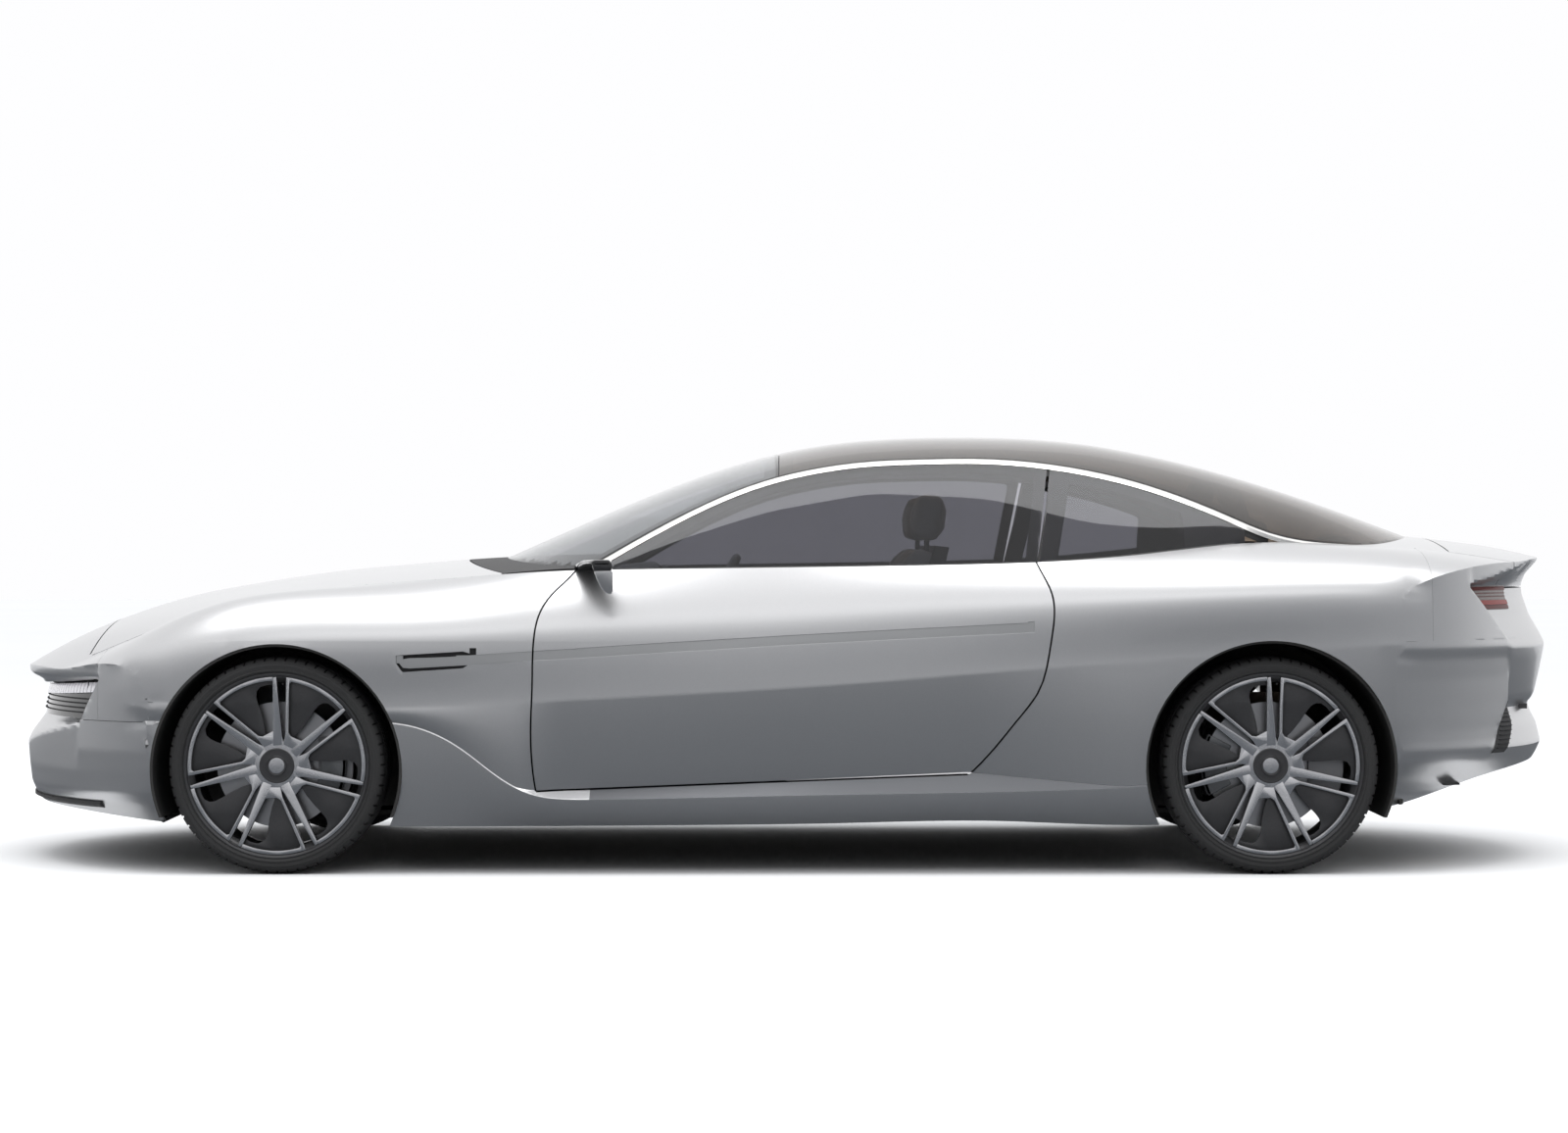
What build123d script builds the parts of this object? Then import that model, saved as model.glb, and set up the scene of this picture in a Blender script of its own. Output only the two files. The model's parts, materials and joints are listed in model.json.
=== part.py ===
from build123d import *
import os
from bisect import bisect_right
from math import atan2, cos, degrees, exp, hypot, pi, radians, sin, sqrt

# A two-door fastback coupe, in millimetres. +X runs from the nose to the tail, +Y to the car's
# right, +Z up. The origin is on the ground, under the middle of the car.

# ---------------------------------------------------------------------------------------------
# Driving dimensions
# ---------------------------------------------------------------------------------------------
WHEELBASE = 3000.0
FRONT_OVERHANG = 935.0
REAR_OVERHANG = 1023.0
BODY_WIDTH = 1930.0
ROOF_HEIGHT = 1340.0

PANEL = 14.0            # outer skin, with its inner pressing
GLASS = 6.0
ROOF_WALL = 34.0        # pillars and rails, under the glass line
RAIL_WIDTH = 70.0       # roof rail, from the rail's edge inwards
RAIL_DEPTH = 34.0       # roof rail, from the rail's edge down the side
TRIM_WIDTH = 14.0       # bright strip, each side of the rail's edge
TRIM_GAP = 2.0
SHUT_GAP = 5.0          # between a moving panel and the body
SEAT_GAP = 0.3          # between pieces that are bonded or bolted together
BOND = 1.0              # adhesive under the glass

TRACK = 1605.0
TYRE_RADIUS = 327.0
TYRE_WIDTH = 255.0
RIM_RADIUS = 280.0      # over the rim flange
RIM_WIDTH = 236.0
SPOKES = 7
ARCH_RADIUS = 380.0
ARCH_LIFT = -12.0       # arch centre above the front wheel centre
REAR_ARCH_LIFT = -2.0
TUB_WALL = 8.0
TUB_DEPTH = 400.0       # wheel tub, from the tyre's outer face inwards

DISC_RADIUS = 190.0
DISC_THICKNESS = 28.0
HUB_RADIUS = 62.0
SPINDLE_RADIUS = 22.0
RUNNING_FIT = 0.05      # radial clearance of a shaft in its bore
PIVOT_RADIUS = 15.0     # kingpin bosses

DOOR_DEPTH = 150.0      # whole door, outer skin to inner trim
HINGE_PIN = 6.0
HINGE_BARREL = 11.0
DOOR_HINGE_BACK = 60.0  # hinge axis behind the door's front edge
DOOR_HINGE_IN = 30.0    # hinge axis inside the door's outer face
LID_HINGE_BACK = 45.0   # hinge axis of a lid, behind its leading edge
LID_HINGE_DOWN = 46.0
BONNET_HINGE_DOWN = 38.0

LENGTH = FRONT_OVERHANG + WHEELBASE + REAR_OVERHANG
NOSE_X = -LENGTH / 2
FRONT_AXLE = NOSE_X + FRONT_OVERHANG
REAR_AXLE = FRONT_AXLE + WHEELBASE
TAIL_X = LENGTH / 2
AXLE_Z = TYRE_RADIUS
WHEEL_Y = TRACK / 2

BIG = 3000.0            # larger than the car, for cutting blocks

os.makedirs("parts", exist_ok=True)


# ---------------------------------------------------------------------------------------------
# The drawing's own frame. The styling curves are drawn for a car with its axles at -1545 and
# 1455, its nose at -2480, its tail at 2478, 1930 wide and 1340 high; along, wide and tall carry
# them to the sizes above.
# ---------------------------------------------------------------------------------------------
DRAWN_FRONT_AXLE = -1545.0
DRAWN_REAR_AXLE = 1455.0
DRAWN_OVERHANGS = (935.0, 1023.0)
DRAWN_WIDTH = 1930.0
DRAWN_HEIGHT = 1340.0


def along(x):
    if x < DRAWN_FRONT_AXLE:
        return FRONT_AXLE + (x - DRAWN_FRONT_AXLE) * FRONT_OVERHANG / DRAWN_OVERHANGS[0]
    if x > DRAWN_REAR_AXLE:
        return REAR_AXLE + (x - DRAWN_REAR_AXLE) * REAR_OVERHANG / DRAWN_OVERHANGS[1]
    return FRONT_AXLE + (x - DRAWN_FRONT_AXLE) * WHEELBASE / (DRAWN_REAR_AXLE - DRAWN_FRONT_AXLE)


def wide(y):
    return y * BODY_WIDTH / DRAWN_WIDTH


def tall(z):
    return z * ROOF_HEIGHT / DRAWN_HEIGHT


def fair(points, blend=110.0):
    """A fair curve by the points: a monotone cubic, averaged over its neighbourhood."""
    xs = [p[0] for p in points]
    vs = [p[1] for p in points]
    h = [b - a for a, b in zip(xs, xs[1:])]
    d = [(b - a) / k for a, b, k in zip(vs, vs[1:], h)]
    m = [d[0]]
    for i in range(1, len(d)):
        if d[i - 1] * d[i] <= 0:
            m.append(0.0)
            continue
        w1 = 2 * h[i] + h[i - 1]
        w2 = h[i] + 2 * h[i - 1]
        m.append((w1 + w2) / (w1 / d[i - 1] + w2 / d[i]))
    m.append(d[-1])

    def cubic(x):
        if x <= xs[0]:
            return vs[0] + (x - xs[0]) * m[0]
        if x >= xs[-1]:
            return vs[-1] + (x - xs[-1]) * m[-1]
        k = bisect_right(xs, x) - 1
        t = (x - xs[k]) / h[k]
        return ((2 * t**3 - 3 * t**2 + 1) * vs[k] + (t**3 - 2 * t**2 + t) * h[k] * m[k]
                + (3 * t**2 - 2 * t**3) * vs[k + 1] + (t**3 - t**2) * h[k] * m[k + 1])

    taps = [(k / 5.0, exp(-0.5 * (k / 5.0) ** 2)) for k in range(-12, 13)]
    total = sum(w for _, w in taps)
    return lambda x: sum(w * cubic(x + k * blend) for k, w in taps) / total


# ---------------------------------------------------------------------------------------------
# Feature lines of the body side, each a half width and a height along the car
# ---------------------------------------------------------------------------------------------
UNDER_Y = fair([(-2600, 820), (-2095, 870), (-1864, 900), (1018, 905), (1799, 900), (2159, 850), (2600, 760)])
UNDER_Z = fair([(-2600, 190), (-2300, 182), (-2095, 170), (-1864, 150), (-1200, 143), (0, 150), (576, 162),
                (1018, 146), (1300, 150), (1799, 192), (2159, 290), (2440, 320), (2600, 330)])
SILL_Y = fair([(-2600, 800), (-2110, 840), (-1928, 918), (-1165, 935), (-985, 943), (-779, 940), (0, 935),
               (1012, 940), (1750, 935), (2142, 860), (2600, 740)])
SILL_Z = fair([(-2600, 457), (-1165, 457), (-1080, 430), (-985, 385), (-897, 304), (-779, 236), (-700, 226),
               (0, 238), (1012, 262), (1100, 270), (1500, 300), (1750, 321), (2142, 359), (2600, 368)], 60)
WAIST_Y = fair([(-2600, 780), (-2110, 835), (-1928, 920), (-1700, 943), (-1545, 950), (-1192, 946), (0, 946),
                (771, 948), (1100, 955), (1455, 965), (1750, 955), (2169, 860), (2600, 700)])
WAIST_Z = fair([(-2600, 520), (-2100, 525), (-1600, 505), (-1192, 500), (-770, 519), (-72, 557), (164, 573),
                (771, 622), (1100, 645), (1750, 690), (2169, 712), (2600, 715)])
SHOULDER_Y = fair([(-2600, 740), (-2113, 800), (-1980, 878), (-1700, 932), (-1545, 940), (-1251, 937),
                   (-776, 930), (-72, 922), (164, 922), (800, 932), (1460, 957), (1750, 942), (2110, 835),
                   (2600, 660)])
SHOULDER_Z = fair([(-2600, 480), (-2400, 520), (-2113, 606), (-1980, 640), (-1700, 698), (-1545, 712),
                   (-1251, 719), (-776, 734), (-72, 763), (164, 781), (800, 819), (1460, 852), (2110, 868),
                   (2600, 872)])
CREST_Y = fair([(-2600, 700), (-2113, 750), (-1980, 800), (-1855, 820), (-1603, 822), (-1364, 826),
                (-1074, 850), (-776, 875), (-72, 885), (800, 888), (1460, 860), (1750, 840), (2110, 750),
                (2600, 600)])
CREST_Z = fair([(-2600, 490), (-2400, 535), (-2113, 636), (-1980, 690), (-1855, 766), (-1603, 834),
                (-1364, 841), (-1074, 828), (-776, 833), (-72, 850), (500, 880), (800, 897), (1460, 945),
                (1750, 950), (2110, 925), (2600, 890)])
BELT_Y = fair([(-2600, 600), (-2113, 620), (-1855, 680), (-1603, 700), (-1165, 720), (-977, 740), (-782, 780),
               (-526, 820), (0, 845), (747, 845), (1100, 800), (1465, 700), (1619, 670), (1814, 620),
               (1963, 580), (2300, 520), (2600, 450)])
BELT_Z = fair([(-2600, 500), (-2400, 550), (-2113, 672), (-1980, 720), (-1855, 777), (-1603, 842),
               (-1465, 857), (-1165, 881), (-977, 893), (-782, 912), (-526, 918), (0, 925), (747, 939),
               (1100, 965), (1465, 1005), (1619, 998), (1814, 988), (1963, 982), (2100, 967), (2300, 940),
               (2600, 895)])
CENTRE_Z = fair([(-2600, 520), (-2480, 590), (-2455, 612), (-2391, 652), (-2262, 719), (-2070, 790),
                 (-1941, 829), (-1684, 876), (-1427, 912), (-1170, 935), (-961, 951), (-600, 965), (0, 975),
                 (1000, 1000), (1600, 1030), (1900, 1030), (2044, 1018), (2172, 1003), (2301, 986),
                 (2429, 955), (2600, 900)], 60)

# Glasshouse: centre line of windscreen, roof and rear glass, and the rail over the side windows
ROOF_Z = fair([(-1200, 826), (-961, 932), (-784, 1009), (-527, 1121), (-270, 1221), (-142, 1262), (-13, 1295),
               (116, 1318), (244, 1333), (501, 1343), (630, 1343), (887, 1330), (1144, 1289), (1401, 1227),
               (1658, 1147), (1915, 1054), (2044, 1006), (2200, 946), (2400, 860)], 60)
RAIL_Y = fair([(-1200, 900), (-960, 865), (-576, 770), (-375, 715), (-134, 655), (139, 620), (600, 608),
               (900, 610), (1052, 618), (1202, 634), (1348, 660), (1480, 682), (1620, 672), (1814, 600),
               (1963, 470), (2200, 330), (2400, 300)], 60)
RAIL_Z = fair([(-1200, 570), (-960, 720), (-576, 938), (-375, 1054), (-134, 1167), (-13, 1205), (139, 1235),
               (291, 1251), (595, 1257), (748, 1247), (900, 1225), (1052, 1191), (1202, 1142), (1348, 1081),
               (1450, 1034), (1526, 1007), (1640, 993), (1814, 986), (1963, 968), (2200, 890), (2400, 820)], 50)


def between(a, b, bulge):
    """The point half way from a to b, pushed out of the body by bulge (left side of the car)."""
    dy = b[1] - a[1]
    dz = b[2] - a[2]
    span = hypot(dy, dz)
    ny, nz = -dz / span, dy / span
    if ny > 0:
        ny, nz = -ny, -nz
    return (a[0], (a[1] + b[1]) / 2 + ny * bulge, (a[2] + b[2]) / 2 + nz * bulge)


def mirror_point(p):
    return (p[0], -p[1], p[2])


def curve_through(points):
    if len(points) == 2:
        return Edge.make_line(Vector(*points[0]), Vector(*points[1]))
    return Edge.make_spline([Vector(*p) for p in points])


def closed_section(side_runs, crown):
    """A closed wire: the left side's runs from the floor up, the crown, and their mirror images."""
    edges = [curve_through(run) for run in side_runs]
    edges.append(curve_through(crown))
    for run in reversed(side_runs):
        edges.append(curve_through([mirror_point(p) for p in reversed(run)]))
    edges.append(Edge.make_line(Vector(*mirror_point(side_runs[0][0])), Vector(*side_runs[0][0])))
    return Wire(edges)


def ramp(x, table):
    """Straight runs through the table."""
    if x <= table[0][0]:
        return table[0][1]
    for (xa, va), (xb, vb) in zip(table, table[1:]):
        if x <= xb:
            return va + (vb - va) * (x - xa) / (xb - xa)
    return table[-1][1]


LEDGE_DEPTH = 35.0
LEDGE_IN = ((-820, 0), (-700, 1), (547, 1), (1012, 0))
LEDGE_UP = ((-820, 4), (-700, 25), (547, 60), (800, 30), (1012, 4))


def body_points(x, wall):
    """Feature points of the left side at drawn station x, drawn in from the skin by wall."""
    real_x = along(x)

    def point(y_line, z_line, down):
        return (real_x, -(wide(y_line(x)) - wall), tall(z_line(x)) - down)

    under = point(UNDER_Y, UNDER_Z, -wall)
    sill = point(SILL_Y, SILL_Z, 0.0)
    waist = point(WAIST_Y, WAIST_Z, 0.0)
    shoulder = point(SHOULDER_Y, SHOULDER_Z, 0.0)
    crest = point(CREST_Y, CREST_Z, wall * 0.6)
    belt = point(BELT_Y, BELT_Z, wall)
    ledge = (real_x, sill[1] + LEDGE_DEPTH * ramp(x, LEDGE_IN) + 2.0, sill[2] + ramp(x, LEDGE_UP))
    centre = (real_x, 0.0, tall(CENTRE_Z(x)) - wall)
    return under, sill, ledge, waist, shoulder, crest, belt, centre


# Nose and tail, turned about upright axes: height, and how far behind the tip the surface lies
NOSE_ROUND = 1051.0
NOSE_PROFILE = ((100, 60), (150, 51), (192, 31), (208, 26), (300, 12), (385, 0), (425, 6), (459, 58),
                (549, 51), (578, 3), (592, 3), (640, 3), (1100, 3))
NOSE_SIDE = ((100, 60), (150, 51), (192, 31), (208, 26), (300, 12), (385, 0), (425, 3), (1100, 3))
MOUTH_ANGLE = radians(48)
TAIL_ROUND = 1066.0
TAIL_POCKET = 69.0      # the lamps' wall behind the tail's tip
TAIL_PROFILE = ((260, 60), (289, 39), (321, 20), (363, 26), (417, 45), (443, 65), (466, 33), (562, 13),
                (642, 0), (674, 0), (707, 23), (771, 62), (835, 75), (883, 61), (938, 26), (1040, 30))
TAIL_SIDE = ((260, 60), (289, 39), (321, 20), (363, 12), (642, 0), (674, 0), (780, 10), (938, 26), (1040, 30))
POCKET_ANGLE = radians(46)


def turned(centre_x, round_radius, profile, wall):
    """A solid of revolution about an upright axis, for the plan shape of the nose or the tail."""
    points = [(round_radius - back - wall, tall(z)) for z, back in profile]
    outline = [(0.0, points[0][1])] + points + [(0.0, points[-1][1])]
    face = make_face(Plane.XZ * Polyline(*outline, close=True))
    return Pos(centre_x, 0, 0) * revolve(face, Axis.Z)


def wedge(centre_x, facing, half_angle):
    """All that lies within half_angle of straight ahead (-1) or straight back (1), from an upright axis."""
    far = 2 * BIG
    face = make_face(Polyline((0, 0), (far * cos(half_angle), far * sin(half_angle)),
                              (far * cos(half_angle), -far * sin(half_angle)), close=True))
    prism = Pos(0, 0, -BIG) * extrude(face, amount=2 * BIG)
    turn = 0 if facing > 0 else 180
    return Pos(centre_x, 0, 0) * (Rot(0, 0, turn) * prism)


def end_drum(centre_x, facing, round_radius, profiles, half_angle, wall):
    """The plan of one end as a drum: the first profile within half_angle, the second beside it."""
    shown = wedge(centre_x, facing, half_angle + wall / round_radius)
    drum = turned(centre_x, round_radius, profiles[0], wall) & shown
    return drum + (turned(centre_x, round_radius, profiles[1], wall) - shown)


def block(x0, x1, y0, y1, z0, z1):
    return Pos((x0 + x1) / 2, (y0 + y1) / 2, (z0 + z1) / 2) * Box(abs(x1 - x0), abs(y1 - y0), abs(z1 - z0))


FULL_STATIONS = (-2600, -2450, -2300, -2150, -2050, -1950, -1850, -1700, -1545, -1350, -1150, -1050, -960,
                 -880, -800, -700, -500, -250, 0, 300, 600, 850, 1000, 1150, 1300, 1455, 1600, 1750, 1900,
                 2000, 2120, 2250, 2400, 2600)


def stations(start, end):
    """The drawn stations from start to end, with two more at each side so that the ends are fair."""
    inside = [k for k, x in enumerate(FULL_STATIONS) if start <= x <= end]
    return FULL_STATIONS[max(0, inside[0] - 2):inside[-1] + 3]


def side_runs(points):
    under, sill, ledge, waist, shoulder, crest, belt, centre = points
    return [
        [under, between(under, sill, 6.0), sill],
        [sill, ledge],
        [ledge, between(ledge, waist, 6.0), waist],
        [waist, between(waist, shoulder, 5.0), shoulder, crest, belt],
    ]


def crown_run(points):
    belt, centre = points[6], points[7]
    half = (belt[0], belt[1] / 2, centre[2] - (centre[2] - belt[2]) * 0.27)
    return [belt, half, centre, mirror_point(half), mirror_point(belt)]


def body_section(x, wall):
    points = body_points(x, wall)
    return closed_section(side_runs(points), crown_run(points))


def loft(wires):
    return Part() + Solid.make_loft(wires)


def ribbon(outer_runs, inner_runs):
    """A closed wire: along the outer runs, across the wall, and back along the inner runs."""
    edges = [curve_through(run) for run in outer_runs]
    edges.append(Edge.make_line(Vector(*outer_runs[-1][-1]), Vector(*inner_runs[-1][-1])))
    edges += [curve_through(list(reversed(run))) for run in reversed(inner_runs)]
    edges.append(Edge.make_line(Vector(*inner_runs[0][0]), Vector(*outer_runs[0][0])))
    return Wire(edges)


def side_skin(start, end, wall, first_run=0):
    """The left side's skin, wall thick, from one drawn station to another."""
    wires = []
    for x in stations(start, end):
        outer = side_runs(body_points(x, 0.0))[first_run:]
        inner = side_runs(body_points(x, wall))[first_run:]
        wires.append(ribbon(outer, inner))
    return loft(wires) & block(along(start), along(end), -BIG, 0, -BIG, BIG)


def crown_skin(start, end, wall):
    """The bonnet's or the tail deck's skin, from belt line to belt line."""
    wires = [ribbon([crown_run(body_points(x, 0.0))], [crown_run(body_points(x, wall))])
             for x in stations(start, end)]
    return loft(wires) & block(along(start), along(end), -BIG, BIG, -BIG, BIG)


def largest(part):
    return Part() + max(part.solids(), key=lambda solid: solid.volume)


def mirrored(part):
    return mirror(part, about=Plane.XZ)


NOSE_CENTRE = NOSE_X + NOSE_ROUND
TAIL_CENTRE = TAIL_X - TAIL_ROUND


def nose_solid(wall, nose_wall):
    """The body ahead of the front wheels, its nose turned; drawn in, the nose is a plain drum."""
    solid = loft([body_section(x, wall) for x in stations(-2600, -1850)])
    front = block(NOSE_CENTRE - BIG, NOSE_CENTRE, -BIG, BIG, -BIG, BIG)
    if nose_wall:
        drum = Pos(NOSE_CENTRE, 0, 0) * Cylinder(NOSE_ROUND - nose_wall, 2 * BIG)
    else:
        drum = end_drum(NOSE_CENTRE, -1, NOSE_ROUND, (NOSE_PROFILE, NOSE_SIDE), MOUTH_ANGLE, 0.0)
    return solid - (front - drum)


def tail_solid(wall):
    solid = loft([body_section(x, wall) for x in stations(1900, 2600)])
    rear = block(TAIL_CENTRE, TAIL_CENTRE + BIG, -BIG, BIG, -BIG, BIG)
    drum = end_drum(TAIL_CENTRE, 1, TAIL_ROUND, (TAIL_PROFILE, TAIL_SIDE), POCKET_ANGLE, wall)
    return solid - (rear - drum)


BELT_INSET = 28.0       # side glass inside the belt line
BELT_LEAN = 0.75
GLASS_DROP = 30.0       # side glass below the belt line, in its slot
CROWN_POWER = 2.2


def side_glass_run(x, wall):
    """The side glass in section, from its foot in the slot up to the rail, drawn in by wall."""
    real_x = along(x)
    rail = (real_x, -(wide(RAIL_Y(x)) - wall), tall(RAIL_Z(x)))
    belt = (real_x, -(wide(BELT_Y(x)) - BELT_INSET - wall), tall(BELT_Z(x)))
    lean = min(BELT_LEAN, max(0.0, (rail[1] - belt[1]) / max(rail[2] - belt[2], 1.0)))
    foot_z = min(belt[2], rail[2] - 40.0) - GLASS_DROP
    foot = (real_x, rail[1] - lean * (rail[2] - foot_z), foot_z)
    return [foot, between(foot, rail, 8.0), rail]


def crown_point(x, share, wall, shift=0.0):
    """A point of the windscreen and roof, at a share of the rail's half width, drawn down by wall."""
    rail_y = wide(RAIL_Y(x))
    centre = tall(ROOF_Z(x))
    rise = centre - tall(RAIL_Z(x))
    y = rail_y * share - shift
    return (along(x), -y, centre - rise * (abs(y) / rail_y) ** CROWN_POWER - wall)


def crown_glass_run(x, wall):
    left = [crown_point(x, share, wall) for share in (1.0, 0.75, 0.4)]
    return left + [crown_point(x, 0.0, wall)] + [mirror_point(p) for p in reversed(left)]


GLASS_STATIONS = (-1100, -961, -850, -720, -600, -480, -340, -200, -60, 80, 250, 420, 600, 780, 940, 1080,
                  1220, 1360, 1480, 1600, 1720, 1850, 1980, 2100)


def glass_between(start, end):
    return [x for x in GLASS_STATIONS if start <= x <= end]


def side_glass(start, end, outer, inner):
    """A lofted strip of the side glass between two depths under its outer face."""
    return loft([ribbon([side_glass_run(x, outer)], [side_glass_run(x, inner)])
                 for x in glass_between(start, end)])


def crown_glass(start, end, outer, inner):
    return loft([ribbon([crown_glass_run(x, outer)], [crown_glass_run(x, inner)])
                 for x in glass_between(start, end)])


def polygon_wire(points):
    return Wire([Edge.make_line(Vector(*p), Vector(*q)) for p, q in zip(points, points[1:] + points[:1])])


def rail_point(x, down, wall):
    """A point of the side glass, down from the rail, drawn in by wall."""
    foot, _, rail = side_glass_run(x, wall)
    share = down / (rail[2] - foot[2])
    return (rail[0], rail[1] + (foot[1] - rail[1]) * share, rail[2] - down)


def rail_beam(start, end):
    """The hollow of the roof rail and windscreen pillar as one bar, under the glass."""
    wires = []
    for x in glass_between(start, end):
        top = crown_point(x, 1.0, GLASS + BOND, RAIL_WIDTH)
        wires.append(polygon_wire([
            rail_point(x, TRIM_WIDTH + 1.0, GLASS + BOND),
            crown_point(x, 1.0, GLASS + BOND, TRIM_WIDTH + 1.0),
            top,
            (top[0], top[1], top[2] - ROOF_WALL),
            rail_point(x, RAIL_DEPTH, GLASS + 0.6 * ROOF_WALL),
            rail_point(x, RAIL_DEPTH, GLASS + BOND),
        ]))
    return loft(wires)


def rail_trim(start, end):
    """The bright strip along the roof rail."""
    wires = []
    for x in glass_between(start, end):
        wires.append(polygon_wire([
            rail_point(x, TRIM_WIDTH - TRIM_GAP, 0.0),
            rail_point(x, 0.0, 0.0),
            crown_point(x, 1.0, 0.0, TRIM_WIDTH - TRIM_GAP),
            crown_point(x, 1.0, GLASS - TRIM_GAP / 2, TRIM_WIDTH - TRIM_GAP),
            rail_point(x, TRIM_WIDTH - TRIM_GAP, GLASS - TRIM_GAP / 2),
        ]))
    return loft(wires)


def crown_mass(start, end, wall, deep=300.0):
    """All that lies under the bonnet's or deck's surface, between the belt lines."""
    wires = []
    for x in stations(start, end):
        run = crown_run(body_points(x, wall))
        low = tall(CENTRE_Z(x)) - deep
        out = 60.0
        a, b = run[0], run[-1]
        a_out, b_out = (a[0], a[1] - out, a[2] - out * 0.7), (b[0], b[1] + out, b[2] - out * 0.7)
        a_low, b_low = (a[0], a[1] - out, low), (b[0], b[1] + out, low)
        edges = [curve_through(run)]
        ring = [b, b_out, b_low, a_low, a_out, a]
        edges += [Edge.make_line(Vector(*p), Vector(*q)) for p, q in zip(ring, ring[1:])]
        wires.append(Wire(edges))
    return loft(wires)


# ---------------------------------------------------------------------------------------------
# Cutting shapes
# ---------------------------------------------------------------------------------------------
def shifted_run(run, distance):
    """The run's points moved to the right of its travel by distance, its ends also down by it."""
    moved = []
    for k, (x, z) in enumerate(run):
        (xa, za), (xb, zb) = run[max(0, k - 1)], run[min(len(run) - 1, k + 1)]
        span = hypot(xb - xa, zb - za)
        moved.append((x + (zb - za) / span * distance, z - (xb - xa) / span * distance))
    low = min(range(len(moved)), key=lambda k: moved[k][1])
    moved[low] = (moved[low][0], moved[low][1] - distance)
    return moved


def side_prism(runs, grow, y0, y1):
    """A prism along Y from runs of drawn (x, z) points; each run is a spline, joined in a ring."""
    edges = []
    points = [shifted_run([(along(x), tall(z)) for x, z in run], grow) for run in runs]
    for run, after in zip(points, points[1:] + points[:1]):
        edges.append(Spline(*run) if len(run) > 2 else Line(*run))
        if hypot(run[-1][0] - after[0][0], run[-1][1] - after[0][1]) > 0.01:
            edges.append(Line(run[-1], after[0]))
    return Pos(0, -y0, 0) * extrude(Plane.XZ * make_face(edges), amount=y1 - y0, dir=(0, -1, 0))


def plan_prism(left_points, z0, z1):
    """A prism along Z whose left edge runs through drawn (x, y) points, mirrored to the right."""
    left = [(along(x), -wide(y)) for x, y in left_points]
    right = [(x, -y) for x, y in reversed(left)]
    edges = [Spline(*left), Line(left[-1], right[0]), Spline(*right), Line(right[-1], left[0])]
    return extrude(Pos(0, 0, z0) * make_face(edges), amount=z1 - z0)


def across(x, z, radius):
    """A cylinder about a lid's hinge line, right across the car."""
    return Pos(x, 0, z) * (Rot(90, 0, 0) * Cylinder(radius, 2 * BIG))


def sector(centre_x, facing, r0, r1, half_angle, z0, z1):
    """A ring sector about an upright axis, facing -1 for the nose or 1 for the tail."""
    ring = Cylinder(r1, z1 - z0) - Cylinder(r0, z1 - z0)
    return (Pos(centre_x, 0, (z0 + z1) / 2) * ring) & wedge(centre_x, facing, half_angle)


def wheel_drum(axle_x, axle_z, radius, y0, y1):
    """A cylinder across the car, on the left side, from y0 to y1."""
    return Pos(axle_x, (y0 + y1) / 2, axle_z) * (Rot(90, 0, 0) * Cylinder(radius, abs(y1 - y0)))


DOOR_FRONT = ((-628, 935), (-676, 884), (-720, 840), (-754, 781), (-767, 716), (-772, 569), (-776, 451),
              (-762, 250))
DOOR_REAR = ((547, 301), (606, 363), (694, 472), (753, 554), (777, 628), (792, 716), (800, 790), (793, 849),
             (772, 898), (745, 960))
DOOR_RUNS = (DOOR_FRONT, DOOR_REAR)


def rail_plan(x0, x1, inset):
    count = 12
    xs = [x0 + (x1 - x0) * k / count for k in range(count + 1)]
    return [(x, RAIL_Y(x) - inset) for x in xs]


def window_runs(x0_low, x0_high, x1_low, x1_high, below_rail, foot):
    """A side window: its front edge, the rail, its rear edge and a foot line under the belt."""
    count = 8
    xs = [x0_high + (x1_high - x0_high) * k / count for k in range(count + 1)]
    top = [(x, RAIL_Z(x) - below_rail) for x in xs]
    low = [(x1_low + (x0_low - x1_low) * k / 4, BELT_Z(x1_low + (x0_low - x1_low) * k / 4) - foot)
           for k in range(5)]
    return [top, low]


# ---------------------------------------------------------------------------------------------
# Body panels
# ---------------------------------------------------------------------------------------------
FRONT_ARCH_Z = AXLE_Z + ARCH_LIFT
REAR_ARCH_Z = AXLE_Z + REAR_ARCH_LIFT
BUMPER_TOP = 457.0
MOUTH_TOP = 549.0
TOW_RADIUS = 7.0        # tapping hole of an M16 tow eye
TOW_DEPTH = 60.0
TOW_Y = wide(300.0)
TOW_Z = tall(385.0)
TOW_X = NOSE_CENTRE - sqrt(NOSE_ROUND**2 - TOW_Y**2)
FENDER_NOSE = -2110.0
CORNER_END = -1850.0
TAIL_SPLIT = 1950.0
REAR_BUMPER_TOP = 702.0
NOSE_DEPTH = 146.0
LID_HALF = 560.0
LID_FRONT = 2060.0
LID_LOW = 862.0
BONNET_FRONT = -2170.0
FLOOR_FRONT = along(-1890)
FLOOR_REAR = along(1860)

# Lids turn about pins along Y, under their front edges
LID_HINGE_X = along(LID_FRONT) + LID_HINGE_BACK
LID_HINGE_Z = tall(CENTRE_Z(LID_FRONT)) - PANEL - LID_HINGE_DOWN
LID_HINGE_Y = wide(300.0)
LID_SWEEP = hypot(LID_HINGE_BACK, PANEL + LID_HINGE_DOWN) + 2.0
BONNET_HINGE_X = along(BONNET_FRONT) + LID_HINGE_BACK
BONNET_HINGE_Z = tall(CENTRE_Z(BONNET_FRONT)) - PANEL - BONNET_HINGE_DOWN
BONNET_HINGE_Y = wide(330.0)
BONNET_SWEEP = hypot(LID_HINGE_BACK, PANEL + BONNET_HINGE_DOWN)
HINGE_WIDE = 60.0

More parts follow.
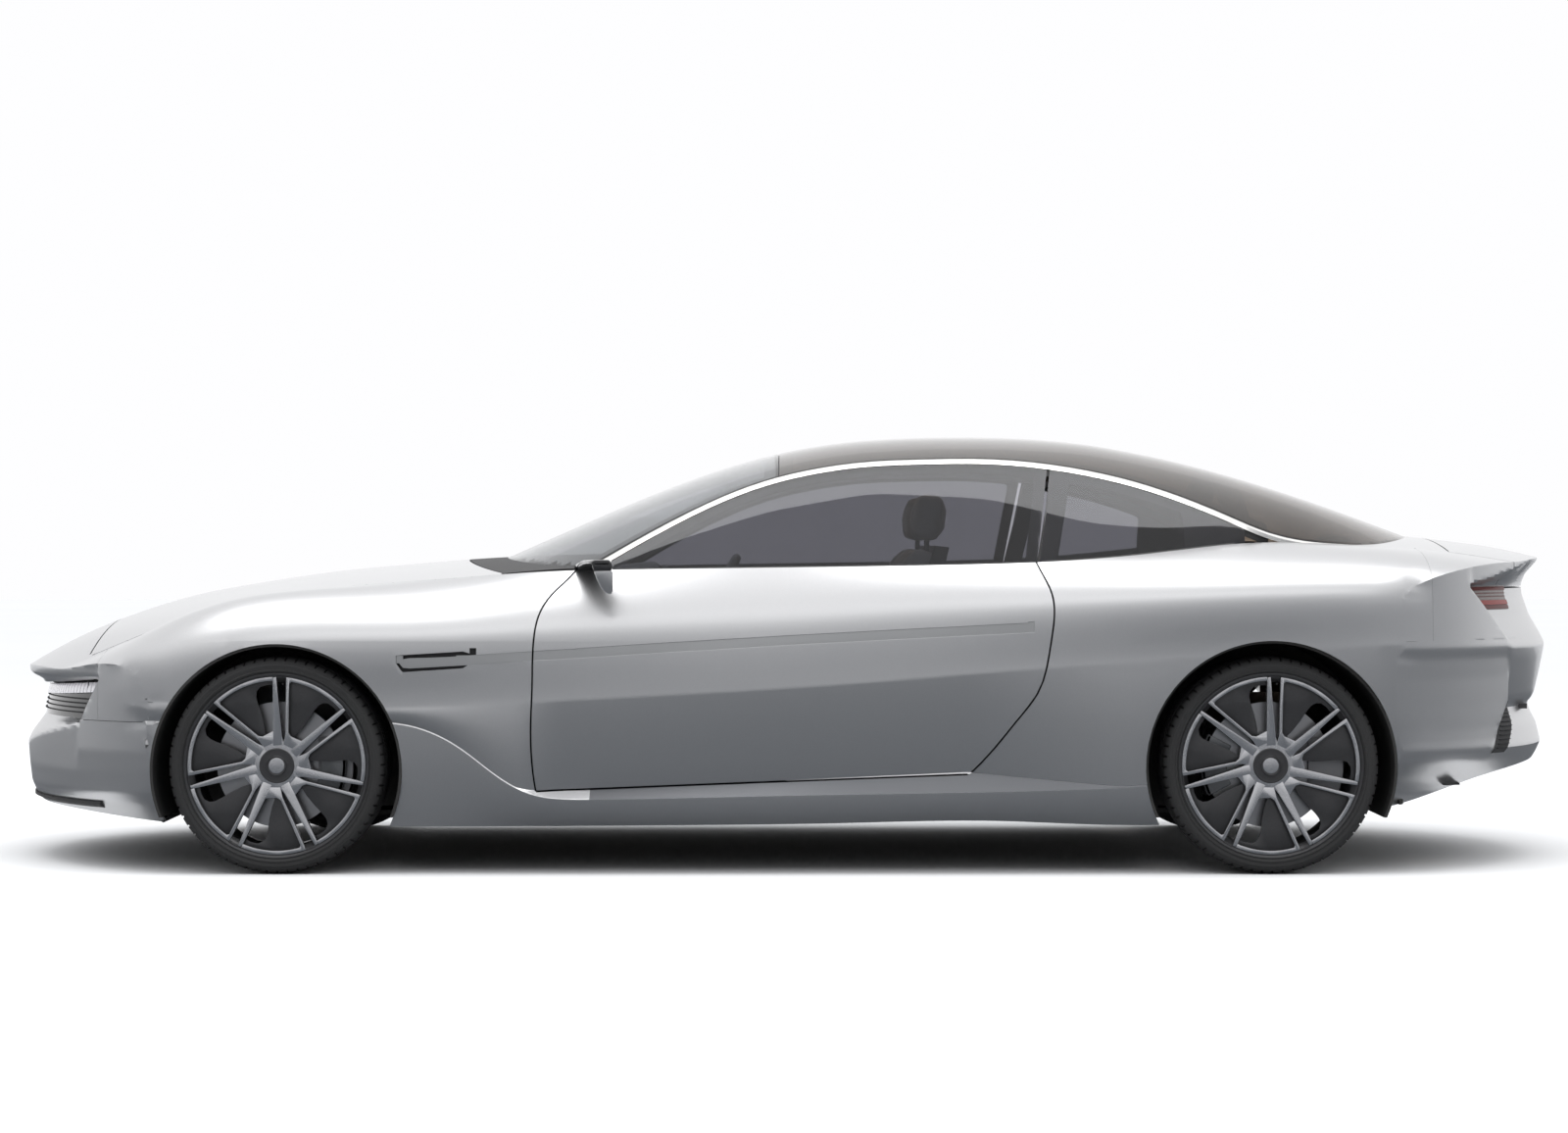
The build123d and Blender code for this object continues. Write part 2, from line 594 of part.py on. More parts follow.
front_arch = wheel_drum(FRONT_AXLE, FRONT_ARCH_Z, ARCH_RADIUS, -BIG, 0)
rear_arch = wheel_drum(REAR_AXLE, REAR_ARCH_Z, ARCH_RADIUS, -BIG, 0)
door_hole = side_prism(DOOR_RUNS, SHUT_GAP / 2, 500, BIG)
door_shape = side_prism(DOOR_RUNS, -SHUT_GAP / 2, 500, BIG)


def bonnet_plan(grow):
    """The bonnet's outline from above: straight in front, along the belt line, an arc at the cowl."""
    xs = (BONNET_FRONT, -2060, -1950, -1800, -1600, -1400, -1200, -1000, -860)
    left = [(along(x), -(wide(BELT_Y(x)) - SHUT_GAP / 2 + grow)) for x in xs]
    left[0] = (left[0][0] - grow, left[0][1])
    left[-1] = (left[-1][0] + grow, left[-1][1])
    right = [(x, -y) for x, y in reversed(left)]
    cowl = (along(-1035) + grow, 0.0)
    edges = [Spline(*left), ThreePointArc(left[-1], cowl, right[0]), Spline(*right), Line(right[-1], left[0])]
    return extrude(make_face(edges), amount=BIG)


bonnet_shape = bonnet_plan(-SHUT_GAP / 2)
bonnet_hole = bonnet_plan(SHUT_GAP / 2)
lid_shape = block(along(LID_FRONT) + SHUT_GAP / 2, BIG, -wide(LID_HALF), wide(LID_HALF), tall(LID_LOW), BIG)
lid_hole = block(along(LID_FRONT) - SHUT_GAP / 2, BIG, -wide(LID_HALF) - SHUT_GAP, wide(LID_HALF) + SHUT_GAP,
                 tall(LID_LOW) - SHUT_GAP, BIG)


def make_nose():
    shell = nose_solid(0.0, 0.0) - nose_solid(PANEL, NOSE_DEPTH)
    mouth = sector(NOSE_CENTRE, -1, NOSE_ROUND - NOSE_DEPTH - 20, NOSE_ROUND + 50, MOUTH_ANGLE,
                   tall(BUMPER_TOP) - SEAT_GAP, tall(MOUTH_TOP))
    shell -= mouth
    seam = tall(BUMPER_TOP)
    bumper = shell & block(-BIG, FLOOR_FRONT - SEAT_GAP, -BIG, BIG, 0, seam - SEAT_GAP)
    bumper -= front_arch
    bumper -= mirrored(front_arch)
    bumper -= Pos(TOW_X, TOW_Y, TOW_Z) * (Rot(0, 90, 0) * Cylinder(TOW_RADIUS, 2 * TOW_DEPTH))
    nose = shell & block(-BIG, along(FENDER_NOSE) - SEAT_GAP, -BIG, BIG, seam, BIG)
    nose -= bonnet_hole
    nose -= across(BONNET_HINGE_X, BONNET_HINGE_Z, BONNET_SWEEP + SHUT_GAP)
    foot = BONNET_HINGE_Z - BONNET_SWEEP - 10.0
    arm = block(-BIG, BONNET_HINGE_X + HINGE_BARREL, -HINGE_WIDE / 2, HINGE_WIDE / 2, foot - PANEL, foot)
    for side in (-1, 1):
        y = side * BONNET_HINGE_Y
        fixed, _ = cross_hinge(BONNET_HINGE_X, y, BONNET_HINGE_Z, foot - PANEL / 2)
        nose += fixed
        nose += (Pos(0, y, 0) * arm) & turned(NOSE_CENTRE, NOSE_ROUND, NOSE_PROFILE, PANEL / 2)
    corner = shell & block(along(FENDER_NOSE), along(CORNER_END), -BIG, 0, seam, BIG)
    return bumper, nose, corner


def make_fender(corner):
    """The front wing: its corner turns with the nose, the rest follows the body side."""
    fender = side_skin(CORNER_END, -600, PANEL) + corner
    fender -= block(-BIG, along(-1545), -BIG, 0, 0, tall(BUMPER_TOP))
    fender -= block(along(-770), BIG, -BIG, 0, 0, tall(320))
    fender -= front_arch
    fender -= door_hole
    fender -= bonnet_hole
    fender -= door_sweep(SHUT_GAP)
    return fender


def make_side():
    """Sill, lock pillar and rear quarter, from the door's front edge to the tail."""
    side = side_skin(-800, TAIL_SPLIT, PANEL) - door_hole
    side -= plan_prism([(x, BELT_Y(x)) for x in range(1350, 2051, 100)], 0, BIG)
    side &= block(along(-766), BIG, -BIG, 0, 0, tall(320)) + block(along(540), BIG, -BIG, 0, 0, BIG)
    side -= rear_arch
    side -= block(FLOOR_REAR - 2.0, BIG, -BIG, 0, 0, tall(REAR_BUMPER_TOP))
    floor_z = floor_top(-760, 1060) + SEAT_GAP
    well = REAR_AXLE - WELL_HALF - SEAT_GAP
    sill = side_slab(-800, 1150, PANEL / 2, SILL_INNER_Y)
    sill &= block(FIREWALL_X + SEAT_GAP, well, -BIG, 0, floor_z, SILL_TOP)
    pillar = side_slab(500, 1150, PANEL / 2, DOOR_INNER_Y) & block(along(540), well, -BIG, 0, SILL_TOP - 1, BIG)
    pillar -= door_hole
    pillar -= side_glass(600, 1220, -SEAT_GAP, GLASS + SEAT_GAP)
    pillar -= block(-BIG, along(880), -BIG, 0, tall(905), BIG)
    return side + sill + pillar


def body_mass(start, end, wall):
    """The closed body between two drawn stations, drawn in by wall."""
    return loft([body_section(x, wall) for x in stations(start, end)])


def side_slab(start, end, wall, inner_y):
    """The left side as a slab, from wall inside the skin in to the plane at inner_y."""
    wires = []
    for x in stations(start, end):
        points = body_points(x, wall)
        runs = side_runs(points)
        belt, under = points[6], points[0]
        plane_y = -min(inner_y, abs(belt[1]) - 20.0)
        top = (belt[0], plane_y, belt[2])
        low = (under[0], plane_y, under[2])
        edges = [curve_through(run) for run in runs]
        edges.append(Edge.make_line(Vector(*belt), Vector(*top)))
        edges.append(Edge.make_line(Vector(*top), Vector(*low)))
        edges.append(Edge.make_line(Vector(*low), Vector(*under)))
        wires.append(Wire(edges))
    return loft(wires) & block(along(start), along(end), -BIG, 0, -BIG, BIG)


# Doors -----------------------------------------------------------------------------------------
DOOR_SKIN_Y = wide(948.0)
DOOR_INNER_Y = DOOR_SKIN_Y - DOOR_DEPTH
DOOR_RETURN = 26.0      # inner box inside the skin's outline
DOOR_EDGE_X = along(-775)
HINGE_X = DOOR_EDGE_X + DOOR_HINGE_BACK
HINGE_Y = DOOR_SKIN_Y - DOOR_HINGE_IN
HINGE_HEIGHTS = (tall(480.0), tall(650.0))
HINGE_TALL = 60.0
LUG_TALL = 14.0
FIREWALL_X = along(-690)
FIREWALL_THICK = 20.0
BOX_FRONT = HINGE_X + 32.0
SILL_TOP = tall(238.0)
SILL_INNER_Y = wide(760.0)


def door_sweep(extra):
    """The round space that the door's front edge turns through about its hinge."""
    reach = hypot(DOOR_HINGE_BACK + SHUT_GAP / 2, DOOR_HINGE_IN) + extra
    return Pos(HINGE_X, -HINGE_Y, 600) * Cylinder(reach, 1200)


def make_door():
    skin = side_skin(-850, 900, PANEL) & door_shape
    rear = [(x - DOOR_RETURN, z + (DOOR_RETURN if z < 480 else 0)) for x, z in DOOR_REAR]
    front = [(x + DOOR_RETURN, z) for x, z in DOOR_FRONT[:-1]]
    front.append((DOOR_FRONT[-1][0] + DOOR_RETURN, DOOR_FRONT[-1][1] + DOOR_RETURN))
    box_shape = side_prism((front, rear), 0, DOOR_INNER_Y - 1, BIG)
    box = side_slab(-850, 900, PANEL / 2, DOOR_INNER_Y) & box_shape
    box &= block(BOX_FRONT, BIG, -BIG, 0, 0, BIG)
    door = skin + box
    door -= side_glass(-720, 940, -SEAT_GAP, GLASS + SEAT_GAP)
    for z in HINGE_HEIGHTS:
        pocket = Pos(HINGE_X, -HINGE_Y, z) * Cylinder(HINGE_BARREL + 6.0, HINGE_TALL + 14.0)
        door -= pocket
        leaf = block(HINGE_X, BOX_FRONT + 10.0, -HINGE_Y - HINGE_BARREL * 0.6, -HINGE_Y + HINGE_BARREL * 0.6,
                     z - HINGE_TALL / 2 + LUG_TALL + SEAT_GAP, z + HINGE_TALL / 2 - LUG_TALL - SEAT_GAP)
        barrel = Pos(HINGE_X, -HINGE_Y, z) * Cylinder(HINGE_BARREL, HINGE_TALL - 2 * LUG_TALL - 2 * SEAT_GAP)
        door += leaf + barrel
        door -= Pos(HINGE_X, -HINGE_Y, z) * Cylinder(HINGE_PIN + RUNNING_FIT, HINGE_TALL + 20)
    return door


# Mirror on the door's front corner -----------------------------------------------------------------
MIRROR_X = along(-560)
MIRROR_Z = tall(880.0)


def make_mirror(door):
    arm = block(MIRROR_X - 22, MIRROR_X + 22, -wide(985), -wide(850), MIRROR_Z - 8, MIRROR_Z + 8)
    fin = block(MIRROR_X - 34, MIRROR_X + 36, -wide(1000), -wide(960), MIRROR_Z - 34, MIRROR_Z + 38)
    mirror_part = fillet((arm + fin).edges().filter_by(Axis.Y), 7.0)
    return mirror_part - side_slab(-800, -250, 0.0, DOOR_INNER_Y)


# Glass ---------------------------------------------------------------------------------------------
SCREEN_TOP = -30.0
PILLAR_LOW = 742.0
PILLAR_HIGH = 806.0
PILLAR_GAP = 9.0
PILLAR_TOP = 1212.0
DOOR_GLASS_FRONT = -540.0
QUARTER_TIP = 1405.0
top_glass = plan_prism(rail_plan(-1080, 2090, TRIM_WIDTH), 500, 2 * BIG)


door_window = side_prism(window_runs(DOOR_GLASS_FRONT, DOOR_GLASS_FRONT, PILLAR_LOW, PILLAR_HIGH, TRIM_WIDTH,
                                     GLASS_DROP + 40), 0, 400, BIG)
rear_window = side_prism(window_runs(PILLAR_LOW + PILLAR_GAP, PILLAR_HIGH + PILLAR_GAP, QUARTER_TIP,
                                     QUARTER_TIP, TRIM_WIDTH, GLASS_DROP), 0, 400, BIG)


def make_top_glass():
    crown = crown_glass(-1100, 420, 0.0, GLASS) & top_glass
    screen = crown & block(-BIG, along(SCREEN_TOP) - 1.0, -BIG, BIG, 0, BIG)
    screen = largest(screen - crown_mass(-1100, -560, -SEAT_GAP))
    rear = crown_glass(-340, 2100, 0.0, GLASS) & top_glass
    rear &= block(along(SCREEN_TOP) + 1.0, BIG, -BIG, BIG, 0, BIG)
    rear -= crown_mass(1300, 2250, -SEAT_GAP)
    return screen, rear


def make_side_glass():
    door_glass = side_glass(-720, 940, 0.0, GLASS) & door_window
    quarter = side_glass(600, 1480, 0.0, GLASS) & rear_window
    return door_glass, quarter


def make_roof_frame():
    """Windscreen pillars, roof rails, lock pillars and two headers, as one ring."""
    rail = rail_beam(-600, 1480)
    pillar = side_glass(600, 1080, GLASS + BOND, ROOF_WALL)
    low, high = PILLAR_LOW + PILLAR_GAP, PILLAR_HIGH + PILLAR_GAP
    pillar &= side_prism([[(low, 905), (high, PILLAR_TOP)], [(high + 60, PILLAR_TOP), (low + 60, 905)]],
                         0, 400, BIG)
    left = rail + pillar
    frame = left + mirrored(left)
    for x, half in ((SCREEN_TOP, 45.0), (1390.0, 40.0)):
        header = crown_glass(x - 500, x + 500, GLASS + BOND, ROOF_WALL)
        header &= block(along(x) - half, along(x) + half, -wide(RAIL_Y(x)) + 30, wide(RAIL_Y(x)) - 30, 0, BIG)
        frame += header
    return frame


# Lids ----------------------------------------------------------------------------------------------
def cross_hinge(x, y, z, foot):
    """A hinge with its pin along Y: the fixed lugs and pin, and the moving barrel."""
    pin = Rot(90, 0, 0) * Cylinder(HINGE_PIN, HINGE_WIDE)
    lug = Rot(90, 0, 0) * Cylinder(HINGE_BARREL, LUG_TALL)
    side = HINGE_WIDE / 2 - LUG_TALL / 2
    leg = block(-HINGE_BARREL, HINGE_BARREL, -LUG_TALL / 2, LUG_TALL / 2, foot - z, 0)
    fixed = pin
    for k in (-1, 1):
        fixed += Pos(0, k * side, 0) * (lug + leg)
    inner = HINGE_WIDE - 2 * LUG_TALL - 2 * SEAT_GAP
    barrel = Rot(90, 0, 0) * Cylinder(HINGE_BARREL, inner)
    return Pos(x, y, z) * fixed, Pos(x, y, z) * barrel


def lid_stalk(x, y, z, top, reach):
    """The moving leaf of a lid's hinge, from its barrel up into the lid."""
    inner = HINGE_WIDE / 2 - LUG_TALL - SEAT_GAP
    return block(x - HINGE_BARREL * 0.6, x + reach, y - inner, y + inner, z, top)


def make_bonnet():
    bonnet = crown_skin(-2200, -800, PANEL) & bonnet_shape
    under = crown_mass(-2200, -1950, PANEL / 2)
    bore = across(BONNET_HINGE_X, BONNET_HINGE_Z, HINGE_PIN + RUNNING_FIT)
    for side in (-1, 1):
        y = side * BONNET_HINGE_Y
        _, barrel = cross_hinge(BONNET_HINGE_X, y, BONNET_HINGE_Z, 0)
        bonnet += barrel
        bonnet += lid_stalk(BONNET_HINGE_X, y, BONNET_HINGE_Z, BONNET_HINGE_Z + 150, 40) & under
    return bonnet - bore


def make_lid(tail_shell):
    lid = tail_shell & lid_shape
    under = crown_mass(1900, 2400, PANEL / 2)
    bore = across(LID_HINGE_X, LID_HINGE_Z, HINGE_PIN + RUNNING_FIT)
    for side in (-1, 1):
        y = side * LID_HINGE_Y
        _, barrel = cross_hinge(LID_HINGE_X, y, LID_HINGE_Z, 0)
        lid += barrel
        lid += lid_stalk(LID_HINGE_X, y, LID_HINGE_Z, LID_HINGE_Z + 120, 40) & under
    return lid - bore


# Deck, rear bumper, floor, wheel tubs -----------------------------------------------------------------
HINGE_BEAM_Z = LID_HINGE_Z - LID_SWEEP - 30.0


def make_deck():
    """The fixed panel between the rear glass and the boot lid, with its cross member."""
    deck = crown_skin(1455, 2060, PANEL) - lid_hole
    deck &= plan_prism([(x, BELT_Y(x) - SEAT_GAP) for x in range(1350, 2151, 100)], 0, BIG)
    split = along(TAIL_SPLIT)
    deck &= (block(along(1480) + SEAT_GAP, split, -wide(640), wide(640), 0, BIG)
             + block(split - 1.0, BIG, -wide(LID_HALF) - SHUT_GAP + SEAT_GAP,
                     wide(LID_HALF) + SHUT_GAP - SEAT_GAP, 0, BIG))
    deck -= across(LID_HINGE_X, LID_HINGE_Z, LID_SWEEP + SHUT_GAP)
    hollow = [(x, RAIL_Y(x) - 75) for x in (1300, 1400, 1500, 1600, 1700, 1800)]
    deck -= plan_prism(hollow, 0, BIG) & block(-BIG, along(1780), -BIG, BIG, 0, BIG)
    beam = block(LID_HINGE_X - LID_SWEEP - 24, LID_HINGE_X + 40, -wide(500), wide(500), HINGE_BEAM_Z,
                 HINGE_BEAM_Z + 20)
    riser = block(LID_HINGE_X - LID_SWEEP - 24, LID_HINGE_X - LID_SWEEP - 8, -wide(500), wide(500), HINGE_BEAM_Z,
                  tall(CENTRE_Z(2000)) + 40) & crown_mass(1900, 2120, PANEL / 2)
    deck += beam + riser
    for side in (-1, 1):
        fixed, _ = cross_hinge(LID_HINGE_X, side * LID_HINGE_Y, LID_HINGE_Z, HINGE_BEAM_Z + 15)
        deck += fixed
    return deck


def make_tail(tail_shell):
    seam = tall(REAR_BUMPER_TOP)
    quarter_tail = tail_shell & block(along(TAIL_SPLIT) + SEAT_GAP, BIG, -BIG, BIG, seam, BIG)
    quarter_tail -= block(-BIG, BIG, -wide(LID_HALF) - SHUT_GAP, wide(LID_HALF) + SHUT_GAP,
                          tall(LID_LOW) - SHUT_GAP, BIG)
    bumper = tail_shell & block(FLOOR_REAR, BIG, -BIG, BIG, -BIG, seam - SEAT_GAP)
    bumper -= rear_arch
    bumper -= mirrored(rear_arch)
    return quarter_tail, bumper


JACK_X = (-950.0, 930.0)
JACK_Y = wide(700.0)
JACK_TALL = 6.0


def make_floor():
    wires = []
    for x in range(-2000, 1901, 150):
        y = wide(UNDER_Y(x)) - PANEL - SEAT_GAP
        z = tall(UNDER_Z(x))
        wires.append(polygon_wire([(along(x), -y, z), (along(x), y, z), (along(x), y, z + PANEL),
                                   (along(x), -y, z + PANEL)]))
    floor = loft(wires) & block(FLOOR_FRONT, FLOOR_REAR - SEAT_GAP, -BIG, BIG, 0, BIG)
    for axle in (FRONT_AXLE, REAR_AXLE):
        for side in (-1, 1):
            y = side * (WHEEL_Y + TYRE_WIDTH / 2)
            floor -= block(axle - WELL_HALF, axle + WELL_HALF, y, side * (abs(y) - TUB_DEPTH - 100), 0, 1000)
            floor -= block(axle - WELL_HALF, axle + WELL_HALF, side * 600, side * 1200, 0, 1000)
    for x in JACK_X:
        z = tall(UNDER_Z(x))
        for side in (-1, 1):
            y = side * JACK_Y
            floor += block(along(x) - 40, along(x) + 40, y - 30, y + 30, z - JACK_TALL, z + PANEL / 2)
    return floor


WELL_HALF = ARCH_RADIUS + 14.0
TUB_RADIUS = ARCH_RADIUS - SEAT_GAP
TUB_INNER_Y = WHEEL_Y + TYRE_WIDTH / 2 - TUB_DEPTH - 100
TUB_OUTER_Y = wide(930.0)
TUB_LOW = tall(172.0)


def make_tub(axle, arch_z):
    """A round wheel housing with its inner wall, open to the arch and below."""
    tub = wheel_drum(axle, arch_z, TUB_RADIUS, -TUB_OUTER_Y, -TUB_INNER_Y)
    tub -= wheel_drum(axle, arch_z, TUB_RADIUS - TUB_WALL, -TUB_OUTER_Y - 1, -TUB_INNER_Y - TUB_WALL)
    tub -= block(-BIG, BIG, -BIG, 0, -BIG, TUB_LOW)
    tub -= block(axle - 150, axle + 150, -TUB_INNER_Y - 40, -TUB_INNER_Y + 10, 0, AXLE_Z + 230)
    return tub


def make_firewall():
    plate = block(FIREWALL_X - FIREWALL_THICK, FIREWALL_X, -wide(775), wide(775),
                  tall(UNDER_Z(-690)) + PANEL + SEAT_GAP, tall(960))
    plate &= body_mass(-880, -500, PANEL / 2)
    cowl = crown_skin(-1150, -560, PANEL) - bonnet_hole
    cowl &= block(along(-1040), along(-600), -wide(739), wide(739), 0, BIG)
    wall = plate + cowl
    for side in (-1, 1):
        post = block(FIREWALL_X - 78, FIREWALL_X - FIREWALL_THICK + 5, side * wide(690), side * wide(772),
                     tall(UNDER_Z(-690)) + PANEL + SEAT_GAP, tall(800))
        wall += post
        for z in HINGE_HEIGHTS:
            wall += Pos(HINGE_X, side * HINGE_Y, z) * Cylinder(HINGE_PIN, HINGE_TALL)
            for k in (-1, 1):
                lug_z = z + k * (HINGE_TALL - LUG_TALL) / 2
                lug = Cylinder(HINGE_BARREL, LUG_TALL)
                arm = block(-HINGE_BARREL, HINGE_BARREL, 0, -side * (HINGE_Y - wide(740)), -LUG_TALL / 2,
                            LUG_TALL / 2)
                wall += Pos(HINGE_X, side * HINGE_Y, lug_z) * (lug + arm)
    return wall


# Cabin ---------------------------------------------------------------------------------------------
SEAT_Y = wide(385.0)
SEAT_WIDE = 500.0


def floor_top(start, end):
    """The floor's highest level between two drawn stations."""
    return tall(max(UNDER_Z(x) for x in range(start, end + 1, 20))) + PANEL


def seat(width, back_foot_x, back_lean, cushion_front, cushion_z, back_top, thickness, floor_z):
    """A seat from the side, extruded across the car: cushion, leaning back and a base rail."""
    lean = back_lean
    profile = Polyline(
        (cushion_front, cushion_z - 40), (cushion_front + 30, cushion_z), (back_foot_x, cushion_z - 30),
        (back_foot_x + lean, back_top), (back_foot_x + lean + thickness * 0.8, back_top),
        (back_foot_x + thickness + 30, cushion_z - 130), (cushion_front + 20, cushion_z - 130), close=True)
    body = extrude(Plane.XZ * make_face(profile), amount=width / 2, both=True)
    body = fillet(body.edges().filter_by(Axis.Y), 18.0)
    base = block(cushion_front + 60, back_foot_x + 40, -width / 2 + 50, width / 2 - 50, floor_z + SEAT_GAP,
                 cushion_z - 120)
    return body + base


def make_front_seats():
    one = seat(SEAT_WIDE, along(170), 250.0, along(-330), tall(430), tall(1010), 110.0, floor_top(-280, 220))
    one += block(along(385), along(500), -150, 150, tall(990), tall(1160))
    return (Pos(0, -SEAT_Y, 0) * one) + (Pos(0, SEAT_Y, 0) * one)


def make_rear_seat():
    floor_z = floor_top(620, 920)
    return seat(2 * wide(560), along(880), 170.0, along(560), tall(450), tall(900), 110.0, floor_z)


BULKHEAD_X = along(1150)
BULKHEAD_THICK = 16.0
BOOT_FLOOR_Z = AXLE_Z + 150.0
SHELF_Z = tall(880.0)


def make_boot_floor():
    """Bulkhead behind the rear seat, parcel shelf over it, and the boot's floor on two rails."""
    half = TUB_INNER_Y - SEAT_GAP
    back = BULKHEAD_X + BULKHEAD_THICK
    wall = block(BULKHEAD_X, back, -half, half, floor_top(1140, 1180) + SEAT_GAP, SHELF_Z)
    wall += block(BULKHEAD_X, back, -wide(690), wide(690), REAR_ARCH_Z + ARCH_RADIUS + SEAT_GAP, SHELF_Z)
    wall += block(BULKHEAD_X, along(1640), -wide(560), wide(560), SHELF_Z - BULKHEAD_THICK, SHELF_Z)
    wall += block(BULKHEAD_X, along(2330), -half, half, BOOT_FLOOR_Z, BOOT_FLOOR_Z + BULKHEAD_THICK)
    for side in (-1, 1):
        wall += block(along(1700), FLOOR_REAR - SHUT_GAP, side * 300, side * 350,
                      floor_top(1700, 1860) + SEAT_GAP, BOOT_FLOOR_Z + 1)
    return wall


CONSOLE_END = 520


def make_dashboard():
    x0 = FIREWALL_X + SEAT_GAP
    profile = Polyline((x0, tall(600)), (x0, tall(885)), (x0 + 120, tall(900)), (x0 + 290, tall(880)),
                       (x0 + 330, tall(820)), (x0 + 260, tall(640)), close=True)
    dash = extrude(Plane.XZ * make_face(profile), amount=wide(730), both=True)
    console = block(x0, along(CONSOLE_END), -110, 110, floor_top(-700, CONSOLE_END) + SEAT_GAP, tall(470))
    console += block(x0, x0 + 200, -110, 110, tall(300), tall(640))
    return dash + console


def make_steering_wheel():
    ring = Torus(180, 15)
    ring += Cylinder(45, 24) + Box(350, 30, 14) + Box(30, 350, 14)
    ring += Pos(0, 0, -110) * Cylinder(20, 200)
    tilt = Rot(0, -62, 0) * (Rot(0, 180, 0) * ring)
    wheel = Pos(FIREWALL_X + 440, -SEAT_Y, tall(790)) * tilt
    return wheel


# Engine, subframes, knuckles and wheels --------------------------------------------------------------
KING_Y = WHEEL_Y - 17.5
KING_REACH = 130.0
KNUCKLE_WIDE = 34.0
DISC_Y = WHEEL_Y + 28.0
HUB_FACE_Y = WHEEL_Y + 84.0
SPINDLE_END_Y = HUB_FACE_Y + 16.0
ARM_THICK = 26.0
SUBFRAME_TALL = 70.0
PIN_RADIUS = 9.0


def make_engine():
    low = tall(max(UNDER_Z(-1785), UNDER_Z(-1305))) + PANEL + SEAT_GAP + 10 + SUBFRAME_TALL
    return block(along(-1690), along(-1060), -300, 300, low + SEAT_GAP, tall(790))


def make_subframe(axle, driven):
    """Cross member, lower and upper arms out to the ball joints, on both sides."""
    drawn = DRAWN_REAR_AXLE if driven else DRAWN_FRONT_AXLE
    low = floor_top(int(drawn) - 220, int(drawn) + 220) + SEAT_GAP
    frame = block(axle - 200, axle + 200, -wide(395), wide(395), low + 10, low + 10 + SUBFRAME_TALL)
    frame += block(axle - 220, axle + 220, -wide(280), wide(280), low, low + 30)
    for side in (-1, 1):
        for z in (AXLE_Z - KING_REACH, AXLE_Z + KING_REACH):
            arm = block(axle - 45, axle + 45, side * wide(380), side * (KING_Y - 40), -ARM_THICK / 2, ARM_THICK / 2)
            eye = Pos(axle, side * KING_Y, 0) * Cylinder(PIVOT_RADIUS + 8, ARM_THICK)
            link = block(axle - 16, axle + 16, side * (KING_Y - 60), side * KING_Y, -ARM_THICK / 2, ARM_THICK / 2)
            frame += Pos(0, 0, z) * (arm + eye + link)
        frame += block(axle - 45, axle + 45, side * wide(340), side * wide(395), low + 20,
                       AXLE_Z + KING_REACH + ARM_THICK / 2)
    return frame


def make_knuckle(axle, side):
    """Upright between the two ball joints, with the wheel's spindle and the brake caliper."""
    reach = KING_REACH - ARM_THICK / 2 - SEAT_GAP
    post = block(-KNUCKLE_WIDE / 2, KNUCKLE_WIDE / 2, -16, 16, -reach, reach)
    y0 = DISC_Y - DISC_THICKNESS / 2 - 9.0 - KING_Y
    post += block(-70, 70, -16, y0 - 8, -40, 40)
    spindle = Pos(0, (SPINDLE_END_Y - KING_Y) / 2, 0) * (Rot(90, 0, 0) * Cylinder(SPINDLE_RADIUS, SPINDLE_END_Y - KING_Y))
    post += spindle
    for k in (-1, 1):
        post += Pos(0, 0, k * (reach + 20)) * Cylinder(PIN_RADIUS, 2 * (ARM_THICK + 14) / 2 + 20)
    disc_y = DISC_Y - KING_Y
    half = DISC_THICKNESS / 2
    caliper = block(120, 225, disc_y - half - 26, disc_y + half + 20, -85, 85)
    caliper &= Rot(90, 0, 0) * Cylinder(226, 400)
    caliper -= Pos(0, disc_y, 0) * (Rot(90, 0, 0) * Cylinder(DISC_RADIUS + 6, DISC_THICKNESS + 12))
    bracket = block(0, 150, disc_y - half - 26, disc_y - half - 9, -36, 36)
    post += caliper + bracket
    part = Pos(axle, KING_Y, AXLE_Z) * post
    return part if side > 0 else mirrored(part)


def pin_holes(axle):
    """Bores for the knuckle pins in the arms' eyes."""
    holes = Part()
    for side in (-1, 1):
        holes += Pos(axle, side * KING_Y, AXLE_Z) * Cylinder(PIN_RADIUS + RUNNING_FIT, 2 * KING_REACH + 200)
    return holes


def turned_wheel(points, axle, side):
    """A solid turned about the wheel's axis from (radius, offset outwards) points."""
    face = make_face(Polyline(*points, close=True))
    solid = revolve(face, Axis.Y)
    return Pos(axle, side * WHEEL_Y, AXLE_Z) * (solid if side > 0 else mirrored(solid))


BEAD_RADIUS = 266.0
FLANGE = 6.0
BARREL_RADIUS = 250.0
TYRE_SIDE = 13.0


def make_tyre(axle, side):
    h = TYRE_WIDTH / 2
    r = TYRE_RADIUS
    w = RIM_WIDTH / 2 - FLANGE - SEAT_GAP
    bead = BEAD_RADIUS + SEAT_GAP
    lip = RIM_RADIUS + SEAT_GAP
    outside = [(bead, w - 4), (lip, w), (lip, w + FLANGE), (lip + 5, h - 4), (r - 22, h), (r - 7, h - 8),
               (r, h - 24)]
    inside = [(bead, w - 24), (r - 24, h - TYRE_SIDE), (r - 18, 0)]
    ring = outside + [(radius, -y) for radius, y in reversed(outside)]
    ring += [(radius, -y) for radius, y in inside] + list(reversed(inside[:-1]))
    return turned_wheel(ring, axle, side)


def spoke(angle, r0, r1, w0, w1, y0, y1):
    """One spoke, straight from the hub to the rim, turned clockwise from the top by angle."""
    face = make_face(Polyline((-w0, r0), (w0, r0), (w1, r1), (-w1, r1), close=True))
    bar = Pos(0, y1, 0) * extrude(Plane.XZ * face, amount=y1 - y0)
    return Rot(0, angle, 0) * bar


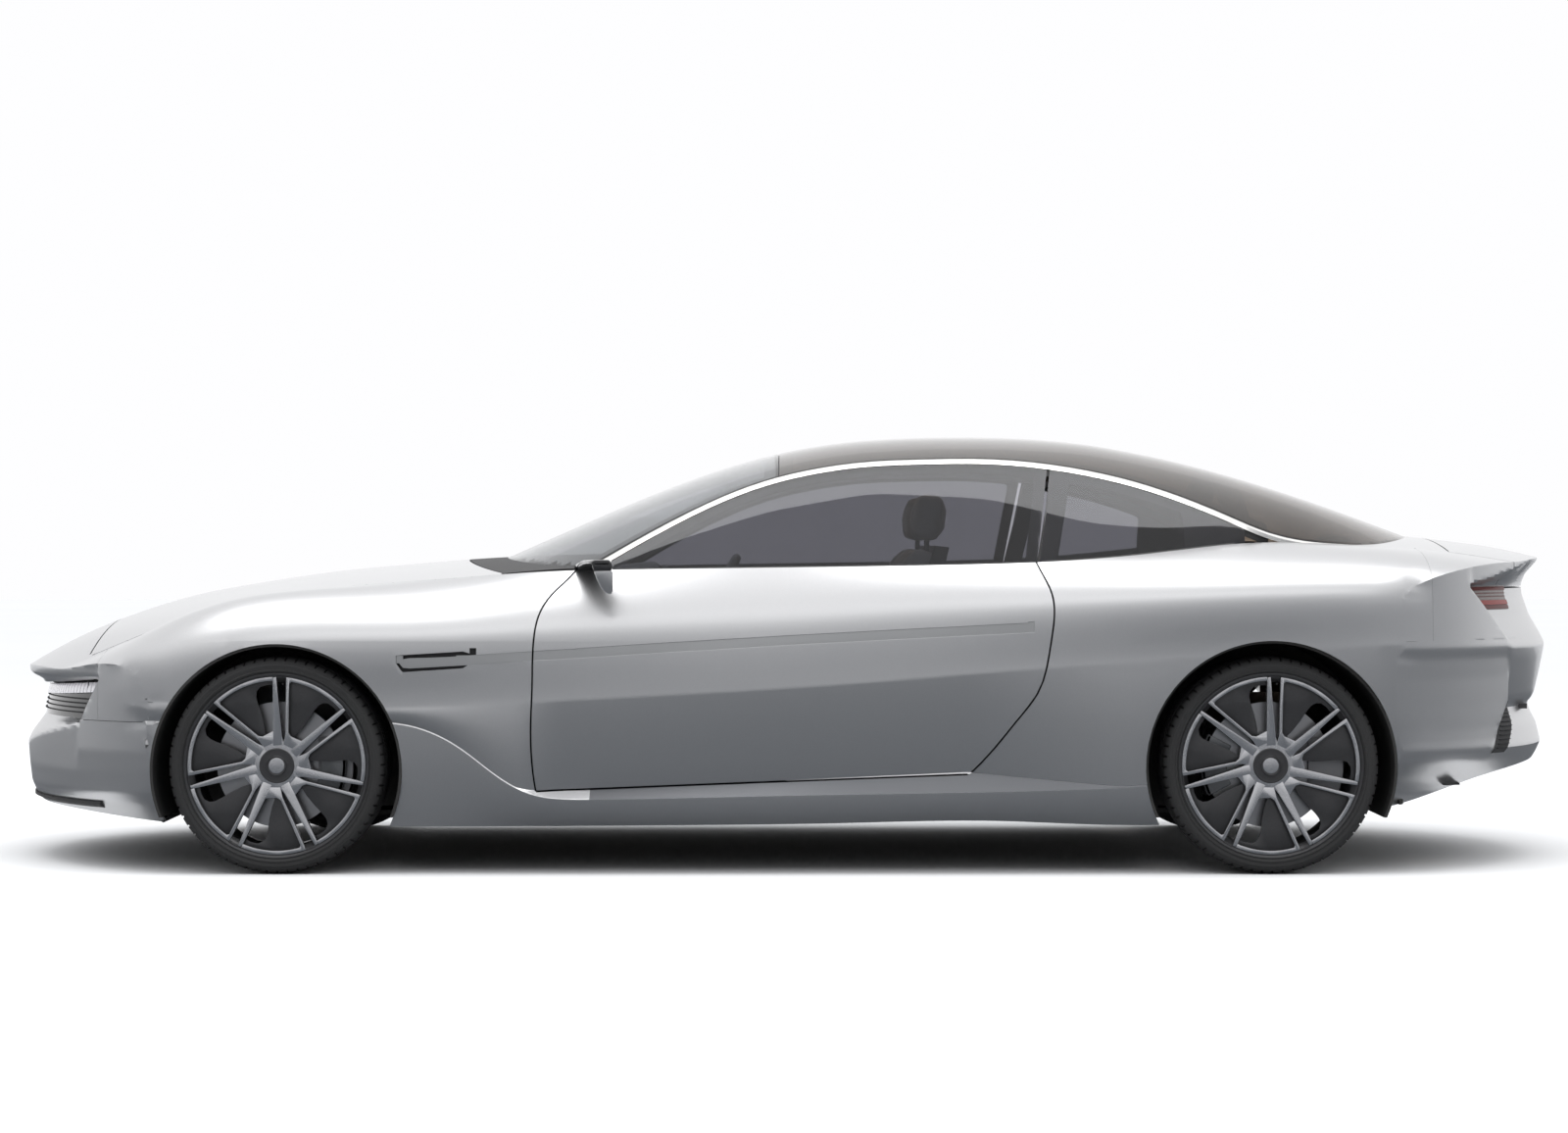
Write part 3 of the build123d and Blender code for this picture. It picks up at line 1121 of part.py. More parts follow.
def make_rim(axle, side):
    """Rim barrel, seven pairs of spokes with a closed panel in each sector, and the hub."""
    h = RIM_WIDTH / 2
    b = BARREL_RADIUS
    ring = revolve(make_face(Polyline(
        (b, -h), (RIM_RADIUS, -h), (RIM_RADIUS, -h + FLANGE), (BEAD_RADIUS, -h + FLANGE + 4),
        (BEAD_RADIUS, h - FLANGE - 4), (RIM_RADIUS, h - FLANGE), (RIM_RADIUS, h), (b + 6, h), (b, h - 24),
        close=True)), Axis.Y)
    face_y = h - 6
    back_y = HUB_FACE_Y - WHEEL_Y + SEAT_GAP
    hub = Pos(0, (face_y - 6 + back_y) / 2, 0) * (Rot(90, 0, 0) * Cylinder(HUB_RADIUS, face_y - 6 - back_y))
    rim = ring + hub
    pitch = 360.0 / SPOKES
    for k in range(SPOKES):
        turn = k * pitch
        rim += spoke(turn, HUB_RADIUS - 16, b + 8, 24, 11, face_y - 24, face_y - 2)
        rim += spoke(turn + 9.0, HUB_RADIUS - 16, b + 8, 9, 5, face_y - 22, face_y - 3)
        rim += spoke(turn + 19.0, HUB_RADIUS + 40, b + 8, 18, 42, face_y - 26, face_y - 16)
    rim -= Rot(90, 0, 0) * Cylinder(SPINDLE_RADIUS + 1.0, 600)
    if side < 0:
        rim = mirrored(rim)
    return Pos(axle, side * WHEEL_Y, AXLE_Z) * rim


def make_disc(axle, side):
    """Brake disc with its hat and the hub that runs on the spindle."""
    half = DISC_THICKNESS / 2
    y = DISC_Y - WHEEL_Y
    top = HUB_FACE_Y - WHEEL_Y
    bore = SPINDLE_RADIUS + RUNNING_FIT
    return turned_wheel([
        (bore, y - half), (DISC_RADIUS, y - half), (DISC_RADIUS, y + half), (HUB_RADIUS, y + half),
        (HUB_RADIUS, top), (bore, top),
    ], axle, side)


# Lamps and grille -------------------------------------------------------------------------------------
def make_grille():
    r = NOSE_ROUND - NOSE_DEPTH - 10 - SEAT_GAP
    grille = sector(NOSE_CENTRE, -1, r, r + 10, radians(44), tall(BUMPER_TOP) - 14, tall(MOUTH_TOP) + 14)
    low, high = tall(BUMPER_TOP), tall(MOUTH_TOP)
    for k in range(4):
        z = low + (high - low) * (k + 0.5) / 4
        grille += sector(NOSE_CENTRE, -1, r + 8, r + 34, radians(36), z - 4, z + 4)
    return grille


def make_headlamps():
    r = NOSE_ROUND - NOSE_DEPTH
    lamps = sector(NOSE_CENTRE, -1, r + 10, r + 86, radians(46), tall(BUMPER_TOP), tall(MOUTH_TOP) - SEAT_GAP)
    lamps -= sector(NOSE_CENTRE, -1, 100, r + 200, radians(37.5), 0, BIG)
    return lamps


def make_tail_lamps():
    """Two strips that stand on the wall of the pocket under the boot lid."""
    r = TAIL_ROUND - TAIL_POCKET + SEAT_GAP
    lamps = sector(TAIL_CENTRE, 1, r, r + 13, radians(44), tall(838), tall(LID_LOW) - SHUT_GAP - 2)
    lamps -= sector(TAIL_CENTRE, 1, 100, r + 100, radians(14), 0, BIG)
    return lamps


# ---------------------------------------------------------------------------------------------
# The car, node by node
# ---------------------------------------------------------------------------------------------
def save(name, part):
    export_step(part, f"parts/{name}.step")


def save_pair(name, left):
    save(f"{name}_left", left)
    save(f"{name}_right", mirrored(left))


def build():
    front_bumper, nose_panel, fender_corner = make_nose()
    save("front_bumper", front_bumper)
    save("nose_panel", nose_panel)
    save_pair("fender", make_fender(fender_corner))
    tail_shell = tail_solid(0.0) - tail_solid(PANEL)
    save_pair("side", make_side())
    quarter_tail, rear_bumper = make_tail(tail_shell)
    save("tail_panel", quarter_tail)
    save("rear_bumper", rear_bumper)
    save("bonnet", make_bonnet())
    save("boot_lid", make_lid(tail_shell))
    save("rear_deck", make_deck())
    door = make_door()
    save_pair("door", door)
    save_pair("mirror", make_mirror(door))
    windscreen, roof_glass = make_top_glass()
    save("windscreen", windscreen)
    save("roof_glass", roof_glass)
    door_glass, quarter_glass = make_side_glass()
    save_pair("door_glass", door_glass)
    save("quarter_glass", quarter_glass + mirrored(quarter_glass))
    save("roof_frame", make_roof_frame())
    trim = rail_trim(-600, 1980) - crown_mass(1300, 2250, -SEAT_GAP)
    save("roof_trim", trim + mirrored(trim))
    save("floor", make_floor())
    front_tub = make_tub(FRONT_AXLE, FRONT_ARCH_Z)
    rear_tub = make_tub(REAR_AXLE, REAR_ARCH_Z)
    save("wheel_tubs", Part() + [front_tub, mirrored(front_tub), rear_tub, mirrored(rear_tub)])
    save("firewall", make_firewall())
    dashboard = make_dashboard()
    save("dashboard", dashboard)
    save("steering_wheel", make_steering_wheel() - dashboard)
    save("front_seats", make_front_seats())
    save("rear_seat", make_rear_seat())
    save("boot_floor", make_boot_floor())
    save("engine", make_engine())
    for name, axle in (("front", FRONT_AXLE), ("rear", REAR_AXLE)):
        save(f"{name}_subframe", make_subframe(axle, name == "rear") - pin_holes(axle))
        for side_name, side in (("left", -1), ("right", 1)):
            if name == "front":
                save(f"knuckle_front_{side_name}", make_knuckle(axle, side))
            save(f"tyre_{name}_{side_name}", make_tyre(axle, side))
            save(f"rim_{name}_{side_name}", make_rim(axle, side))
            save(f"disc_{name}_{side_name}", make_disc(axle, side))
    save("rear_knuckles", make_knuckle(REAR_AXLE, -1) + make_knuckle(REAR_AXLE, 1))
    save("grille", make_grille())
    save("headlamps", make_headlamps())
    save("tail_lamps", make_tail_lamps())


build()
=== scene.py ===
# %% [markdown]
# # Dressing a silver fastback coupe
#
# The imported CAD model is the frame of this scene: it says where every piece is and what it turns with.
# Here the car gets its looks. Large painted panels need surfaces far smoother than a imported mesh, so
# the lesson draws them again from the same feature lines, cuts them along the real shut lines and
# lets each one ride on its own body.

# %% Load the frame
import json
from bisect import bisect_right
from math import cos, exp, hypot, pi, radians, sin, tan

import bmesh
import bpy
import numpy as np
from mathutils import Matrix, Vector
from mathutils.bvhtree import BVHTree
from mathutils.kdtree import KDTree


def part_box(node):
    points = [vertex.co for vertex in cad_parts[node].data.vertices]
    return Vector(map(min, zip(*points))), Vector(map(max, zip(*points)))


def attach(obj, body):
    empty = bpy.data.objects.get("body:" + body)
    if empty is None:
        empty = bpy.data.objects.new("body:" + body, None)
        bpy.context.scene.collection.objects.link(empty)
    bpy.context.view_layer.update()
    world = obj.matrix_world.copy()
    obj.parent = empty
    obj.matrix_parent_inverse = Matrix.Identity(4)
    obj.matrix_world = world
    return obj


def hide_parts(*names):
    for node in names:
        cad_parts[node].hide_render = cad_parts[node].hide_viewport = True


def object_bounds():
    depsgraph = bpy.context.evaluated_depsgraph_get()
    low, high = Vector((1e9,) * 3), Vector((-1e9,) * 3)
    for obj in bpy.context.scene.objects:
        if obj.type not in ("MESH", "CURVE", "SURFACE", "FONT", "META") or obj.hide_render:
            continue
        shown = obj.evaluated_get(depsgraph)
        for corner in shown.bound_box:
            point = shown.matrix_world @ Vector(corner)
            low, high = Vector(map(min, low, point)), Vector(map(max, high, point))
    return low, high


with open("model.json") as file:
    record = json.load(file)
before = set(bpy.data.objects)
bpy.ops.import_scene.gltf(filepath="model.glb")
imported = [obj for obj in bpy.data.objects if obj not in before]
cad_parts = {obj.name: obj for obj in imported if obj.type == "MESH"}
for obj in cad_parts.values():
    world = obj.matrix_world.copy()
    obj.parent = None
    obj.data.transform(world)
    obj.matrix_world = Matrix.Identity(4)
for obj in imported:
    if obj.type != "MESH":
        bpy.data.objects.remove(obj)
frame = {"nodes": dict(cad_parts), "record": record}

CAD_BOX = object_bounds()
NODES = frame["nodes"]


# %% [markdown]
# ## Places come from the frame
#
# Wheel centres, the tyre's radius and the car's two ends are read off the imported nodes. The styling curves
# below are drawn in millimetres, and `along`, `M` carry them to metres in the frame's own axes.

# %% Measures from the imported nodes
def middle(node):
    low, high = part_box(node)
    return Vector([(a + b) / 2 for a, b in zip(low, high)])


M = 0.001
FRONT_WHEEL = middle("disc_front_left")
REAR_WHEEL = middle("disc_rear_left")
AXLE_Z = FRONT_WHEEL.z
TYRE_RADIUS = (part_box("tyre_front_left")[1][2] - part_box("tyre_front_left")[0][2]) / 2
NOSE_X = CAD_BOX[0][0]
TAIL_X = CAD_BOX[1][0]
DRAWN_FRONT_AXLE = -1545.0
DRAWN_SHIFT = FRONT_WHEEL.x / M - DRAWN_FRONT_AXLE
SHUT_GAP = 5.0 * M
SIDES = ((-1, "left"), (1, "right"))


def along(x):
    return (x + DRAWN_SHIFT) * M


print("wheelbase", round(REAR_WHEEL.x - FRONT_WHEEL.x, 3), "tyre radius", round(TYRE_RADIUS, 3))


# %% [markdown]
# ## Feature lines
#
# A car's side is drawn with a few long lines. `fair` passes a smooth curve by a handful of points and
# averages it a little, the way a drawn spline hides its own control points.

# %% The car's lines
def fair(points, blend=110.0):
    xs, vs = zip(*points)
    h = [b - a for a, b in zip(xs, xs[1:])]
    d = [(b - a) / k for a, b, k in zip(vs, vs[1:], h)]
    m = [d[0]]
    for i in range(1, len(d)):
        if d[i - 1] * d[i] <= 0:
            m.append(0.0)
            continue
        w1 = 2 * h[i] + h[i - 1]
        w2 = h[i] + 2 * h[i - 1]
        m.append((w1 + w2) / (w1 / d[i - 1] + w2 / d[i]))
    m.append(d[-1])

    def cubic(x):
        if x <= xs[0]:
            return vs[0] + (x - xs[0]) * m[0]
        if x >= xs[-1]:
            return vs[-1] + (x - xs[-1]) * m[-1]
        k = bisect_right(xs, x) - 1
        t = (x - xs[k]) / h[k]
        return ((2 * t**3 - 3 * t**2 + 1) * vs[k] + (t**3 - 2 * t**2 + t) * h[k] * m[k]
                + (3 * t**2 - 2 * t**3) * vs[k + 1] + (t**3 - t**2) * h[k] * m[k + 1])

    taps = [(k / 5.0, exp(-0.5 * (k / 5.0) ** 2)) for k in range(-12, 13)]
    total = sum(w for _, w in taps)
    return lambda x: sum(w * cubic(x + k * blend) for k, w in taps) / total


UNDER_Y = fair([(-2600, 820), (-2095, 870), (-1864, 900), (1018, 905), (1799, 900), (2159, 850), (2600, 760)])
UNDER_Z = fair([(-2600, 190), (-2300, 182), (-2095, 170), (-1864, 150), (-1200, 143), (0, 150), (576, 162),
                (1018, 146), (1300, 150), (1799, 192), (2159, 290), (2440, 320), (2600, 330)])
SILL_Y = fair([(-2600, 800), (-2110, 840), (-1928, 918), (-1165, 935), (-985, 943), (-779, 940), (0, 935),
               (1012, 940), (1750, 935), (2142, 860), (2600, 740)])
SILL_Z = fair([(-2600, 457), (-1165, 457), (-1080, 430), (-985, 385), (-897, 304), (-779, 236), (-700, 226),
               (0, 238), (1012, 262), (1100, 270), (1500, 300), (1750, 321), (2142, 359), (2600, 368)], 60)
WAIST_Y = fair([(-2600, 780), (-2110, 835), (-1928, 920), (-1700, 943), (-1545, 950), (-1192, 946), (0, 946),
                (771, 948), (1100, 955), (1455, 965), (1750, 955), (2169, 860), (2600, 700)])
WAIST_Z = fair([(-2600, 520), (-2100, 525), (-1600, 505), (-1192, 500), (-770, 519), (-72, 557), (164, 573),
                (771, 622), (1100, 645), (1750, 690), (2169, 712), (2600, 715)])
SHOULDER_Y = fair([(-2600, 740), (-2113, 800), (-1980, 878), (-1700, 932), (-1545, 940), (-1251, 937),
                   (-776, 930), (-72, 922), (164, 922), (800, 932), (1460, 957), (1750, 942), (2110, 835),
                   (2600, 660)])
SHOULDER_Z = fair([(-2600, 480), (-2400, 520), (-2113, 606), (-1980, 640), (-1700, 698), (-1545, 712),
                   (-1251, 719), (-776, 734), (-72, 763), (164, 781), (800, 819), (1460, 852), (2110, 868),
                   (2600, 872)])
CREST_Y = fair([(-2600, 700), (-2113, 750), (-1980, 800), (-1855, 820), (-1603, 822), (-1364, 826),
                (-1074, 850), (-776, 875), (-72, 885), (800, 888), (1460, 860), (1750, 840), (2110, 750),
                (2600, 600)])
CREST_Z = fair([(-2600, 490), (-2400, 535), (-2113, 636), (-1980, 690), (-1855, 766), (-1603, 834),
                (-1364, 841), (-1074, 828), (-776, 833), (-72, 850), (500, 880), (800, 897), (1460, 945),
                (1750, 950), (2110, 925), (2600, 890)])
BELT_Y = fair([(-2600, 600), (-2113, 620), (-1855, 680), (-1603, 700), (-1165, 720), (-977, 740), (-782, 780),
               (-526, 820), (0, 845), (747, 845), (1100, 800), (1465, 700), (1619, 670), (1814, 620),
               (1963, 580), (2300, 520), (2600, 450)])
BELT_Z = fair([(-2600, 500), (-2400, 550), (-2113, 672), (-1980, 720), (-1855, 777), (-1603, 842),
               (-1465, 857), (-1165, 881), (-977, 893), (-782, 912), (-526, 918), (0, 925), (747, 939),
               (1100, 965), (1465, 1005), (1619, 998), (1814, 988), (1963, 982), (2100, 967), (2300, 940),
               (2600, 895)])
CENTRE_Z = fair([(-2600, 520), (-2480, 590), (-2455, 612), (-2391, 652), (-2262, 719), (-2070, 790),
                 (-1941, 829), (-1684, 876), (-1427, 912), (-1170, 935), (-961, 951), (-600, 965), (0, 975),
                 (1000, 1000), (1600, 1030), (1900, 1030), (2044, 1018), (2172, 1003), (2301, 986),
                 (2429, 955), (2600, 900)], 60)
ROOF_Z = fair([(-1200, 826), (-961, 932), (-784, 1009), (-527, 1121), (-270, 1221), (-142, 1262), (-13, 1295),
               (116, 1318), (244, 1333), (501, 1343), (630, 1343), (887, 1330), (1144, 1289), (1401, 1227),
               (1658, 1147), (1915, 1054), (2044, 1006), (2200, 946), (2400, 860)], 60)
RAIL_Y = fair([(-1200, 900), (-960, 865), (-576, 770), (-375, 715), (-134, 655), (139, 620), (600, 608),
               (900, 610), (1052, 618), (1202, 634), (1348, 660), (1480, 682), (1620, 672), (1814, 600),
               (1963, 470), (2200, 330), (2400, 300)], 60)
RAIL_Z = fair([(-1200, 570), (-960, 720), (-576, 938), (-375, 1054), (-134, 1167), (-13, 1205), (139, 1235),
               (291, 1251), (595, 1257), (748, 1247), (900, 1225), (1052, 1191), (1202, 1142), (1348, 1081),
               (1450, 1034), (1526, 1007), (1640, 993), (1814, 986), (1963, 968), (2200, 890),
               (2400, 820)], 50)
NOSE_ROUND = 1051.0
NOSE_PROFILE = ((100, 90), (150, 78), (192, 52), (208, 40), (240, 26), (300, 19), (365, 14), (397, 28),
                (429, 52), (459, 74), (549, 66), (566, 62), (584, 24), (592, 20), (620, 18), (650, 12),
                (1100, 12))
NOSE_SIDE = ((100, 90), (150, 78), (192, 52), (208, 40), (240, 26), (300, 19), (365, 14), (425, 14),
             (1100, 12))
MOUTH_ENDS = ((300, 42.5), (457, 43.4), (582, 48.8), (1100, 48.8))
TAIL_ROUND = 1066.0
TAIL_PROFILE = ((100, 110), (240, 104), (271, 92), (303, 71), (334, 52), (366, 38), (397, 45), (429, 53),
                (460, 70), (490, 80), (505, 66), (523, 57), (586, 43), (649, 30), (681, 25), (712, 40),
                (771, 74), (835, 96), (868, 99), (901, 86), (945, 47), (1040, 47), (1500, 50))
TAIL_SIDE = ((100, 110), (240, 104), (271, 92), (303, 71), (334, 52), (366, 42), (397, 43), (430, 43),
             (505, 41), (586, 38), (649, 34), (681, 28), (712, 31), (780, 36), (938, 47), (1040, 47),
             (1500, 50))
POCKET_ENDS = ((300, 44), (347, 43.2), (510, 36.5), (560, 36.5), (700, 38), (862, 48.5), (1100, 48.5))
print("feature lines drawn")


# %% [markdown]
# ## From lines to a section
#
# At each station the side is four runs, from the floor's edge to the belt line, and the crown is one.
# `spline` fills a run with points, closer together near its ends, so that a crease keeps a tight
# radius when the surface is shaded smooth.

# %% Splines
def spline(points, count, pinch=0.02):
    points = np.array(points, dtype=float)
    share = np.linspace(0, 1, count + 1)
    share = np.sort(np.concatenate([share, [pinch, 1 - pinch]]))
    steps = np.linalg.norm(np.diff(points, axis=0), axis=1)
    knots = np.concatenate([[0], np.cumsum(steps)])
    where = share * knots[-1]
    if len(points) == 2:
        return points[0] + share[:, None] * (points[1] - points[0])

    def end_slope(t, p):
        slope = np.zeros(3)
        for i in range(len(t)):
            term = sum(np.prod([(t[0] - t[m]) / (t[i] - t[m]) for m in range(len(t)) if m not in (i, j)])
                       / (t[i] - t[j]) for j in range(len(t)) if j != i)
            slope += term * p[i]
        return slope

    n = len(points)
    few = min(4, n)
    slopes = np.zeros((n, 3))
    slopes[0] = end_slope(knots[:few], points[:few])
    slopes[-1] = end_slope(knots[::-1][:few], points[::-1][:few])
    if n > 2:
        a = np.zeros((n - 2, n - 2))
        b = np.zeros((n - 2, 3))
        d = np.diff(points, axis=0) / steps[:, None]
        for i in range(1, n - 1):
            row = i - 1
            a[row, row] = 2 * (steps[i - 1] + steps[i])
            b[row] = 3 * (steps[i] * d[i - 1] + steps[i - 1] * d[i])
            if i > 1:
                a[row, row - 1] = steps[i]
            else:
                b[row] -= steps[i] * slopes[0]
            if i < n - 2:
                a[row, row + 1] = steps[i - 1]
            else:
                b[row] -= steps[i - 1] * slopes[-1]
        slopes[1:-1] = np.linalg.solve(a, b)
    k = np.clip(np.searchsorted(knots, where, side="right") - 1, 0, n - 2)
    t = ((where - knots[k]) / steps[k])[:, None]
    h = steps[k][:, None]
    return ((2 * t**3 - 3 * t**2 + 1) * points[k] + (t**3 - 2 * t**2 + t) * h * slopes[k]
            + (3 * t**2 - 2 * t**3) * points[k + 1] + (t**3 - t**2) * h * slopes[k + 1])


def between(a, b, bulge):
    dy, dz = b[1] - a[1], b[2] - a[2]
    span = hypot(dy, dz)
    ny, nz = -dz / span, dy / span
    if ny > 0:
        ny, nz = -ny, -nz
    return (a[0], (a[1] + b[1]) / 2 + ny * bulge * M, (a[2] + b[2]) / 2 + nz * bulge * M)


def ramp(x, table):
    return float(np.interp(x, *zip(*table)))


LEDGE_IN = ((-820, 0), (-700, 1), (547, 1), (1012, 0))
LEDGE_UP = ((-820, 4), (-700, 25), (547, 60), (800, 30), (1012, 4))
LEDGE_DEPTH = 35.0


def section(x):
    """The body at a drawn station: four runs up the left side, then the crown across it."""
    def point(y_line, z_line):
        return (along(x), -y_line(x) * M, z_line(x) * M)

    under, sill = point(UNDER_Y, UNDER_Z), point(SILL_Y, SILL_Z)
    waist, shoulder = point(WAIST_Y, WAIST_Z), point(SHOULDER_Y, SHOULDER_Z)
    crest, belt = point(CREST_Y, CREST_Z), point(BELT_Y, BELT_Z)
    ledge = (sill[0], sill[1] + (LEDGE_DEPTH * ramp(x, LEDGE_IN) + 2.0) * M, sill[2] + ramp(x, LEDGE_UP) * M)
    centre = (along(x), 0.0, CENTRE_Z(x) * M)
    half = (along(x), belt[1] / 2, centre[2] - (centre[2] - belt[2]) * 0.27)
    crown = [belt, half, centre, (half[0], -half[1], half[2]), (belt[0], -belt[1], belt[2])]
    return [
        spline([under, between(under, sill, 6.0), sill], 6),
        spline([sill, ledge], 1, 0.1),
        spline([ledge, between(ledge, waist, 6.0), waist], 9),
        spline([waist, between(waist, shoulder, 5.0), shoulder, crest, belt], 22),
        spline(crown, 36),
    ]


print("points in one section:", sum(len(run) for run in section(0)))


# %% [markdown]
# ## Two skins that meet
#
# Sections set side by side make a good flank and a poor nose, because no section can look forward. So
# a second skin, an upright drum with the nose's and the tail's own profiles, crosses the first. What
# lies in both is the body, and every face keeps a mark of where it came from.

# %% Hull and drum
SIDE, CROWN, BOTTOM, ENDS, LEDGE = 0, 1, 2, 3, 4
STATIONS = range(-2600, 2601, 20)
DRUM_LEVELS = range(110, 1500, 8)
DRUM_COLUMNS = 141


def ring_faces(rings, count):
    """Quads between closed rings of corners, ring by ring."""
    return [(k * count + i, k * count + (i + 1) % count,
             (k + 1) * count + (i + 1) % count, (k + 1) * count + i)
            for k in range(rings - 1) for i in range(count)]


def capped(rings, count):
    """The same quads with a face over each end."""
    last = range((rings - 1) * count, rings * count)
    return ring_faces(rings, count) + [tuple(range(count)), tuple(reversed(last))]


def hull_mesh():
    """The whole body as one closed skin, each face marked with the zone it belongs to."""
    rings = []
    for x in STATIONS:
        runs = section(x)
        left = np.concatenate([run[:-1] for run in runs[:4]])
        right = np.concatenate(runs[:4])[::-1] * np.array([1, -1, 1])
        rings.append(np.concatenate([left, runs[4][:-1], right]))
        kinds = [LEDGE if k == 1 else SIDE for k, run in enumerate(runs[:4]) for _ in run[:-1]]
        whole = [LEDGE if k == 1 else SIDE for k, run in enumerate(runs[:4]) for _ in run]
        zones = kinds + [CROWN] * (len(runs[4]) - 1) + whole[-2::-1] + [BOTTOM]
    marks = zones * (len(rings) - 1) + [ENDS, ENDS]
    return np.concatenate(rings), capped(len(rings), len(rings[0])), marks


def profile_back(profile, z):
    """How far the nose or tail lies behind its round at height z, its corners eased a little."""
    heights, backs = zip(*profile)
    taps = (-6, -3, 0, 3, 6)
    return sum(float(np.interp(z + t, heights, backs)) for t in taps) / len(taps)


LIP_DROPS = {868: 14, 901: 32, 945: 76}
SHELF_RISES = {365: 84, 397: 55, 429: 26}


def pocket_back(z, a):
    """The tail's profile at an angle: the lip over the pocket hangs lower towards the sides."""
    share = min(1.0, max(0.0, (abs(a) - radians(25)) / radians(23)))
    lowered = {h: h - drop * share for h, drop in LIP_DROPS.items()}
    return profile_back(tuple((lowered.get(h, h), back) for h, back in TAIL_PROFILE), z)


def shelf_back(z, a):
    """The nose's profile at an angle: the shelf under the mouth thins out towards its ends."""
    share = min(1.0, max(0.0, (abs(a) - radians(12)) / radians(31)))
    raised = {h: h + rise * share for h, rise in SHELF_RISES.items()}
    return profile_back(tuple((raised.get(h, h), back) for h, back in NOSE_PROFILE), z)


def end_ring(centre, facing, radius, profiles, ends, z):
    """One level of an end's drum: the first profile straight ahead, the second beyond the ends' angle."""
    ease = radians(0.5)
    half_angle = radians(ramp(z, ends))
    steps = [-half_angle - ease, -half_angle + ease, half_angle - ease, half_angle + ease]
    angles = np.sort(np.concatenate([np.linspace(-pi / 2, pi / 2, DRUM_COLUMNS), steps]))
    beside = profile_back(profiles[1], z)
    ahead = np.array([profiles[0](z, a) for a in angles])
    share = np.clip((np.abs(angles) - half_angle + ease) / (2 * ease), 0, 1)
    r = radius - ahead * (1 - share) - beside * share
    return [(centre + facing * k * cos(a), -facing * k * sin(a)) for k, a in zip(r, angles)]


def envelope_mesh():
    """A tall closed drum with the nose's and the tail's plan and profile."""
    nose_centre = NOSE_X / M + NOSE_ROUND
    tail_centre = TAIL_X / M - TAIL_ROUND
    rings = []
    for z in DRUM_LEVELS:
        nose = end_ring(nose_centre, -1, NOSE_ROUND, (shelf_back, NOSE_SIDE), MOUTH_ENDS, z)
        tail = end_ring(tail_centre, 1, TAIL_ROUND, (pocket_back, TAIL_SIDE), POCKET_ENDS, z)
        rings.append(np.array([(x * M, y * M, z * M) for x, y in nose + tail]))
    faces = capped(len(rings), len(rings[0]))
    return np.concatenate(rings), faces, [ENDS] * len(faces)


def link(name, data):
    obj = bpy.data.objects.new(name, data)
    bpy.context.scene.collection.objects.link(obj)
    return obj


def mesh_of(name, points, faces, marks=None):
    mesh = bpy.data.meshes.new(name)
    mesh.from_pydata([tuple(p) for p in points], [], [tuple(f) for f in faces])
    if marks is not None:
        for _ in range(5):
            mesh.materials.append(None)
        mesh.polygons.foreach_set("material_index", marks)
    bm = bmesh.new()
    bm.from_mesh(mesh)
    bmesh.ops.recalc_face_normals(bm, faces=bm.faces)
    bm.to_mesh(mesh)
    bm.free()
    return mesh


def stored(bm, name):
    """An edited mesh kept under a name."""
    mesh = bpy.data.meshes.new(name)
    bm.to_mesh(mesh)
    bm.free()
    return mesh


def baked(obj):
    """The object's mesh with its modifiers applied; the object itself goes."""
    graph = bpy.context.evaluated_depsgraph_get()
    mesh = bpy.data.meshes.new_from_object(obj.evaluated_get(graph))
    old = obj.data
    bpy.data.objects.remove(obj)
    bpy.data.meshes.remove(old)
    return mesh


hull = link("hull", mesh_of("hull", *hull_mesh()))
envelope = link("envelope", mesh_of("envelope", *envelope_mesh()))
meet = hull.modifiers.new("meet", "BOOLEAN")
meet.operation = "INTERSECT"
meet.solver = "EXACT"
meet.object = envelope
BODY = baked(hull)
old = envelope.data
bpy.data.objects.remove(envelope)
bpy.data.meshes.remove(old)
print("hull and drum meet in", len(BODY.polygons), "faces")


# %% [markdown]
# ## Easing the corners
#
# Where the drum cuts the flank an upright edge is left, and pressed metal has none there. A bevel that
# wide would fold over the panel lines, so each nearby point sinks along its own normal instead, by the
# depth that a fillet would have there.

# %% Long fillets by hand
EASE_REACH = 0.085
EASE_ABOVE = 0.22
ENDS_FROM = 1.7


def eased_corners(mesh):
    """Rounds the upright corners where nose and tail meet the sides, as a fillet of long radius would."""
    bm = bmesh.new()
    bm.from_mesh(mesh)
    bm.normal_update()
    spots = []
    for e in bm.edges:
        if len(e.link_faces) != 2:
            continue
        kinds = {f.material_index for f in e.link_faces}
        turn = e.calc_face_angle(0.0)
        middle_z = (e.verts[0].co.z + e.verts[1].co.z) / 2
        if kinds == {SIDE, ENDS} and radians(3) < turn < radians(32) and middle_z > EASE_ABOVE:
            spots.append(((e.verts[0].co + e.verts[1].co) / 2, turn))
    tree = KDTree(len(spots))
    for k, (spot, _) in enumerate(spots):
        tree.insert(spot, k)
    tree.balance()
    moves = []
    for v in bm.verts:
        if abs(v.co.x) < ENDS_FROM:
            continue
        _, k, gap = tree.find(v.co)
        if gap < EASE_REACH:
            depth = (EASE_REACH - gap)**2 * tan(spots[k][1] / 2) / (2 * EASE_REACH)
            moves.append((v, v.normal * -depth))
    for v, move in moves:
        v.co += move
    bm.to_mesh(mesh)
    bm.free()
    return len(moves)


print("corner points eased:", eased_corners(BODY))


# %% [markdown]
# ## Cutting along shut lines
#
# Every shut line is a field: a number for each point that is zero on the line. `score` cuts the faces
# where the field passes a level, so that a panel's edge is a clean row of points. A door gap is two
# levels of one field with the strip between them gone.

# %% Scoring a mesh along a field
def field_values(bm, field):
    co = np.array([v.co[:] for v in bm.verts])
    return field(co[:, 0], np.abs(co[:, 1]), co[:, 2])


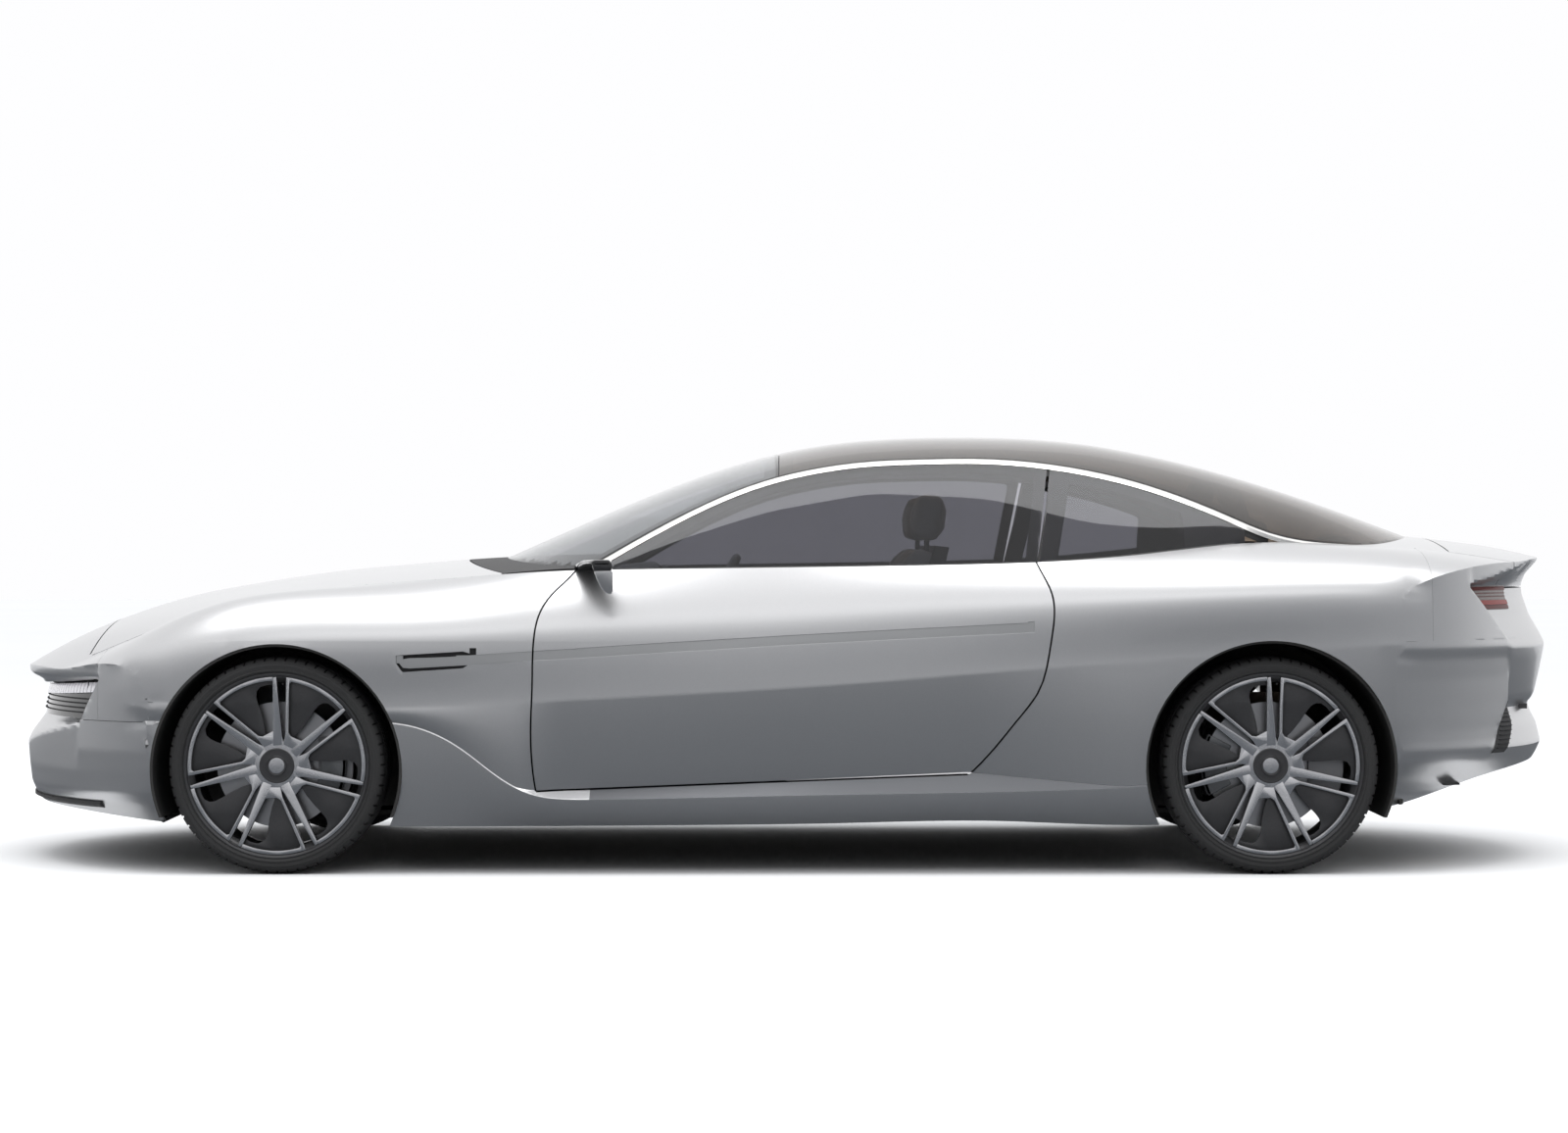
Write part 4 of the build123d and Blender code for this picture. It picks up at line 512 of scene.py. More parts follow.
def score(bm, field, level=0.0, near=0.0004):
    values = field_values(bm, field) - level
    on_line = set()
    for v, value in zip(bm.verts, values):
        if abs(value) < near:
            on_line.add(v)
    value_of = dict(zip(bm.verts, values))
    for edge in list(bm.edges):
        a, b = edge.verts
        if a in on_line or b in on_line:
            continue
        va, vb = value_of[a], value_of[b]
        if va * vb < 0:
            _, new = bmesh.utils.edge_split(edge, a, va / (va - vb))
            on_line.add(new)
    faces = {f for v in on_line for f in v.link_faces}
    for face in faces:
        ends = [v for v in face.verts if v in on_line]
        while len(ends) >= 2:
            a, b = ends[0], ends[1]
            apart = all(b not in e.verts for e in a.link_edges)
            if apart and a in face.verts and b in face.verts:
                bmesh.utils.face_split(face, a, b)
            ends = ends[2:]


def polygon_field(points, axes):
    """Signed distance to a closed outline of (u, v) points, positive inside; axes picks u and v."""
    p = np.array(points)
    q = np.roll(p, -1, axis=0)

    def field(x, y, z):
        planes = (x, y, z)
        u, v = planes[axes[0]], planes[axes[1]]
        best = np.full(len(u), 1e9)
        inside = np.zeros(len(u), dtype=bool)
        for (ua, va), (ub, vb) in zip(p, q):
            du, dv = ub - ua, vb - va
            share = np.clip(((u - ua) * du + (v - va) * dv) / (du * du + dv * dv + 1e-18), 0, 1)
            best = np.minimum(best, np.hypot(u - ua - share * du, v - va - share * dv))
            crosses = (va > v) != (vb > v)
            with np.errstate(divide="ignore", invalid="ignore"):
                at = ua + (v - va) * du / (dv if dv else 1e-18)
            inside ^= crosses & (u < at)
        return np.where(inside, best, -best)

    return field


def rounded(points, count=10):
    """More points along a smooth line through a few (u, v) points."""
    line = spline([(u, v, 0.0) for u, v in points], count * (len(points) - 1), 0.5)
    keepers = [0]
    for k in range(1, len(line)):
        if np.linalg.norm(line[k] - line[keepers[-1]]) > 1e-6:
            keepers.append(k)
    return [tuple(line[k][:2]) for k in keepers]


def drawn(points):
    return [(along(x), z * M) for x, z in points]


print("fields and scoring ready")


# %% [markdown]
# ## This car's own shut lines
#
# The door's outline is two drawn lines that run off the body above and below. The bonnet ends in an arc
# at the cowl, the boot lid is a plain rectangle seen from above, and each wheel arch is a circle a
# little over the axle. A measured distance is enough for all of them, so no cutting tool is modelled.

# %% Shut lines, arches, mouth, vent and strip
DOOR_FRONT = ((-628, 960), (-676, 884), (-720, 840), (-754, 781), (-767, 716), (-772, 569), (-776, 451),
              (-762, 250))
DOOR_REAR = ((547, 301), (606, 363), (694, 472), (753, 554), (777, 628), (792, 716), (800, 790), (793, 849),
             (772, 898), (745, 960))
door_field = polygon_field(rounded(drawn(DOOR_FRONT)) + rounded(drawn(DOOR_REAR)), (0, 2))
BELT_TABLE_X = np.array([along(x) for x in STATIONS])
BELT_TABLE_Y = np.array([BELT_Y(x) * M for x in STATIONS])


def belt_at(x):
    return np.interp(x, BELT_TABLE_X, BELT_TABLE_Y)


BONNET_FRONT = along(-2170)
cowl_corner = along(-860)
cowl_middle = along(-1035)
cowl_sag = cowl_corner - cowl_middle
cowl_half = float(belt_at(cowl_corner))
cowl_radius = (cowl_half**2 + cowl_sag**2) / (2 * cowl_sag)
cowl_centre = cowl_middle + cowl_radius


def bonnet_field(x, y, z):
    side = belt_at(x) - SHUT_GAP / 2 - y
    front = x - BONNET_FRONT
    rear = np.hypot(x - cowl_centre, y) - cowl_radius
    return np.minimum(np.minimum(side, front), rear)


LID_FRONT, LID_HALF, LID_LOW = along(2060), 0.560 + SHUT_GAP / 2, 0.862 - SHUT_GAP / 2


def lid_field(x, y, z):
    return np.minimum(np.minimum(x - LID_FRONT, LID_HALF - y), z - LID_LOW)


ARCH_RADIUS = 0.380
FRONT_ARCH_Z = AXLE_Z - 0.012
REAR_ARCH_Z = AXLE_Z - 0.002


def front_arch_field(x, y, z):
    return ARCH_RADIUS - np.hypot(x - FRONT_WHEEL.x, z - FRONT_ARCH_Z)


def rear_arch_field(x, y, z):
    return ARCH_RADIUS - np.hypot(x - REAR_WHEEL.x, z - REAR_ARCH_Z)


def level_field(axis, value):
    return lambda x, y, z: (x, y, z)[axis] - value


BUMPER_TOP, MOUTH_TOP = 0.457, 0.552
MOUTH_RISE, MOUTH_HALF = 0.030, 0.765
MOUTH_END, MOUTH_LEAN = along(-2172), 0.46


def mouth_field(x, y, z):
    """The opening under the bonnet's beak: its top rises outwards and its ends lean back."""
    top = MOUTH_TOP + MOUTH_RISE * (y / MOUTH_HALF)**2 - z
    end = MOUTH_END + MOUTH_LEAN * (z - BUMPER_TOP) - x
    return np.minimum(np.minimum(top, end), z - BUMPER_TOP + 0.0005)


FENDER_NOSE, TAIL_SPLIT = along(-2110), along(1950)
REAR_BUMPER_TOP, FLOOR_REAR, DECK_FRONT = 0.702, along(1860), along(1480)
SEAM = 0.0016
FINE_SEAM = 0.0006
VENT = drawn([(-1193, 660), (-1000, 671.5), (-925, 676.5), (-957, 662), (-957, 631), (-980, 622),
              (-1166, 610)])
vent_field = polygon_field(VENT, (0, 2))
INLAY = drawn([(-1181, 651), (-957, 661.5), (-759, 674), (-400, 697), (-13, 720), (350, 739.5), (732, 759),
               (738, 755), (738, 735), (732, 730), (350, 710.5), (-13, 691), (-400, 667.5), (-759, 645),
               (-957, 632), (-1160, 620.5)])
inlay_field = polygon_field(INLAY, (0, 2))
EDGE, GAP = (0.0,), (-SHUT_GAP / 2, SHUT_GAP / 2)
WIDE_SEAM, THIN_SEAM = (-SEAM / 2, SEAM / 2), (-FINE_SEAM / 2, FINE_SEAM / 2)
CUTS = (
    (front_arch_field, EDGE), (rear_arch_field, EDGE), (door_field, GAP), (bonnet_field, GAP),
    (lid_field, GAP), (level_field(2, BUMPER_TOP), WIDE_SEAM), (mouth_field, EDGE),
    (level_field(0, FENDER_NOSE), THIN_SEAM), (level_field(0, TAIL_SPLIT), THIN_SEAM),
    (level_field(2, REAR_BUMPER_TOP), THIN_SEAM), (level_field(0, FLOOR_REAR), EDGE),
    (level_field(0, DECK_FRONT), EDGE), (vent_field, EDGE), (inlay_field, EDGE))
body = bmesh.new()
body.from_mesh(BODY)
bmesh.ops.delete(body, geom=[f for f in body.faces if f.material_index == BOTTOM], context="FACES")
for field, levels in CUTS:
    for level in levels:
        score(body, field, level)
CUT = stored(body, "cut_body")
print("after cutting:", len(CUT.polygons), "faces")


# %% [markdown]
# ## Naming the panels
#
# After cutting, no face lies across a shut line, so the middle of a face is enough to tell its panel.
# The rules run from the large panels to the small ones, and a later rule wins. A face inside a gap or
# an opening gets no name and is never built.

# %% Which panel each face belongs to
def panel_faces():
    """The name of the panel of each face of the cut body, or None where the gap or an opening is."""
    c = np.array([p.center[:] for p in CUT.polygons])
    zone = np.array([p.material_index for p in CUT.polygons])
    ledge = zone == LEDGE
    zone[ledge] = SIDE
    x, y, z = c[:, 0], np.abs(c[:, 1]), c[:, 2]
    door, bonnet, lid = door_field(x, y, z), bonnet_field(x, y, z), lid_field(x, y, z)
    top = zone == CROWN
    gap, seam = SHUT_GAP / 2, FINE_SEAM / 2
    names = np.full(len(c), "side", dtype=object)
    names[(x < -0.6) & (x > FENDER_NOSE + seam)] = "fender"
    nose = x < FENDER_NOSE - seam
    names[nose] = "nose_panel"
    names[(np.abs(x - FENDER_NOSE) < seam) & (z > BUMPER_TOP)] = None
    names[(z < BUMPER_TOP) & (x < FRONT_WHEEL.x)] = "front_bumper"
    names[(np.abs(z - BUMPER_TOP) < SEAM / 2) & (x < FRONT_WHEEL.x)] = None
    names[x > TAIL_SPLIT + seam] = "tail_panel"
    names[(np.abs(x - TAIL_SPLIT) < seam) & (z > REAR_BUMPER_TOP)] = None
    names[(z < REAR_BUMPER_TOP) & (x > FLOOR_REAR)] = "rear_bumper"
    names[(np.abs(z - REAR_BUMPER_TOP) < seam) & (x > FLOOR_REAR)] = None
    names[top & (x > FENDER_NOSE)] = None
    before_lid = (lid < -gap) & (x < TAIL_SPLIT + 0.12) & (y < LID_HALF)
    names[top & (x > DECK_FRONT) & before_lid] = "rear_deck"
    names[top & (x > DECK_FRONT) & (x <= TAIL_SPLIT - seam)] = "rear_deck"
    names[top & (x > TAIL_SPLIT + seam) & (y > LID_HALF)] = "tail_panel"
    names[top & (x < along(1780)) & (y < 0.60) & (x > DECK_FRONT)] = None
    on_crown = top | nose
    names[on_crown & (bonnet > gap)] = "bonnet"
    names[on_crown & (np.abs(bonnet) < gap)] = None
    rear_top = x > LID_FRONT - SHUT_GAP
    names[rear_top & (lid > gap)] = "boot_lid"
    names[rear_top & (np.abs(lid) < gap)] = None
    on_side = (zone == SIDE) & (np.abs(x) < 1.0)
    names[on_side & (door > gap)] = "door"
    names[on_side & (np.abs(door) < gap)] = None
    names[on_side & (door > gap) & (inlay_field(x, y, z) > 0)] = "inlay"
    fender = names == "fender"
    names[fender & (vent_field(x, y, z) > 0)] = None
    names[fender & (inlay_field(x, y, z) > 0)] = "fender_inlay"
    names[(mouth_field(x, y, z) > 0) & (x < FENDER_NOSE)] = None
    names[ledge & (names == "side")] = "ledge"
    arch = (front_arch_field(x, y, z) > 0) | (rear_arch_field(x, y, z) > 0)
    names[arch & (y > 0.45)] = None
    return names, c[:, 1]


FACE_NAMES, FACE_Y = panel_faces()
print("panels:", sorted({n for n in FACE_NAMES if n}))


# %% [markdown]
# ## Shared effects as node groups
#
# Grain, flakes, fibres and brushing are each one small group with named sockets. A group only hands
# out a value, a colour or a normal; the shader and its own constants stay in the material.

# %% Three effect groups
FLOAT, COLOR, VECTOR = "NodeSocketFloat", "NodeSocketColor", "NodeSocketVector"
TONES = [("Tone A", COLOR, (0.5, 0.5, 0.5, 1)), ("Tone B", COLOR, (0.4, 0.4, 0.4, 1))]
RESULTS = [("Color", COLOR), ("Height", FLOAT), ("Normal", VECTOR)]


def new_group(name, inputs):
    tree = bpy.data.node_groups.new(name, "ShaderNodeTree")
    for label, kind, default in inputs + TONES:
        socket = tree.interface.new_socket(label, in_out="INPUT", socket_type=kind)
        socket.default_value = default
    for label, kind in RESULTS:
        tree.interface.new_socket(label, in_out="OUTPUT", socket_type=kind)
    start = tree.nodes.new("NodeGroupInput")
    end = tree.nodes.new("NodeGroupOutput")
    return tree, start, end


def tones_and_relief(tree, start, end, factor, height, distance):
    """What every group ends with: two tones mixed by a factor, and a bump from a height."""
    bump = tree.nodes.new("ShaderNodeBump")
    bump.inputs["Distance"].default_value = distance
    mix = tree.nodes.new("ShaderNodeMix")
    mix.data_type = "RGBA"
    wires = ((factor, mix.inputs["Factor"]), (start.outputs["Tone A"], mix.inputs["A"]),
             (start.outputs["Tone B"], mix.inputs["B"]), (mix.outputs["Result"], end.inputs["Color"]),
             (start.outputs["Relief"], bump.inputs["Strength"]), (height, bump.inputs["Height"]),
             (height, end.inputs["Height"]), (bump.outputs["Normal"], end.inputs["Normal"]))
    for source, socket in wires:
        tree.links.new(source, socket)


def grain_group():
    """Fine uneven relief, with a slow drift between two tones."""
    tree, start, end = new_group(
        "Grain", [("Scale", FLOAT, 400.0), ("Relief", FLOAT, 0.2), ("Drift", FLOAT, 3.0)])
    n, link_up = tree.nodes, tree.links.new
    place = n.new("ShaderNodeTexCoord")
    fine = n.new("ShaderNodeTexNoise")
    fine.inputs["Detail"].default_value = 4.0
    slow = n.new("ShaderNodeTexNoise")
    slow.inputs["Detail"].default_value = 3.0
    link_up(place.outputs["Object"], fine.inputs["Vector"])
    link_up(place.outputs["Object"], slow.inputs["Vector"])
    link_up(start.outputs["Scale"], fine.inputs["Scale"])
    link_up(start.outputs["Drift"], slow.inputs["Scale"])
    tones_and_relief(tree, start, end, slow.outputs["Fac"], fine.outputs["Fac"], 0.001)
    return tree


def cells_group():
    """Closed cells, for leather pores, metal flake and moulded grain."""
    tree, start, end = new_group("Cells", [("Scale", FLOAT, 900.0), ("Relief", FLOAT, 0.3)])
    n, link_up = tree.nodes, tree.links.new
    place = n.new("ShaderNodeTexCoord")
    cell = n.new("ShaderNodeTexVoronoi")
    shade = n.new("ShaderNodeSeparateColor")
    link_up(place.outputs["Object"], cell.inputs["Vector"])
    link_up(start.outputs["Scale"], cell.inputs["Scale"])
    link_up(cell.outputs["Color"], shade.inputs["Color"])
    tones_and_relief(tree, start, end, shade.outputs["Red"], cell.outputs["Distance"], 0.0006)
    return tree


def brushed_group():
    """Fine lines around the wheel's axis or along the car, as a lathe or a brush leaves them."""
    tree, start, end = new_group(
        "Brushed", [("Scale", FLOAT, 300.0), ("Relief", FLOAT, 0.15), ("Centre", VECTOR, (0, 0, 0))])
    n, link_up = tree.nodes, tree.links.new
    place = n.new("ShaderNodeTexCoord")
    off = n.new("ShaderNodeVectorMath")
    off.operation = "SUBTRACT"
    flat = n.new("ShaderNodeVectorMath")
    flat.operation = "MULTIPLY"
    flat.inputs[1].default_value = (1, 0, 1)
    reach = n.new("ShaderNodeVectorMath")
    reach.operation = "LENGTH"
    rings = n.new("ShaderNodeTexNoise")
    rings.noise_dimensions = "1D"
    rings.inputs["Detail"].default_value = 5.0
    link_up(place.outputs["Object"], off.inputs[0])
    link_up(start.outputs["Centre"], off.inputs[1])
    link_up(off.outputs["Vector"], flat.inputs[0])
    link_up(flat.outputs["Vector"], reach.inputs[0])
    link_up(reach.outputs["Value"], rings.inputs["W"])
    link_up(start.outputs["Scale"], rings.inputs["Scale"])
    tones_and_relief(tree, start, end, rings.outputs["Fac"], rings.outputs["Fac"], 0.0004)
    return tree


GRAIN, CELLS, BRUSHED = grain_group(), cells_group(), brushed_group()
print("node groups:", GRAIN.name, CELLS.name, BRUSHED.name)


# %% [markdown]
# ## Materials
#
# `finish` makes one material: a Principled shader whose constants sit on its own sockets, fed with
# colour and normal by one of the groups.

# %% Finishes
def finish(name, effect, tones, scale, relief, use_normal=True, drift=None, centre=None, **constants):
    mat = bpy.data.materials.new(name)
    mat.use_nodes = True
    nodes, link_up = mat.node_tree.nodes, mat.node_tree.links.new
    shader = nodes["Principled BSDF"]
    group = nodes.new("ShaderNodeGroup")
    group.node_tree = effect
    group.inputs["Scale"].default_value = scale
    group.inputs["Relief"].default_value = relief
    group.inputs["Tone A"].default_value = (*tones[0], 1.0)
    group.inputs["Tone B"].default_value = (*tones[1], 1.0)
    if drift is not None:
        group.inputs["Drift"].default_value = drift
    if centre is not None:
        group.inputs["Centre"].default_value = centre
    link_up(group.outputs["Color"], shader.inputs["Base Color"])
    if use_normal:
        link_up(group.outputs["Normal"], shader.inputs["Normal"])
    for label, value in constants.items():
        shader.inputs[label.replace("_", " ")].default_value = value
    return mat


def let_through(mat, factor, tint=(1, 1, 1)):
    """Mixes the material's shader with plain transparency by a factor."""
    nodes, link_up = mat.node_tree.nodes, mat.node_tree.links.new
    clear = nodes.new("ShaderNodeBsdfTransparent")
    clear.inputs["Color"].default_value = (*tint, 1.0)
    mix = nodes.new("ShaderNodeMixShader")
    link_up(factor, mix.inputs[0])
    link_up(nodes["Principled BSDF"].outputs[0], mix.inputs[1])
    link_up(clear.outputs[0], mix.inputs[2])
    link_up(mix.outputs[0], nodes["Material Output"].inputs["Surface"])


def glass(name, tint, shade, roughness=0.02):
    """Clear tinted sheet: it bends light little and lets shadow rays through in its own tint."""
    mat = finish(name, GRAIN, (tint, tuple(c * 0.94 for c in tint)), 60.0, 0.0, use_normal=False, drift=2.0,
                 Roughness=roughness, IOR=1.45, Transmission_Weight=1.0, Specular_IOR_Level=0.6)
    path = mat.node_tree.nodes.new("ShaderNodeLightPath")
    let_through(mat, path.outputs["Is Shadow Ray"], shade)
    return mat


PAINT = finish("silver_paint", CELLS, ((0.64, 0.64, 0.645), (0.57, 0.575, 0.585)), 1600.0, 0.05,
               Metallic=0.95, Roughness=0.33, Coat_Weight=0.25, Coat_Roughness=0.08)
PAINT_IN = finish("silver_paint_inside", GRAIN, ((0.30, 0.30, 0.31), (0.24, 0.24, 0.25)), 300.0, 0.1,
                  Metallic=0.3, Roughness=0.55)
INLAY_PAINT = finish("satin_grey_strip", GRAIN, ((0.45, 0.455, 0.46), (0.40, 0.405, 0.41)), 800.0, 0.04,
                     Metallic=0.8, Roughness=0.38)
# Painted shade: the step along the sill is painted far darker than the silver around it, standing in for the
# shade and the dark reflection it shows under the door's lower edge.
STEP_PAINT_AND_SHADE = finish("satin_step_painted_shade", GRAIN, ((0.17, 0.175, 0.185), (0.14, 0.145, 0.155)), 800.0, 0.04,
                    Metallic=0.7, Roughness=0.42)
GLOSS_BLACK = finish("gloss_black", GRAIN, ((0.012, 0.012, 0.013), (0.018, 0.018, 0.019)), 300.0, 0.02,
                     Roughness=0.12, Coat_Weight=0.5)
MATT_BLACK = finish("moulded_black", CELLS, ((0.020, 0.020, 0.021), (0.028, 0.028, 0.029)), 900.0, 0.35,
                    Roughness=0.62)
UNDERBODY = finish("underbody_coat", GRAIN, ((0.018, 0.018, 0.018), (0.030, 0.029, 0.028)), 250.0, 0.5,
                   Roughness=0.8)
RUBBER = finish("tyre_rubber", GRAIN, ((0.016, 0.016, 0.017), (0.026, 0.026, 0.026)), 500.0, 0.25,
                Roughness=0.68)
SEAL = finish("seal_rubber", GRAIN, ((0.010, 0.010, 0.010), (0.016, 0.016, 0.016)), 700.0, 0.15,
              Roughness=0.5)
BRIGHT = finish("bright_trim", GRAIN, ((0.93, 0.92, 0.89), (0.88, 0.87, 0.85)), 900.0, 0.03,
                Metallic=0.9, Roughness=0.22)
DARK_ALLOY = finish("dark_wheel_paint", CELLS, ((0.035, 0.035, 0.037), (0.055, 0.055, 0.058)), 1500.0, 0.06,
                    Metallic=0.5, Roughness=0.4, Coat_Weight=0.3)
CAST = finish("cast_aluminium", GRAIN, ((0.32, 0.32, 0.33), (0.24, 0.24, 0.25)), 260.0, 0.5,
              Metallic=0.8, Roughness=0.5)
CHASSIS = finish("coated_steel", GRAIN, ((0.045, 0.045, 0.047), (0.075, 0.073, 0.07)), 220.0, 0.35,
                 Metallic=0.4, Roughness=0.5)
CALIPER = finish("caliper_lacquer", GRAIN, ((0.10, 0.105, 0.11), (0.14, 0.145, 0.15)), 300.0, 0.2,
                 Metallic=0.6, Roughness=0.35, Coat_Weight=0.4)
LEATHER = finish("seat_leather", CELLS, ((0.22, 0.215, 0.21), (0.27, 0.265, 0.26)), 1100.0, 0.5,
                 Roughness=0.48, Sheen_Weight=0.1)
DARK_LEATHER = finish("dark_leather", CELLS, ((0.035, 0.034, 0.035), (0.05, 0.049, 0.05)), 1100.0, 0.5,
                      Roughness=0.5)
CARPET = finish("carpet", GRAIN, ((0.03, 0.03, 0.032), (0.05, 0.05, 0.052)), 900.0, 1.0, Roughness=0.95,
                Sheen_Weight=0.4)
LENS_RED = finish("red_lens", GRAIN, ((0.24, 0.030, 0.026), (0.20, 0.025, 0.022)), 300.0, 0.02,
                  Roughness=0.25, Specular_IOR_Level=0.4)
LENS_PALE = finish("pale_lens", GRAIN, ((0.75, 0.74, 0.77), (0.68, 0.67, 0.70)), 300.0, 0.02, Roughness=0.12,
                   Coat_Weight=1.0, Emission_Color=(0.80, 0.79, 0.84, 1.0), Emission_Strength=0.16)
REFLECTOR = finish("reflector", GRAIN, ((0.7, 0.71, 0.73), (0.5, 0.51, 0.54)), 120.0, 0.3, Metallic=0.95,
                   Roughness=0.18)
SCREEN_GLASS = glass("windscreen_glass", (0.50, 0.52, 0.54), (0.70, 0.72, 0.74))
SIDE_GLASS = glass("side_glass", (0.30, 0.30, 0.33), (0.50, 0.51, 0.54))
ROOF_GLASS = glass("bronze_roof_glass", (0.20, 0.16, 0.125), (0.34, 0.30, 0.26), roughness=0.05)


def machined(name, centre):
    return finish(name, BRUSHED, ((0.82, 0.82, 0.83), (0.68, 0.68, 0.70)), 900.0, 0.25, centre=centre,
                  Metallic=1.0, Roughness=0.26)


def turned_steel(name, centre):
    return finish(name, BRUSHED, ((0.55, 0.55, 0.56), (0.42, 0.42, 0.43)), 1400.0, 0.3, centre=centre,
                  Metallic=1.0, Roughness=0.3)


print("materials:", len(bpy.data.materials))


# %% [markdown]
# ## Painted panels
#
# Each panel is lifted out of the cut skin, thickened inwards and given a small radius on its edges.
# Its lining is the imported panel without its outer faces, so hinges, returns and boxes stay exactly
# where the CAD has them. Skin and lining together stand for the node.

# %% Skin and lining
BODY_OF = {n: name for name, nodes in frame["record"]["behaviour"]["bodies"].items() for n in nodes}


def paint_on(obj, material):
    obj.data.materials.clear()
    obj.data.materials.append(material)


def shade(mesh, angle=20):
    mesh.polygons.foreach_set("use_smooth", [True] * len(mesh.polygons))
    mesh.set_sharp_from_angle(angle=radians(angle))


def round_edges(obj, width, angle):
    """A small bevel on the edges that turn by more than an angle."""
    bevel = obj.modifiers.new("edges", "BEVEL")
    bevel.width = width
    bevel.segments = 2
    bevel.limit_method = "ANGLE"
    bevel.angle_limit = radians(angle)


def thicken(obj, depth, rim=0.0012):
    """Gives a sheet a depth behind its face, and its rim a radius."""
    solid = obj.modifiers.new("wall", "SOLIDIFY")
    solid.thickness = depth
    solid.offset = -1.0
    solid.use_even_offset = False
    if rim:
        round_edges(obj, rim, 55)
    name = obj.name
    mesh = baked(obj)
    mesh.name = name
    return link(name, mesh)


SIDE_WORD = {-1: "_left", 1: "_right", 0: ""}


def skin_of(panel, side):
    """The faces of one panel as a mesh; side is -1 left, 1 right, 0 both."""
    bm = bmesh.new()
    bm.from_mesh(CUT)
    bm.faces.ensure_lookup_table()
    wrong = [f for f, name, y in zip(bm.faces, FACE_NAMES, FACE_Y)
             if name != panel or (side and y * side < 0)]
    bmesh.ops.delete(bm, geom=wrong, context="FACES")
    return stored(bm, panel + SIDE_WORD[side] + "_skin")


SKIN_TREE = BVHTree.FromPolygons([v.co for v in CUT.vertices], [p.vertices for p in CUT.polygons])


def lining(node, material):
    """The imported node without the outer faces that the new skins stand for."""
    bm = bmesh.new()
    bm.from_mesh(NODES[node].data)
    covered = []
    for f in bm.faces:
        spot = f.calc_center_median()
        hit, normal, _, gap = SKIN_TREE.find_nearest(spot, 0.12)
        if hit is None:
            continue
        height = (spot - hit).dot(normal)
        pokes = any((v.co - at).dot(n) > 0.0005 for v in f.verts
                    for at, n, _, _ in [SKIN_TREE.find_nearest(v.co)])
        if height > -0.0025 or pokes or (gap < 0.012 and normal.dot(f.normal) > 0.5):
            covered.append(f)
    bmesh.ops.delete(bm, geom=covered, context="FACES")
    mesh = stored(bm, node + "_lining")
    mesh.materials.clear()
    mesh.materials.append(material)
    return link(node + "_lining", mesh)


print("body tree holds", len(CUT.polygons), "faces")


# %% Panels, their strips and their bodies
PANELS = [("front_bumper", 0), ("nose_panel", 0), ("fender", -1), ("fender", 1), ("side", -1), ("side", 1),
          ("tail_panel", 0), ("rear_bumper", 0), ("rear_deck", 0), ("bonnet", 0), ("boot_lid", 0),
          ("door", -1), ("door", 1)]
# The side's strip is the sill's step, in the dark paint that stands in for its shade.
STRIPS = {"door": ("inlay", INLAY_PAINT, 0.0018), "fender": ("fender_inlay", INLAY_PAINT, 0.0018),
          "side": ("ledge", STEP_PAINT_AND_SHADE, 0.0004)}
LINING_FINISH = {"door": DARK_LEATHER, "bonnet": PAINT_IN, "boot_lid": PAINT_IN}
SKIN_DEPTH = 0.006
for panel, side in PANELS:
    word = SIDE_WORD[side]
    node = panel + word
    body_name = BODY_OF[node]
    back = lining(node, LINING_FINISH.get(panel, MATT_BLACK))
    skin = thicken(link(node + "_skin", skin_of(panel, side)), SKIN_DEPTH)
    shade(skin.data)
    paint_on(skin, PAINT)
    pieces = [skin, back]
    if panel in STRIPS:
        faces, coat, sink = STRIPS[panel]
        strip = link(panel + "_strip" + word, skin_of(faces, side))
        normals = [v.normal.copy() for v in strip.data.vertices]
        for v, normal in zip(strip.data.vertices, normals):
            v.co -= normal * sink
        strip = thicken(strip, 0.003, rim=0.0)
        shade(strip.data)
        paint_on(strip, coat)
        pieces.append(strip)
    for piece in pieces:
        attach(piece, body_name)
    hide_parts(node)
    print(node, len(skin.data.polygons), "skin faces,", len(back.data.polygons), "lining faces")


# %% [markdown]
# ## Glass
#
# Windscreen and roof share one crown: a rail on each side and a raised middle line. The side glass
# leans from its slot up to the same rail. All panes are swept from those lines and trimmed by fields,
# as the panels were.

# %% The lines of the glass
TRIM_WIDTH = 0.014
GLASS_DEPTH = 0.005
CROWN_POWER = 2.2
SLOT_INSET, SLOT_DEPTH = 28.0, 0.030
LEAST_RISE, MOST_LEAN = 0.040, 0.75


def rail_foot(x):
    """The rail point and the glass's foot in its slot, on the left side."""
    rail = (-RAIL_Y(x) * M, RAIL_Z(x) * M)
    belt = (-(BELT_Y(x) - SLOT_INSET) * M, BELT_Z(x) * M)
    lean = min(MOST_LEAN, max(0.0, (rail[0] - belt[0]) / max(rail[1] - belt[1], 0.001)))
    foot_z = min(belt[1], rail[1] - LEAST_RISE) - SLOT_DEPTH
    return rail, (rail[0] - lean * (rail[1] - foot_z), foot_z)


def side_pane_row(x, rows=14):
    rail, foot = rail_foot(x)
    a = (along(x), foot[0], foot[1])
    b = (along(x), rail[0], rail[1])
    return spline([a, between(a, b, 8.0), b], rows, 0.01)


def crown_row(x, columns=44):
    rail, _ = rail_foot(x)
    centre = ROOF_Z(x) * M
    rise = centre - rail[1]
    shares = np.linspace(-1, 1, columns + 1)
    return np.array([(along(x), share * -rail[0], centre - rise * abs(share) ** CROWN_POWER)
                     for share in shares])


def sheet_mesh(name, rows):
    count = len(rows[0])
    faces = [(k * count + i, k * count + i + 1, (k + 1) * count + i + 1, (k + 1) * count + i)
             for k in range(len(rows) - 1) for i in range(count - 1)]
    mesh = bpy.data.meshes.new(name)
    mesh.from_pydata([tuple(p) for p in np.concatenate(rows)], [], faces)
    bm = bmesh.new()
    bm.from_mesh(mesh)
    bmesh.ops.recalc_face_normals(bm, faces=bm.faces)
    return mesh, bm


